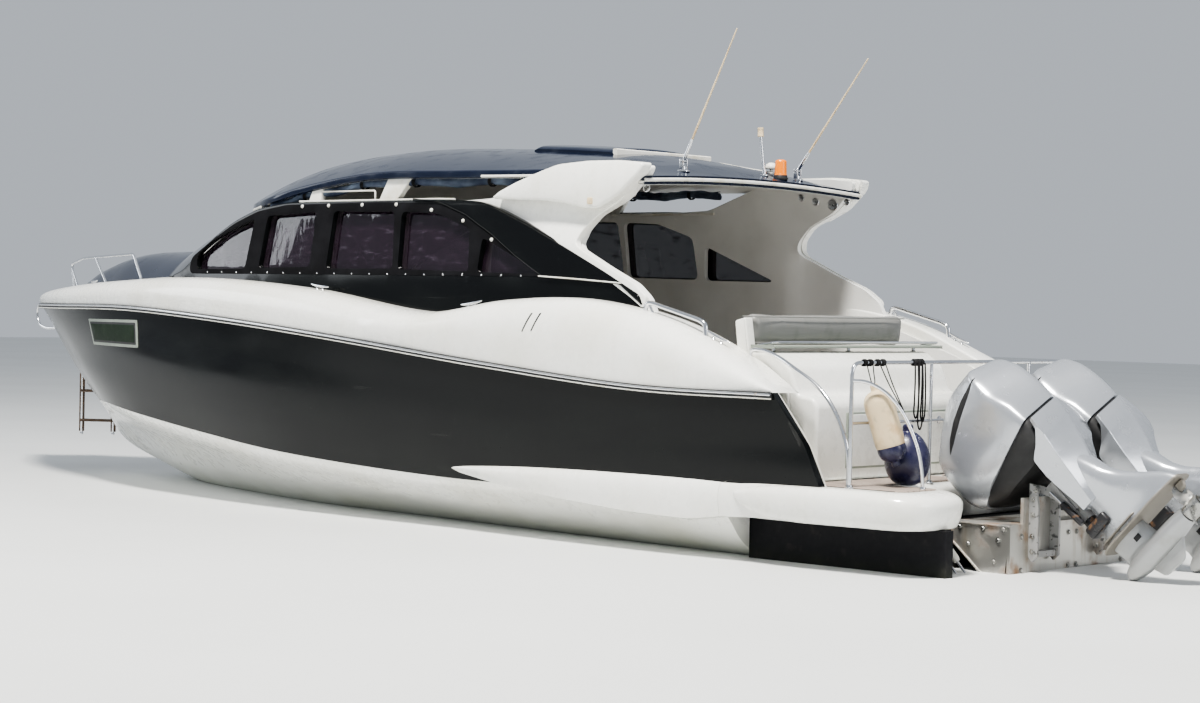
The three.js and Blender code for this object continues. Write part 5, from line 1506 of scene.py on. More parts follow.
for side, label in SIDES:
    body = "steer_" + label
    cover = loft("rear_cover_" + label, rear_cover(side), silver_paint, body=body,
                 sharp=math.radians(18))
    soften = cover.modifiers.new("crease", "BEVEL")
    soften.width, soften.segments = 0.006, 3
    soften.limit_method, soften.angle_limit = "ANGLE", math.radians(16)
    loft("leg_shaft_" + label, tilted(stacked_ellipses(MIDSECTION, 40, 40, 2.4), side), silver_paint,
         body=body, replaces=["outboard_leg_" + label])
    lower = [tilted(stacked_ellipses(STRUT, 26, 36, 2.1), side),
             tilted(lathe_rings(TORPEDO, (-0.10, 0, PROP_H), (1, 0, 0), 36), side),
             tilted(fin_rings([(-0.22, -0.89), (-0.27, -1.02), (-0.45, -1.035), (-0.56, -0.90)], 0.009),
                    side)]
    parts_of("lower_unit_" + label, lower, brushed_metal, body=body)
    plates = [tilted(plate_rings([(-0.07, -0.09), (-0.07, 0.09), (-0.16, 0.125), (-0.60, 0.128),
                                  (-0.815, 0.09), (-0.815, -0.09), (-0.60, -0.128), (-0.16, -0.125)],
                                 -0.655, 0.016), side),
              tilted(plate_rings([(-0.10, -0.075), (-0.10, 0.075), (-0.42, 0.08), (-0.42, -0.08)], -0.60,
                                 0.012), side),
              tilted(fin_rings([(-0.70, -0.655), (-0.72, -0.72), (-0.78, -0.72), (-0.80, -0.655)], 0.012),
                     side)]
    parts_of("cavitation_plate_" + label, plates, plate_paint, body=body)
    anodes = [tilted(soft_box((a - 0.035, y - 0.016, -0.642), (a + 0.035, y + 0.016, -0.622), 0.008, 3),
                     side) for a, y in ANODES for y in (y, -y)]
    parts_of("anodes_" + label, anodes, polished_steel, body=body)
    intake = [tilted(soft_box((-0.335, y - 0.003, -0.735), (-0.285, y + 0.003, -0.70), 0.0025, 2), side)
              for y in (-0.041, 0.041)]
    parts_of("water_intake_" + label, intake, dark_plastic, body=body)
    yoke = [tilted(soft_box((-0.21, -0.062, -0.034), (-0.095, 0.062, 0.066), 0.012, 3), side),
            tilted(soft_box((-0.26, -0.085, -0.52), (-0.074, 0.085, -0.434), 0.02, 4), side)]
    parts_of("mount_yokes_" + label, yoke, dark_metal, body=body)
print("legs and lower units made")


# %% Propellers: three helical blades on a hub
BLADE_ROOT, BLADE_TIP, BLADE_PITCH = 0.048, 0.184, 0.44


def blade(turn_by):
    """A helicoid: at radius r a chord turns by u w(r) about the shaft and moves along it by the pitch over
    2 pi times that turn. The two faces lie half a thickness either side, closing at the edges."""
    lead = BLADE_PITCH / (2 * np.pi)
    r = np.linspace(BLADE_ROOT, BLADE_TIP, 22)[:, None]
    chord = np.interp(r, [0.04, 0.095, 0.142, 0.172, 0.182, 0.185], [0.062, 0.118, 0.126, 0.088, 0.05, 0.02])
    width = chord / 2 / np.sqrt(r**2 + lead**2)
    u = np.concatenate([np.linspace(-1, 1, 15), np.linspace(1, -1, 15)[1:-1]])[None]
    face = np.concatenate([np.ones(15), -np.ones(13)])[None]
    thick = 0.5 * np.interp(r, [BLADE_ROOT, BLADE_TIP], [0.010, 0.004]) * (1 - u**2) ** 0.5 * face
    angle = u * width + turn_by + 0.12 * (r / BLADE_TIP) ** 2
    a = -0.062 + lead * u * width * 1.05 + thick * 0.8
    return np.stack(np.broadcast_arrays(PROP_A + a, r * np.sin(angle), PROP_H + r * np.cos(angle)), -1)


HUB = [(0.0, 0.0), (0.050, 0.0), (0.058, -0.006), (0.060, -0.05), (0.056, -0.115), (0.052, -0.128),
       (0.044, -0.128), (0.040, -0.10), (0.020, -0.10), (0.020, -0.126), (0.013, -0.130), (0.0, -0.130)]
for side, label in SIDES:
    shapes = [tilted(lathe_rings(HUB, (PROP_A, 0, PROP_H), (1, 0, 0), 36), side)]
    shapes += [tilted(blade(turn), side) for turn in np.radians((0, 120, 240))]
    parts_of("propeller_blades_" + label, shapes, worn_steel, body="prop_" + label,
             replaces=["propeller_" + label])
print("propellers made, blades of", 22 * 28, "points")

# %% [markdown]
# The brackets carry the engines: two cheeks clamp the plate, and a swivel column tilts between them. They
# keep their solids, which are plain castings, and get what sits on them: bolt heads, folded lips, a turned
# column and two rams with bright rods. A bolt is a six-sided lathe, so a table of places is all that a group
# needs.

# %% Engine bracket, castings and bolts
def bolt(place, axis, radius=0.014, tall=0.010):
    washer = lathe_rings(disc(radius * 1.5, -0.001, 0.0025), place, axis, 16)
    head = lathe_rings([(0, 0.002), (radius, 0.002), (radius, tall), (radius * 0.8, tall + 0.003),
                        (0, tall + 0.003)], place, axis, 6)
    return [washer, head]


BRACKET_HALF, BRACKET_AFT = 0.75, -4.79
CHEEK_BOLTS = [(-4.40, 0.285), (-4.47, 0.176), (-4.70, 0.215), (-4.67, 0.074), (-4.58, 0.285), (-4.74, 0.29)]
bracket_bolts = [ring for side, _ in SIDES for x, z in CHEEK_BOLTS
                 for ring in bolt((x, side * BRACKET_HALF, z), (0, side, 0))]
bracket_bolts += [ring for y in (-0.62, -0.05, 0.05, 0.62) for z in (0.02, 0.24)
                  for ring in bolt((BRACKET_AFT, y, z), (-1, 0, 0))]
parts_of("bracket_bolts", bracket_bolts, worn_steel, slot="stained_steel")


def bracket_lips():
    """Folded edges that stiffen the bracket's plates."""
    shapes = []
    for side, _ in SIDES:
        y = side * (BRACKET_HALF + 0.004)
        path = [(-4.338, y, 0.19), (-4.62, y, -0.052), (-4.74, y, -0.052)]
        shapes.append(tube_rings(rounded_path(path, 0.03), 0.007, 8))
        shapes.append(tube_rings([(-4.34, y, 0.312), (-4.78, y, 0.312)], 0.008, 8))
    return shapes


parts_of("bracket_lips", bracket_lips(), stained_steel)


def trim_tab(side):
    """A trim tab's pair of rams beside the bracket: white bodies, bright rods, on a steel plate."""
    y = side * 0.93
    plate = soft_box((-4.66, y - 0.16, -0.052), (-4.336, y + 0.16, -0.044), 0.003, 2)
    shapes = [plate]
    rods = []
    for offset in (-0.05, 0.05):
        top, low = np.array([-4.345, y + offset, 0.21]), np.array([-4.56, y + offset, -0.03])
        along = (low - top) / np.linalg.norm(low - top)
        rods.append(lathe_rings([(0, 0), (0.024, 0), (0.026, 0.02), (0.026, 0.17), (0.020, 0.19),
                                 (0, 0.19)], top, along, 18))
        shapes.append(lathe_rings([(0, 0.18), (0.010, 0.18), (0.010, 0.31), (0.018, 0.312), (0.018, 0.325),
                                   (0, 0.325)], top, along, 14))
    return shapes, rods


for side, label in SIDES:
    steel, bodies = trim_tab(side)
    parts_of("trim_tab_" + label, steel, polished_steel)
    parts_of("trim_rams_" + label, bodies, white_plastic)


def clamp_details(side):
    """Bolts through both cheeks."""
    shapes = []
    for face in (-1, 1):
        y = side * ENGINE_Y + face * 0.137
        for a, h in ((-0.02, -0.06), (-0.02, -0.16), (-0.02, -0.30), (-0.02, -0.40), (-0.035, 0.0)):
            shapes += bolt((PIVOT_X + a, y, PIVOT_Z + h), (0, face, 0), 0.012, 0.008)
    return shapes


def tilt_rams(side):
    """Two rams on the swivel bracket, upright beside the column: a black cylinder each and a bright rod."""
    bodies, rods = [], []
    for y in (-0.082, 0.082):
        low, high = (np.array([a, y, h]) for a, h in ((-0.10, -0.40), (-0.07, -0.09)))
        low, high = tilted(low, side), tilted(high, side)
        along = high - low
        reach = np.linalg.norm(along)
        bodies.append(lathe_rings([(0, 0), (0.020, 0), (0.023, 0.01), (0.023, reach * 0.62),
                                   (0.017, reach * 0.64), (0, reach * 0.64)], low, along, 18))
        rods.append(lathe_rings(disc(0.010, reach * 0.62, reach), low, along, 14))
    return bodies, rods


for side, label in SIDES:
    parts_of("clamp_bolts_" + label, clamp_details(side), worn_steel)
    bodies, rods = tilt_rams(side)
    parts_of("tilt_rams_" + label, bodies, dark_metal, body="tilt_" + label)
    parts_of("tilt_rods_" + label, rods, polished_steel, body="tilt_" + label)
    column = [tilted(lathe_rings([(0, -0.43), (0.040, -0.43), (0.047, -0.42), (0.047, -0.39), (0.042, -0.38),
                                  (0.042, -0.09), (0.047, -0.08), (0.047, -0.05), (0, -0.05)], (-0.12, 0, 0),
                                 (0, 0, 1), 28), side)]
    parts_of("swivel_column_" + label, column, dark_metal, body="tilt_" + label)
print("bracket:", len(bracket_bolts) // 2, "bolts")

# %% [markdown]
# All rails are bent stainless tube. A tube is a circle carried along a path whose corners are rounded, and
# each foot stands on a turned flange. The paths are the solids' own, so that every bend lies over its solid.

# %% Rails
RAIL_R, STERN_X, RAIL_TOP = 0.014, -4.05, 1.35


def flange(place, axis=(0, 0, 1), radius=0.034):
    return lathe_rings([(0, 0), (radius, 0), (radius, 0.004), (radius * 0.62, 0.009), (radius * 0.56, 0.022),
                        (0, 0.022)], place, axis, 22)


HOOP_FOOT, RAIL_END = (-4.41, 1.2), -1.0


def stern_rail():
    foot, x = PLATFORM_TOP + 0.0003, STERN_X
    frame_line = [(x, 1.5, foot), (x, 1.5, RAIL_TOP), (x, RAIL_END, RAIL_TOP), (x, RAIL_END, foot)]
    shapes = [tube_rings(rounded_path(frame_line, 0.09, 10), RAIL_R)]
    shapes += [tube_rings([(x, y, foot), (x, y, RAIL_TOP)], RAIL_R) for y in (0.62, -0.57)]
    shapes.append(tube_rings([(x, 1.5, 0.96), (x, RAIL_END, 0.96)], RAIL_R - 0.003))
    hoop = [(x, 1.5, 1.236), (-4.105, 1.453, 1.232), (-4.145, 1.421, 1.218), (-4.214, 1.363, 1.167),
            (-4.284, 1.305, 1.073), (-4.346, 1.253, 0.93), (-4.388, 1.218, 0.775), (-4.407, 1.203, 0.64),
            (*HOOP_FOOT, foot)]
    shapes.append(tube_rings(through(hoop, np.linspace(0, 8, 64)), RAIL_R - 0.002))
    feet = [(x, 1.5), (x, 0.62), (x, -0.57), (x, RAIL_END), HOOP_FOOT]
    return shapes + [flange((*place, foot)) for place in feet]


def boarding_rail():
    path = [(-3.05, 1.315, 1.345), (-3.07, 1.315, 1.40), (-3.16, 1.32, 1.405), (-3.3, 1.345, 1.372),
            (-3.505, 1.40, 1.293), (-3.696, 1.42, 1.196), (-3.83, 1.44, 1.088), (-3.926, 1.45, 0.956),
            (-3.986, 1.46, 0.824), (-4.008, 1.46, 0.69), (-4.008, 1.46, 0.5403)]
    return [tube_rings(through(path, np.linspace(0, 10, 90)), RAIL_R),
            flange((-4.008, 1.46, 0.5403), radius=0.026)]


def gunwale_rail(side):
    path = [(-2.205, 1.44, 1.63), (-2.228, 1.44, 1.706), (-2.275, 1.44, 1.706), (-2.70, 1.44, 1.60),
            (-2.760, 1.44, 1.572), (-2.765, 1.44, 1.47)]
    brace = [(-2.30, 1.44, 1.61), (-2.245, 1.44, 1.70)]
    handed = np.array([1, side, 1])
    return [tube_rings(rounded_path(path, 0.03) * handed, RAIL_R + 0.003),
            tube_rings(np.array(brace) * handed, RAIL_R - 0.004)]


def bow_rail(side):
    top = [(6.0, 0.33, 1.715), (6.09, 0.30, 1.96), (5.60, 0.52, 2.008), (5.11, 0.745, 2.014),
           (4.075, 1.095, 2.036), (3.895, 1.135, 1.80)]
    handed = np.array([1, side, 1])
    shapes = [tube_rings(rounded_path(top, 0.05) * handed, RAIL_R - 0.002)]
    shapes.append(tube_rings(handed * [(4.74, 0.885, 1.765), (5.11, 0.745, 2.012)], RAIL_R - 0.002))
    shapes.append(tube_rings(handed * [(6.06, 0.312, 1.90), (5.93, 0.335, 1.725)], RAIL_R - 0.005))
    feet = [(6.0, 0.33, 1.708), (5.935, 0.335, 1.716), (4.765, 0.875, 1.776), (3.907, 1.132, 1.812)]
    return shapes + [flange(handed * foot, radius=0.026) for foot in feet]


parts_of("stern_rail_tube", stern_rail(), polished_steel, replaces=["stern_rail"])
parts_of("boarding_rail_tube", boarding_rail(), polished_steel, replaces=["boarding_rail"])
for side, label in SIDES:
    parts_of("gunwale_tube_" + label, gunwale_rail(side), polished_steel,
             replaces=["gunwale_rail_" + label])
    parts_of("bow_tube_" + label, bow_rail(side), polished_steel,
             replaces=["bow_rail_" + label])
print("rails bent")

# %% [markdown]
# The transom holds a locker, a seat with a thick backrest, and a slim shelf behind it. The locker is a
# moulding with soft corners: its side profile is rounded and carried across, and the ends are rounded too.
# The steps down to the platform are part of it.

# %% Locker, steps and shelf
def across_moulding(name, outline, low_y, high_y, finish, radius=0.04, edge=0.03, **more):
    """A side profile in x and z, rounded, carried along y, with rounded ends."""
    flat = rounded_outline(outline, radius, spacing=0.05)
    bend = np.linspace(0, np.pi / 2, 6)
    rows = [(edge * (1 - math.sin(a)), low_y + edge * (1 - math.cos(a))) for a in bend]
    rows += [(edge * (1 - math.sin(a)), high_y - edge * (1 - math.cos(a))) for a in bend[::-1]]
    return loft(name, layers(flat, rows, across=True), finish, **more)


LOCKER = [(-3.38, SOLE), (-2.56, SOLE), (-2.56, 1.08), (-2.92, 1.08), (-2.92, 1.395), (-3.22, 1.395),
          (-3.36, 1.30), (-3.43, 1.12), (-3.56, 1.10), (-3.60, 1.05), (-3.60, 0.541), (-3.38, 0.541)]
across_moulding("locker_moulding", LOCKER, -0.52, 1.27, white_gelcoat,
                replaces=["transom_locker"])
across_moulding("locker_door_frame", [(-3.612, 0.62), (-3.612, 1.0), (-3.598, 1.0), (-3.598, 0.62)], -0.35,
                0.95, grey_plastic, radius=0.003, edge=0.02)
across_moulding("locker_door", [(-3.618, 0.635), (-3.618, 0.985), (-3.605, 0.985), (-3.605, 0.635)], -0.335,
                0.935, white_gelcoat, radius=0.003, edge=0.015)
parts_of("door_latches", [lathe_rings([(0, 0), (0.028, 0), (0.028, 0.006), (0.02, 0.009), (0, 0.009)],
                                      (-3.618, y, 0.93), (-1, 0, 0), 20) for y in (-0.1, 0.7)],
         polished_steel)
across_moulding("shelf_board", [(-3.23, 1.420), (-3.0105, 1.420), (-3.0105, 1.437), (-3.23, 1.437)], -0.70,
                1.27, grey_plastic, radius=0.006, edge=0.02, replaces=["stern_shelf"])
shelf_rail = rounded_path([(-3.06, -0.66, 1.437), (-3.215, -0.66, 1.46), (-3.215, 1.24, 1.46),
                           (-3.06, 1.24, 1.437)], 0.04)
shelf_parts = [tube_rings(shelf_rail, 0.009, 10)]
shelf_parts += [lathe_rings([(0, 0), (0.022, 0), (0.012, 0.006), (0.012, 0.028), (0, 0.028)],
                            (-3.12, y, 1.3955), (0, 0, 1), 16) for y in (-0.48, 0.3, 1.15)]
parts_of("shelf_rail", shelf_parts, polished_steel)
across_moulding("seat_stand", [(-3.03, 1.38), (-2.93, 1.38), (-2.90, 1.60), (-2.99, 1.625)], 1.215, 1.30,
                white_gelcoat, radius=0.015, edge=0.012)
print("locker and shelf made")

# %% [markdown]
# The cushions are sewn vinyl over foam. Each starts as a rounded box a little smaller than its solid, is
# remeshed evenly and inflated by a short cloth simulation without gravity, and is then capped, so that no
# point moves far. Welts, thin piping tubes, follow its edges afterwards.

# %% Cushions
SWELL_FRAMES, EVEN_SIZE = 20, 0.018


def inflated(made, pressure=4.0, cap=0.026):
    """Cloth pressure for twenty frames, and then each point moves at most the cap from where it began."""
    remesh = made.modifiers.new("even", "REMESH")
    remesh.mode, remesh.voxel_size = "VOXEL", EVEN_SIZE
    bake_modifiers(made)
    start = np.empty(len(made.data.vertices) * 3)
    made.data.vertices.foreach_get("co", start)
    cloth = made.modifiers.new("swell", "CLOTH")
    cloth.settings.use_pressure, cloth.settings.uniform_pressure_force = True, pressure
    cloth.settings.effector_weights.gravity = 0
    cloth.settings.quality = 6
    cloth.point_cache.frame_end = SWELL_FRAMES
    for step in range(1, SWELL_FRAMES + 1):
        bpy.context.scene.frame_set(step)
    bake_modifiers(made)
    bpy.context.scene.frame_set(1)
    end = np.empty_like(start)
    made.data.vertices.foreach_get("co", end)
    move = (end - start).reshape(-1, 3)
    far = np.linalg.norm(move, axis=1, keepdims=True)
    kept = start.reshape(-1, 3) + move * np.minimum(1, cap / (far + 1e-9))
    made.data.vertices.foreach_set("co", kept.ravel())
    made.data.shade_smooth()
    return made


def bake_modifiers(made):
    """Replaces the mesh by its own result, so that no modifier is left on the piece."""
    graph = bpy.context.evaluated_depsgraph_get()
    result = bpy.data.meshes.new_from_object(made.evaluated_get(graph))
    made.modifiers.clear()
    made.data = result


def cushion(name, low, high, finish, shape=None, radius=0.05, replaces=(), welt=True, cap=0.022):
    """A padded block between two corners; shape bends its points, as for a raked backrest."""
    low, high = np.array(low, float), np.array(high, float)
    rings = soft_box(low + 0.010, high - 0.010, radius, 7)
    bend = shape or (lambda p: p)
    made = loft(name, bend(rings), finish, slot="grey_cushion", replaces=replaces)
    inflated(made, cap=cap)
    if welt:
        paths = []
        for z in (low[2] + radius * 0.55, high[2] - radius * 0.55):
            flat = rounded_outline([(low[0], low[1]), (high[0], low[1]), (high[0], high[1]),
                                    (low[0], high[1])], radius * 1.2)
            path = np.column_stack([flat, np.full(len(flat), z)])
            paths.append(bend(np.vstack([path, path[:1]])))
        parts_of(name + "_welt", [tube_rings(path, 0.0045, 8) for path in paths], finish,
                 slot="grey_cushion")
    return made


def raked(base_z, lean):
    """Shears a block backwards as it rises, the way a backrest leans."""
    def bend(points):
        return points + np.stack([-(points[..., 2] - base_z) * lean, 0 * points[..., 1],
                                  0 * points[..., 2]], -1)
    return bend


cushion("stern_backrest", (-2.98, -0.56, 1.42), (-2.84, 1.20, 1.66), grey_cushion, radius=0.055,
        replaces=["transom_seat"], shape=raked(1.42, 0.1), cap=0.018)
cushion("stern_seat_pad", (-2.915, -0.55, 1.083), (-2.565, 1.19, 1.19), grey_cushion, radius=0.045)
for side, label in SIDES:
    low, high = sorted((side * 0.84, side * 1.30))
    cushion("bench_pad_" + label, (-1.5, low, 1.005), (0.9, high, 1.11), grey_cushion, radius=0.045,
            cap=0.02)
    base = soft_box((-1.5, min(side * 0.86, side * 1.36), SOLE),
                    (0.9, max(side * 0.86, side * 1.36), 1.008), 0.02, 4)
    parts_of("bench_base_" + label, [base], inner_white, replaces=["bench_" + label])
cushion("helm_pad", (1.34, -0.87, 1.078), (1.85, -0.25, 1.19), cream_vinyl, radius=0.05)
cushion("helm_back", (1.36, -0.87, 1.16), (1.45, -0.25, 1.70), cream_vinyl, radius=0.042,
        shape=raked(1.16, 0.13), cap=0.015)
parts_of("helm_plinth", [soft_box((1.40, -0.86, SOLE), (1.80, -0.26, 1.078), 0.03, 5)], inner_white,
         replaces=["helm_seat"])
print("cushions made; simulated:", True)

# %% [markdown]
# The dashboard is one moulding with the front bulkhead. Its raked face carries a black panel with round
# dials, a dark screen, and two control levers beside the wheel. The dials have plain tick marks and no
# lettering. The wheel is a bent rim with three tapering spokes and a domed hub, and turns with the helm.

# %% Dashboard and helm
DASH = [(3.19, SOLE), (3.35, 1.5), (3.35, 1.8), (2.8, 1.8), (2.48, 1.64), (2.33, 1.38), (2.56, 1.26),
        (2.6, SOLE)]
across_moulding("dash_moulding", DASH, -1.14, 1.14, inner_white, radius=0.05,
                replaces=["dashboard"])
FACE_UP, FACE_OUT = np.array([0.5, 0, 0.866]), np.array([-0.866, 0, 0.5])


def on_dash(y, up, out):
    """A point on the dashboard's raked face: across, up the face, and out of it."""
    y, up, out = (np.asarray(v, float)[..., None] for v in (y, up, out))
    return np.array([2.33, 0, 1.38]) + np.array([0, 1, 0]) * y + FACE_UP * up + FACE_OUT * out


def dash_plate(name, corners, out, thick, finish, **more):
    def place(y, up, depth):
        return on_dash(y, up, out - depth)
    return panel(name, rounded_outline(corners, 0.025), [], place, thick, finish, edge=0.004, **more)


def box_corners(low, high):
    return [(low[0], low[1]), (high[0], low[1]), (high[0], high[1]), (low[0], high[1])]


dash_plate("dial_panel", box_corners((-1.0, 0.02), (-0.12, 0.29)), 0.010, 0.02, dark_plastic)
dash_plate("screen", box_corners((-0.06, 0.05), (0.28, 0.27)), 0.014, 0.02, dark_glass)
DIALS = [(-0.92, 0.19, 0.05), (-0.80, 0.20, 0.05), (-0.66, 0.235, 0.034), (-0.56, 0.24, 0.034),
         (-0.46, 0.235, 0.034), (-0.34, 0.20, 0.05), (-0.22, 0.19, 0.05)]
bezels, faces, ticks = [], [], []
for y, up, radius in DIALS:
    centre = on_dash(y, up, 0.010)
    bezels.append(lathe_rings([(radius * 0.86, 0.001), (radius, 0.001), (radius, 0.006),
                               (radius * 0.92, 0.009), (radius * 0.86, 0.006)], centre, FACE_OUT, 26))
    faces.append(lathe_rings(disc(radius * 0.88, 0.0005, 0.003), centre, FACE_OUT, 26))
    for angle in np.linspace(-2.2, 2.2, 9):
        way = np.array([math.sin(angle), math.cos(angle)])
        path = [on_dash(y + way[0] * radius * s, up + way[1] * radius * s, 0.0135) for s in (0.62, 0.80)]
        ticks.append(tube_rings(path, 0.0011, 5))
    ticks.append(tube_rings([on_dash(y, up, 0.0138), on_dash(y + radius * 0.35, up + radius * 0.5, 0.0138)],
                            0.0014, 5))
parts_of("dial_bezels", bezels, polished_steel)
parts_of("dial_faces", faces, dark_plastic)
parts_of("dial_marks", ticks, white_plastic)
switches = [soft_box(on_dash(y, 0.06, 0.008) - 0.008, on_dash(y, 0.06, 0.008) + 0.010, 0.003, 3)
            for y in np.arange(-0.95, -0.15, 0.055) if abs(y + 0.56) > 0.09]
parts_of("dash_switches", switches, grey_plastic)
levers = []
for y in (-0.235, -0.195):
    path = rounded_path([(2.60, y, 1.69), (2.575, y, 1.79), (2.545, y, 1.83)], 0.02)
    levers.append(tube_rings(path, 0.008, 10))
    levers.append(lathe_rings([(0, 0), (0.014, 0.002), (0.017, 0.016), (0.013, 0.032), (0, 0.036)],
                              (2.548, y, 1.82), (-0.3, 0, 1), 16))
levers.append(soft_box((2.55, -0.28, 1.665), (2.68, -0.15, 1.715), 0.018, 5))
parts_of("control_levers", levers, dark_plastic)

WHEEL_CENTRE, WHEEL_R = np.array([2.29, -0.56, 1.49]), 0.19
ACROSS, UPWARD = np.array([0, 1, 0]), np.array([0.5, 0, 0.866])


def in_wheel(radius, angle, out=0.0):
    """A point in the wheel's own plane, which leans back with the dashboard's face."""
    radius, angle, out = (np.asarray(v, float)[..., None] for v in (radius, angle, out))
    return WHEEL_CENTRE + ACROSS * radius * np.cos(angle) + UPWARD * radius * np.sin(angle) + FACE_OUT * out


RIM_R, RIM_AROUND, RIM_ALONG = 0.0155, 14, 96
rim_bend = full_turn(RIM_AROUND)[None]
rim = in_wheel(WHEEL_R + RIM_R * np.cos(rim_bend), full_turn(RIM_ALONG)[:, None], RIM_R * np.sin(rim_bend))
finish_piece("wheel_rim", mesh_of("wheel_rim", rim.reshape(-1, 3), quads(RIM_ALONG, RIM_AROUND, True, True)),
                         dark_plastic, body="helm", replaces=["steering_wheel"])
wheel_metal = [tube_rings(in_wheel(np.linspace(0.02, WHEEL_R - 0.004, 12), math.radians(angle),
                                   np.linspace(0.012, 0.0, 12)), np.linspace(0.014, 0.008, 12), 12)
               for angle in (90, 210, 330)]
wheel_metal.append(lathe_rings([(0, -0.084), (0.017, -0.084), (0.017, -0.02), (0.036, -0.016), (0.038, 0.0),
                                (0.034, 0.014), (0.02, 0.022), (0, 0.024)], WHEEL_CENTRE, FACE_OUT, 28))
parts_of("wheel_spokes", wheel_metal, polished_steel, body="helm")
print("dashboard:", len(DIALS), "dials,", len(switches), "switches")

# %% [markdown]
# A white liner covers the cabin sides from within, cut out for the same windows, and runs aft into the wing,
# where it gives the wing's edge its full thickness. Further aft a plain liner closes the cockpit's sides.

# %% Liners
LINER = [(3.06, 0.67), (3.06, 1.90), (2.85, 2.05), (2.44, 2.295), (2.14, 2.392), (1.77, 2.438),
         (0.67, 2.448), (-0.08, 2.445), (-0.58, 2.468), (-0.83, 2.553), (-1.08, 2.636), (-1.233, 2.68),
         (-1.53, 2.70), (-1.82, 2.698), (-2.035, 2.676), (-2.02, 2.62), (-1.825, 2.436), (-1.585, 2.324),
         (-1.47, 2.212), (-1.445, 2.13), (-1.487, 2.087), (-1.78, 1.954), (-2.057, 1.839), (-2.187, 1.742),
         (-2.24, 1.64), (-2.24, 0.67)]


def liner_out(x, z):
    """Just inside the panes forward, and deeper aft, where it backs the scooped wing."""
    return -0.058 - 0.028 * aft_share(x) + 0.056 * leg_share(x, z)


for side, label in SIDES:
    side_panel("cabin_liner_" + label, rounded_outline(LINER, 0.04), [inset(w, -0.004) for w in windows],
               liner_out, 0.045, side, inner_white, edge=0.006)
    cockpit = [(-2.20, 0.67), (-2.20, 1.60), (-2.45, 1.52), (-2.95, 1.35), (-3.37, 1.13), (-3.37, 0.67)]

    def cockpit_side(x, z, depth):
        return np.column_stack([x, side * (1.296 - depth + 0 * x), z])

    panel("cockpit_liner_" + label, rounded_outline(cockpit, 0.03), [], cockpit_side, 0.022, inner_white)
    brow = [(0.52, side * (side_y(0.52, 2.45) - 0.115), 2.44),
            (-0.62, side * (side_y(-0.62, 2.45) - 0.14), 2.44)]
    parts_of("liner_rail_" + label, [tube_rings(brow, 0.011, 12)], white_plastic)
LAMPS = [(-1.522, 2.559, 0.030), (-1.662, 2.527, 0.034), (-1.83, 2.501, 0.050), (-1.966, 2.520, 0.030)]


def lamp_parts(side):
    rings, cones = [], []
    for x, z, radius in LAMPS:
        place = (x, side * (side_y(x, z) - 0.129), z)
        axis = (0, -side, -0.12)
        rings.append(lathe_rings([(radius * 0.7, 0), (radius, 0), (radius, 0.006), (radius * 0.9, 0.011),
                                  (radius * 0.7, 0.008)], place, axis, 28))
        cones.append(lathe_rings([(0, 0.0), (radius * 0.76, 0.0), (radius * 0.74, 0.006),
                                  (radius * 0.3, 0.002), (radius * 0.26, 0.006), (0, 0.008)], place, axis,
                                 28))
    return rings, cones


for side, label in SIDES:
    lamp_rims, lamp_cones = lamp_parts(side)
    parts_of("wing_lamp_rims_" + label, lamp_rims, polished_steel)
    parts_of("wing_lamp_cones_" + label, lamp_cones, dark_plastic)
print("liners cut; lamps", len(LAMPS), "a side")

# %% [markdown]
# Between the black panel and the roof there is a slim opening on each side, with two white posts and a rail.
# A rolled canvas side curtain hangs under the roof's lip, held by straps. It is modelled as the sheet that
# it is: a spiral of 2.3 turns carried along the lip, which sags between its ties and crumples.

# %% Roof posts and rolled canvas
POST_AFT = [(0.70, 2.445), (0.50, 2.445), (0.33, 2.655), (0.60, 2.655)]
POST_FORE = [(1.53, 2.440), (1.38, 2.440), (1.37, 2.60), (1.47, 2.60)]
for side, label in SIDES:
    for name, post in (("aft", POST_AFT), ("fore", POST_FORE)):
        side_panel("roof_post_" + name + "_" + label, rounded_outline(post, 0.012), [], -0.012, 0.05, side,
                   white_plastic, edge=0.008)
    y = side * (side_y(1.0, 2.5) - 0.03)
    frame_tubes = [tube_rings(rounded_path([(1.40, y, 2.535), (0.76, y, 2.535), (0.76, y, 2.452)], 0.02),
                              0.007)]
    sill = [(1.62, side * 1.312, 2.458), (0.0, side * 1.312, 2.460), (-0.16, side * 1.308, 2.456)]
    frame_tubes.append(tube_rings(sill, 0.007, 8))
    parts_of("opening_frame_" + label, frame_tubes, white_plastic)

TIES = np.array([1.60, 0.92, 0.33, -0.40])
ROLL_FROM, ROLL_TO, ROLL_LENGTHS, ROLL_AROUND = 2.02, -0.70, 130, 56
ROLL_TURNS, CLOTH_HALF = 2.3, 0.0012


def roll_y(x):
    return 1.245 - 0.095 * aft_share(x)


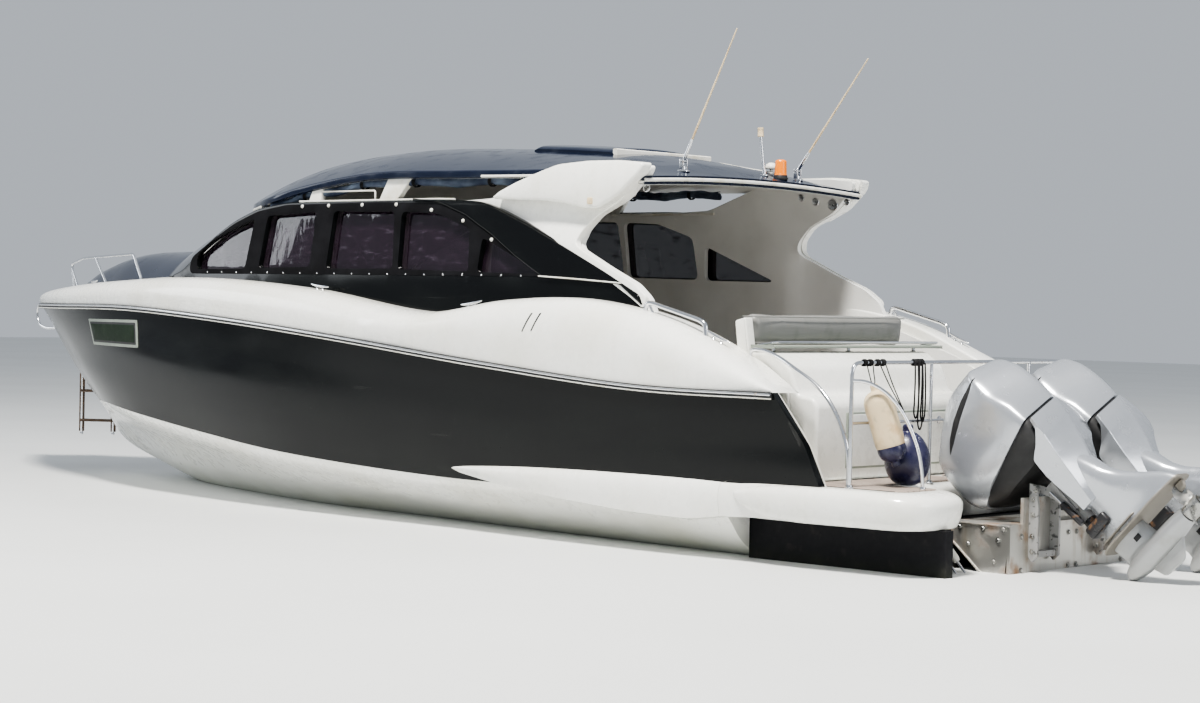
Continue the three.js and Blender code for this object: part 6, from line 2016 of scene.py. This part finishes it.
def canvas_roll(side):
    """radius = 9 mm + 11.5 mm a turn, drawn in at each tie; the roll sags as the sine between two ties."""
    x = np.linspace(ROLL_FROM, ROLL_TO, ROLL_LENGTHS)[:, None]
    turn = np.linspace(0, ROLL_TURNS * 2 * np.pi, ROLL_AROUND)[None]
    tie = np.exp(-((x - TIES[None]) / 0.05) ** 2).max(1, keepdims=True)
    sag = np.sin(np.pi * np.clip((x - TIES.min()) / 0.66, -1, 4)) ** 2
    crumple = 0.0035 * (np.sin(19 * x + 2.0 * turn) + 0.7 * np.sin(41 * x - 3 * turn) * np.cos(5 * x))
    radius = (0.009 + 0.0115 * turn / (2 * np.pi)) * (1 - 0.30 * tie) + crumple * (turn / turn.max())
    y = roll_y(x) + 0 * turn
    lip = np.interp(x, ROOF[:, 0], ROOF[:, 2]) - ROOF_THICK
    z = np.minimum(lip - 0.012, 2.598) - 0.016 * sag + 0 * turn
    middle = np.stack([x + 0 * turn, side * y, z], -1)
    spoke = np.stack([0 * turn + 0 * x, np.cos(turn) + 0 * x, np.sin(turn) + 0 * x], -1)
    outer, inner = (middle + spoke * (radius + skin)[..., None] for skin in (CLOTH_HALF, -CLOTH_HALF))
    cloth = middle + spoke * radius[..., None]
    width = np.linalg.norm(np.diff(cloth, axis=1), axis=-1).sum(1).mean()
    run = np.linalg.norm(np.diff(cloth, axis=0), axis=-1).sum(0).mean()
    return np.concatenate([outer, inner[:, ::-1]], axis=1), float(width), float(run)


for side, label in SIDES:
    rings, roll_width, roll_run = canvas_roll(side)
    roll = loft("canvas_roll_" + label, rings, roof_canvas)
    straps = []
    for x in TIES:
        y = side * roll_y(x)
        lip = min(float(np.interp(x, ROOF[:, 0], ROOF[:, 2])) - ROOF_THICK, 2.61)
        loop = [(x, y + 0.036, lip + 0.004), (x, y + 0.037, lip - 0.03), (x, y, lip - 0.052),
                (x, y - 0.037, lip - 0.03), (x, y - 0.034, lip + 0.010)]
        path = through(np.array(loop), np.linspace(0, 4, 26))
        wide = np.stack([path + (offset, 0, 0) for offset in (-0.012, 0.0, 0.012)])
        straps += [tube_rings(line, 0.0045, 8) for line in wide]
    ties = parts_of("canvas_ties_" + label, straps, webbing)
print("canvas rolls, flat", round(roll_width, 3), "by", round(roll_run, 3), "m")

# %% [markdown]
# On the roof: a raised dark cover with a white lip behind it, a cable, a pole light, an orange beacon, a
# white receiver, and two whip aerials in ratchet mounts. Each foot takes its height from the roof's own
# surface. The aerials belong to their own bodies, and lean aft by the angle that the joints start from.

# %% Roof fittings
COVER_FORE, COVER_AFT, COVER_HALF = -0.20, -1.03, 0.50


def cover_rings():
    """Sections across the cover: it follows the roof, 40 mm above it, and rounds down at every edge."""
    x = np.linspace(COVER_FORE, COVER_AFT, 44)[:, None]
    s = np.sin(np.linspace(-1, 1, 33) * np.pi / 2)[None]
    half, edge, crown = (np.interp(x, ROOF[:, 0], ROOF[:, i]) for i in (1, 2, 3))
    roof = edge + (crown - edge) * (1 - (COVER_HALF * s / half) ** 2)
    ends = np.clip(np.minimum(COVER_FORE - x, x - COVER_AFT) / 0.04, 0, 1) ** 0.5
    lift = 0.040 * (0.35 + 0.65 * ends) * (1 - np.abs(s) ** 20 * 0.5)
    face = np.stack([x + 0 * s, COVER_HALF * s + 0 * x, roof + lift], -1)
    low = np.stack([x[:, 0], 0 * x[:, 0] + COVER_HALF, roof[:, -1] - 0.01], -1)
    return np.concatenate([face, low[:, None], (low * (1, -1, 1))[:, None]], axis=1)


loft("roof_cover", cover_rings(), navy_gelcoat, replaces=["roof_panel"])
lip_y = np.linspace(-0.60, 0.50, 30)
lip_foot = np.array([roof_point(COVER_AFT - 0.012, y, -0.01) for y in lip_y])
lip_head = lip_foot * (1, 1, 0) + (0, 0, 2.856)
lip_rings = np.stack([lip_foot + (0.020, 0, 0), lip_head + (0.020, 0, 0), lip_head + (0.012, 0, 0.007),
                      lip_head + (-0.012, 0, 0.007), lip_head + (-0.022, 0, 0), lip_foot + (-0.024, 0, 0)],
                     1)
loft("cover_lip", lip_rings, white_plastic)
cable = np.array([roof_point(x, y, 0.006) for x, y in ((-1.06, -0.58), (-1.20, -0.56), (-1.34, -0.60),
                                                       (-1.48, -0.62), (-1.60, -0.585), (-1.68, -0.56))])
parts_of("roof_cable", [tube_rings(through(cable, np.linspace(0, 5, 40)), 0.005, 8)], white_plastic)

AERIAL_X, AERIAL_Y, AERIAL_Z = -1.87, 0.67, 2.74
LEAN = {1: math.radians(27), -1: math.radians(38)}


def leaned(points, side):
    """From the aerial's upright frame to its place: turned aft about the pivot."""
    x, y, z = np.moveaxis(np.asarray(points, float), -1, 0)
    cos, sin = math.cos(LEAN[side]), math.sin(LEAN[side])
    return np.stack([AERIAL_X + x * cos - z * sin, side * AERIAL_Y + y, AERIAL_Z + x * sin + z * cos], -1)


def foot_plate(x, y, radius, tall):
    base = roof_point(x, y, -0.004)
    return lathe_rings([(0, 0), (radius, 0), (radius, 0.008), (radius * 0.8, 0.012), (radius * 0.42, 0.016),
                        (radius * 0.36, tall), (0, tall)], base, (0, 0, 1), 24)


for side, label in SIDES:
    y = side * AERIAL_Y
    base = roof_point(AERIAL_X, y)[2]
    mount = [foot_plate(AERIAL_X, y, 0.048, 2.70 - base + 0.004)]
    for ear in (-1, 1):
        ear_y = y + ear * 0.0225
        mount.append(soft_box((AERIAL_X - 0.019, ear_y - 0.0045, 2.672),
                              (AERIAL_X + 0.019, ear_y + 0.0045, 2.757), 0.004, 3))
        mount += bolt((AERIAL_X, ear_y + ear * 0.0045, AERIAL_Z), (0, ear, 0), 0.008, 0.006)
    parts_of("aerial_mount_" + label, mount, polished_steel,
             replaces=["antenna_mount_" + label])
    ferrule = [leaned(lathe_rings([(0, 0.0), (0.010, 0.0), (0.012, 0.02), (0.013, 0.05), (0.013, 0.13),
                                   (0.010, 0.15), (0.009, 0.175), (0, 0.175)], (0, 0, 0), (0, 0, 1), 18),
                      side), leaned(lathe_rings(disc(0.014, -0.0165, 0.0165), (0, 0, 0), (0, 1, 0), 20),
                                    side)]
    parts_of("aerial_ferrule_" + label, ferrule, polished_steel, body="mast_" + label,
             replaces=["antenna_" + label])
    whip = lathe_rings([(0, 0.16), (0.0085, 0.16), (0.0075, 0.45), (0.0060, 0.80), (0.0048, 1.045),
                        (0, 1.05)], (0, 0, 0), (0, 0, 1), 12)
    parts_of("aerial_whip_" + label, [leaned(whip, side)], cream_vinyl, body="mast_" + label,
             slot="white_plastic")

pole_foot = roof_point(-1.88, -0.25)
pole = [foot_plate(-1.88, -0.25, 0.036, 0.05),
        tube_rings([pole_foot, (-1.84, -0.25, 2.975)], 0.0115, 14)]
parts_of("pole", pole, polished_steel, replaces=["light_pole"])
lamp_profile = [(0, 0), (0.023, 0), (0.024, 0.006), (0.022, 0.012), (0.022, 0.052), (0.024, 0.058),
                (0.022, 0.068), (0, 0.070)]
parts_of("pole_lamp", [lathe_rings(lamp_profile, (-1.84, -0.25, 2.975), (0.06, 0, 1), 22)], cream_vinyl)
BEACON = (-1.92, -0.40)
parts_of("beacon_base", [foot_plate(*BEACON, 0.058, 0.03),
                         lathe_rings([(0, 0), (0.052, 0), (0.052, 0.03), (0.048, 0.036), (0, 0.036)],
                                     (*BEACON, 2.655), (0, 0, 1), 28)], dark_plastic,
         replaces=["beacon"])
ribs = [(0.046 - 0.004 * s + 0.0012 * (i % 2), 0.012 + 0.095 * s)
        for i, s in enumerate(np.linspace(0, 1, 25))]
lens = [(0, 0)] + [(0.047, 0.0), (0.048, 0.008)] + ribs + [(0.036, 0.116), (0.02, 0.121), (0, 0.122)]
parts_of("beacon_lens", [lathe_rings(lens, (*BEACON, 2.688), (0, 0, 1), 32)], orange_plastic)
dome_foot = roof_point(-1.70, -0.56)[2]
dome = [foot_plate(-1.70, -0.56, 0.03, 0.03), tube_rings([(-1.70, -0.56, dome_foot), (-1.70, -0.56, 2.76)],
                                                         0.012),
        lathe_rings([(0, 0), (0.044, 0), (0.048, 0.006), (0.048, 0.018), (0.040, 0.034), (0.024, 0.046),
                     (0, 0.050)], (-1.70, -0.56, 2.75), (0, 0, 1), 28)]
parts_of("receiver", dome, white_plastic, replaces=["gps_dome"])
print("roof fittings set on a roof", round(float(roof_point(-1.88, 0)[2]), 3), "m high there")

# %% [markdown]
# Two fenders hang at the port quarter: a long cream one with a navy end, and a round navy one. Each lanyard
# is one cord, from the rail's top bar down through the fender's eye and back to the bar, so its path is a V.
# A hank of spare cord hangs further along in three loops. The knots are short helices around the bar.

# %% Fenders and cords
long_axis = np.array([0.2245, 0.187, 0.9563])
LONG_HIGH = np.array([-4.097, 1.330, 1.215])
LONG_LOW = LONG_HIGH - 0.558 * long_axis
BALL = np.array([-4.15, 1.01, 0.546])
long_body = [(0, 0.115), (0.070, 0.115), (0.092, 0.135), (0.098, 0.165), (0.098, 0.30), (0.099, 0.42),
             (0.094, 0.455), (0.078, 0.485), (0.05, 0.505), (0.030, 0.513), (0.027, 0.545), (0.020, 0.556),
             (0, 0.558)]
long_end = [(0, 0), (0.022, 0.002), (0.027, 0.012), (0.030, 0.035), (0.052, 0.045), (0.079, 0.066),
            (0.092, 0.095), (0.094, 0.130), (0.088, 0.150), (0, 0.150)]
ball_body = [(0, 0), (0.05, 0.004), (0.098, 0.030), (0.131, 0.075), (0.148, 0.130), (0.150, 0.175),
             (0.143, 0.225), (0.122, 0.275), (0.092, 0.318), (0.060, 0.345), (0.038, 0.356), (0.034, 0.392),
             (0.026, 0.402), (0, 0.404)]


def smooth_lathe(profile, base, axis, around=40):
    """A lathe whose profile is first smoothed by the same rule as the hull's lines."""
    flat = np.array([(r, 0, h) for r, h in profile])
    fine = through(flat[:, None], np.linspace(0, len(flat) - 1, 4 * len(flat)))[:, 0]
    return lathe_rings(np.column_stack([np.maximum(fine[:, 0], 0), fine[:, 2]]), base, axis, around)


parts_of("long_fender", [smooth_lathe(long_body, LONG_LOW, long_axis)], cream_vinyl,
         replaces=["stern_fender"])
parts_of("long_fender_end", [smooth_lathe(long_end, LONG_LOW, long_axis)], navy_vinyl)
parts_of("round_fender", [smooth_lathe(ball_body, BALL, (0, 0, 1), 48)], navy_vinyl,
         replaces=["ball_fender"])


def cord_piece(name, points, diameter):
    """A cord as a tube along a smooth path; it gives back the length that the path has."""
    path = through(np.array(points, float), np.linspace(0, len(points) - 1, 40))
    made = parts_of(name, [tube_rings(path, diameter / 2, 10)], webbing)
    length = float(np.linalg.norm(np.diff(path, axis=0), axis=1).sum())
    return length


KNOT_R, KNOT_STEP, CORD_TOP = 0.0195, 0.0095, 1.345


def knot(y, turns=3):
    """Turns of cord around the stern rail's top bar: a helix about the bar."""
    angle = np.linspace(0, 2 * np.pi * turns, 26 * turns)
    path = np.column_stack([STERN_X + KNOT_R * np.cos(angle),
                            y + KNOT_STEP * (angle / np.pi / 2 - turns / 2),
                            RAIL_TOP + KNOT_R * np.sin(angle)])
    return tube_rings(path, 0.005, 8)


knots = {name: parts_of("knot_" + name, [knot(y) for y in ys], webbing)
         for name, ys in (("long", (1.31, 1.37)), ("round", (1.17, 1.23)), ("hank", (0.74, 0.78, 0.82)))}
bar = STERN_X - 0.0215
cord_lengths = [cord_piece("lanyard_long", [
    (bar, 1.305, CORD_TOP), (-4.082, 1.308, 1.285), (-4.095, 1.312, 1.225), (-4.099, 1.330, 1.204),
    (-4.095, 1.348, 1.225), (-4.082, 1.360, 1.285), (bar, 1.372, CORD_TOP)], 0.008)]
cord_lengths.append(cord_piece("lanyard_round", [
    (bar, 1.168, CORD_TOP), (-4.098, 1.12, 1.21), (-4.134, 1.03, 1.02), (-4.150, 1.01, 0.940),
    (-4.142, 1.045, 1.02), (-4.102, 1.165, 1.21), (bar, 1.232, CORD_TOP)], 0.008))
for i, (y, low, gap) in enumerate(((0.722, 0.955, 0.034), (0.762, 0.905, 0.036), (0.800, 0.98, 0.034))):
    path = [(bar, y, CORD_TOP), (bar - 0.004, y - 0.004, 1.22), (bar - 0.004, y - 0.006, 1.08),
            (bar - 0.002, y, low + 0.03), (bar, y + gap / 2, low), (bar + 0.002, y + gap, low + 0.03),
            (bar - 0.002, y + gap + 0.004, 1.08), (bar - 0.004, y + gap + 0.002, 1.22),
            (bar, y + gap, CORD_TOP)]
    path = [(x - 0.009 * (i % 2), a, z) for x, a, z in path]
    cord_lengths.append(cord_piece("hank_%d" % i, path, 0.011))
print("cord lengths", [round(length, 3) for length in cord_lengths])

# %% [markdown]
# The ladder hangs outside the starboard bow: two steel rails with wooden treads between them, on two hooks
# that reach over the deck's edge. It swings on its own body. The treads are planks with rounded edges, in a
# weathered brown.

# %% Bow ladder
LADDER, LADDER_TURN, LADDER_HALF = np.array([6.59, -0.39, 1.59]), math.radians(36), 0.16


def on_ladder(points):
    u, v, w = np.moveaxis(np.asarray(points, float), -1, 0)
    cos, sin = math.cos(LADDER_TURN), math.sin(LADDER_TURN)
    return np.stack([u * cos - v * sin, u * sin + v * cos, w], -1) + LADDER


def make_tread_wood():
    f = Finish("tread_wood", (0.14, 0.085, 0.05))
    grain = f.noise(40, 6, (0.15, 0.15, 1.2))
    grey = f.between(f.noise(9, 4), 0.4, 0.7)
    tone = f.mix(f.between(grain, 0.4, 0.65), (0.17, 0.10, 0.055), (0.075, 0.045, 0.03))
    return f.skin(f.mix(grey * 0.5, tone, (0.22, 0.19, 0.16)), 0.6 + grain * 0.25, grain, 0.0012, 0.8)


tread_wood = make_tread_wood()
tread_wood.slot = "deck_boards"
ladder_path = rounded_path([(-LADDER_HALF, 0, -1.29), (-LADDER_HALF, 0, 0), (LADDER_HALF, 0, 0),
                            (LADDER_HALF, 0, -1.29)], 0.02)
ladder_tubes = [tube_rings(on_ladder(ladder_path), 0.015)]
ladder_tubes += [on_ladder(lathe_rings([(0, 0), (0.016, 0), (0.017, 0.012), (0.014, 0.026), (0, 0.028)],
                                       (u, 0, -1.30), (0, 0, 1), 16)) for u in (-LADDER_HALF, LADDER_HALF)]
parts_of("ladder_rails", ladder_tubes, polished_steel, body="ladder",
         replaces=["bow_ladder"])
treads = [on_ladder(soft_box((-0.172, -0.033, z - 0.013), (0.172, 0.033, z + 0.013), 0.008, 4))
          for z in (-0.29, -0.58, -0.87, -1.16)]
parts_of("ladder_treads", treads, tread_wood, body="ladder")
boards = [on_ladder(soft_box((u - 0.025, -0.012, -1.27), (u + 0.025, 0.012, -0.02), 0.005, 3))
          for u in (-LADDER_HALF, LADDER_HALF)]
parts_of("ladder_boards", boards, tread_wood, body="ladder")
tread_bolts = [on_ladder(ring) for z in (-0.29, -0.58, -0.87, -1.16) for u in (-LADDER_HALF, LADDER_HALF)
               for ring in bolt((u, -0.033, z), (0, -1, 0), 0.006, 0.004)]
parts_of("tread_bolts", tread_bolts, worn_steel, body="ladder")
print("ladder: 4 treads,", len(tread_bolts) // 2, "bolts")

# %% [markdown]
# Fittings on the hull stand where the photograph has them, and their height over the skin comes from the
# skin itself: along each level row y is read at the wanted x, and then between the rows at the wanted z.

# %% Fittings on the hull
def skin_y(rows, x, z):
    """The port skin's y at pairs of x and z. Rows run from the stern to the stem, the lowest first."""
    x, z = np.broadcast_arrays(np.asarray(x, float), np.asarray(z, float))
    ys = np.array([np.interp(x, row[:, 0], row[:, 1]) for row in rows])
    zs = np.array([np.interp(x, row[:, 0], row[:, 2]) for row in rows])
    low = np.clip((zs < z).sum(0) - 1, 0, len(rows) - 2)[None]
    z0, z1, y0, y1 = (np.take_along_axis(a, i, 0)[0] for a, i in ((zs, low), (zs, low + 1), (ys, low),
                                                                  (ys, low + 1)))
    return y0 + (y1 - y0) * np.clip((z - z0) / (z1 - z0 + 1e-9), 0, 1)


side_rows = topside_rings()[:, :33].transpose(1, 0, 2)
deck_rows = shoulder(17)


def hull_plate(name, rows, outline, out, thick, side, finish, radius=0.012, edge=0.003, **more):
    def place(x, z, depth):
        return np.column_stack([x, side * (skin_y(rows, x, z) + out - depth), z])
    return panel(name, rounded_outline(outline, radius), [], place, thick, finish, edge=edge, **more)


NAME_PLATE = [(4.505, 1.462), (3.498, 1.469), (3.484, 1.232), (4.450, 1.236)]
for side, label in SIDES:
    hull_plate("name_plate_" + label, side_rows, NAME_PLATE, 0.008, 0.02, side, grey_plastic)
    field = [(4.475, 1.438), (3.525, 1.445), (3.512, 1.256), (4.425, 1.260)]
    hull_plate("name_field_" + label, side_rows, field, 0.0105, 0.02, side, dark_plastic)
    bare = [(4.450, 1.420), (3.548, 1.427), (3.536, 1.274), (4.404, 1.278)]
    hull_plate("name_blank_" + label, side_rows, bare, 0.0125, 0.02, side, plate_green)
    slots = [[(-1.355, 1.619), (-1.371, 1.617), (-1.303, 1.482), (-1.292, 1.484)],
             [(-1.438, 1.620), (-1.454, 1.618), (-1.390, 1.489), (-1.379, 1.491)]]
    for i, slot_line in enumerate(slots):
        hull_plate("vent_%d_%s" % (i, label), deck_rows, slot_line, 0.0022, 0.006, side, dark_plastic,
                   radius=0.004, edge=0.001)


def cleat(x, y, z, along):
    """A low two-horned cleat: two short posts and a horn bar that thins towards its ends."""
    along = np.asarray(along, float) / np.linalg.norm(along)
    share = np.linspace(-1, 1, 15)[:, None]
    bar_line = np.array([x, y, z + 0.030]) + along * share * 0.11 + np.array([0, 0, 0.006]) * share**2
    horns = tube_rings(bar_line, 0.0105 * np.sqrt(1.12 - share[:, 0] ** 2), 12)
    posts = [lathe_rings([(0, 0), (0.016, 0), (0.009, 0.010), (0.009, 0.032), (0, 0.032)],
                         np.array([x, y, z]) + along * offset, (0, 0, 1), 16) for offset in (-0.035, 0.035)]
    return [horns, *posts]


def deck_top(x, inwards):
    """A point on the deck's inner shelf, a distance inboard of the moulding's edge."""
    edge = lines["edge"][0]
    y, z = (float(np.interp(x, edge[:, 0], edge[:, i])) for i in (1, 2))
    return np.array([x, y - inwards, z])


cleats = []
for x in (-0.55, 1.157, 5.0, -2.86):
    place, ahead = deck_top(x, 0.05), deck_top(x + 0.1, 0.05)
    for side, _ in SIDES:
        cleats += cleat(*(place * (1, side, 1)), (ahead - place) * (1, side, 1))
parts_of("cleats", cleats, polished_steel)
stem_ring = [(6.80, 0, 1.560), (6.95, 0, 1.575), (7.05, 0, 1.545), (7.075, 0, 1.465), (7.03, 0, 1.375),
             (6.93, 0, 1.335), (6.66, 0, 1.345)]
parts_of("stem_ring", [tube_rings(through(np.array(stem_ring), np.linspace(0, 6, 48)), 0.013, 12)],
         polished_steel)
for side, label in SIDES:
    drain_y = side * float(skin_y(np.stack([lines["bilge"][0], lines["paint"][0]]), -3.0, 0.30))
    parts_of("drain_" + label,
             [lathe_rings([(0, -0.004), (0.020, -0.004), (0.020, 0.003), (0.012, 0.006), (0.010, 0.001),
                           (0, 0.001)], (-2.98, drain_y, 0.30), (0, side, -0.3), 20)], dark_plastic)
    strip = [(3.36, side * 1.165, 1.82), (3.10, side * 1.185, 1.935), (2.90, side * 1.195, 2.06)]
    parts_of("screen_strip_" + label, [tube_rings(rounded_path(strip, 0.05), 0.011)], white_plastic)
print("fittings placed; cleats", len(cleats) // 3)

# %% [markdown]
# The solids that stay are plain plates and castings whose shapes are right already. They take the finishes
# of their neighbours.

# %% Finishes for the solids that stay
KEPT = {"stern_box": bottom_paint, "cabin_sole": inner_white, "engine_bracket": stained_steel,
        "ladder_bracket": polished_steel}
KEPT.update({"clamp_bracket_" + label: cast_grey for _, label in SIDES})
KEPT.update({"swivel_bracket_" + label: cast_grey for _, label in SIDES})
for name, finish in KEPT.items():
    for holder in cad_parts[name].material_slots:
        holder.material = finish.material
still = sorted(name for name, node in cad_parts.items() if not node.hide_render and name not in KEPT)
print("solids still plain:", still)

# %% [markdown]
# The floor is a pale, plain plane at the waterline, so only what shows above the water shows above the
# floor. A large soft light stands high on the camera's side, as the sun does in the photograph, a second one
# fills from the bow, and the pale world lights the rest.

# %% Floor, lights and world
def make_floor():
    f = Finish("floor", (0.70, 0.71, 0.70), roughness=0.55)
    f.set("Base Color", colour_noise(f, (0.71, 0.72, 0.71), (0.67, 0.68, 0.67), 0.4, 0.3, 0.8))
    return f


FLOOR_HALF = 60
floor_mesh = bpy.data.meshes.new("floor")
floor_mesh.from_pydata([(x * FLOOR_HALF, y * FLOOR_HALF, 0)
                        for x, y in ((-1, -1), (1, -1), (1, 1), (-1, 1))], [], [(0, 1, 2, 3)])
floor_mesh.materials.append(make_floor().material)
floor = bpy.data.objects.new("floor", floor_mesh)
bpy.context.scene.collection.objects.link(floor)
floor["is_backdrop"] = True


def soft_light(name, place, aim, size, power, colour=(1, 1, 1)):
    lamp = bpy.data.lights.new(name, "AREA")
    lamp.shape, lamp.size, lamp.energy, lamp.color = "DISK", size, power, colour
    made = bpy.data.objects.new(name, lamp)
    made.location = place
    made.rotation_euler = (Vector(aim) - Vector(place)).to_track_quat("-Z", "Y").to_euler()
    bpy.context.scene.collection.objects.link(made)


soft_light("sun_side", (-5, 8, 19), (0, 0, 1), 3.5, 9000, (1.0, 0.97, 0.92))
soft_light("bow_side", (17, 9, 8), (2, 0, 1), 9, 900, (0.92, 0.96, 1.0))
soft_light("stern_side", (-18, -2, 6), (-4, 0, 1), 6, 600)

world = bpy.data.worlds.new("studio")
world.use_nodes = True
world.node_tree.nodes["Background"].inputs["Color"].default_value = (0.86, 0.92, 1.0, 1)
world.node_tree.nodes["Background"].inputs["Strength"].default_value = 0.52
bpy.context.scene.world = world
bpy.context.scene.view_settings.view_transform = "AgX"
bpy.context.scene.view_settings.look = "AgX - Medium High Contrast"
print("floor at z = 0, three soft lights")

# %% [markdown]
# Last, the boxes of the frame and of the finished boat are printed side by side: the finished boat should
# fill the box that the frame had. Only the ring at the stem reaches past it.

# %% Size and finish
dressed_low, dressed_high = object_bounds()
boxes = {"frame": [list(map(float, solid_low)), list(map(float, solid_high))],
         "dressed": [list(map(float, dressed_low)), list(map(float, dressed_high))]}
print("frame", np.round(boxes["frame"], 3).tolist(), "dressed", np.round(boxes["dressed"], 3).tolist())
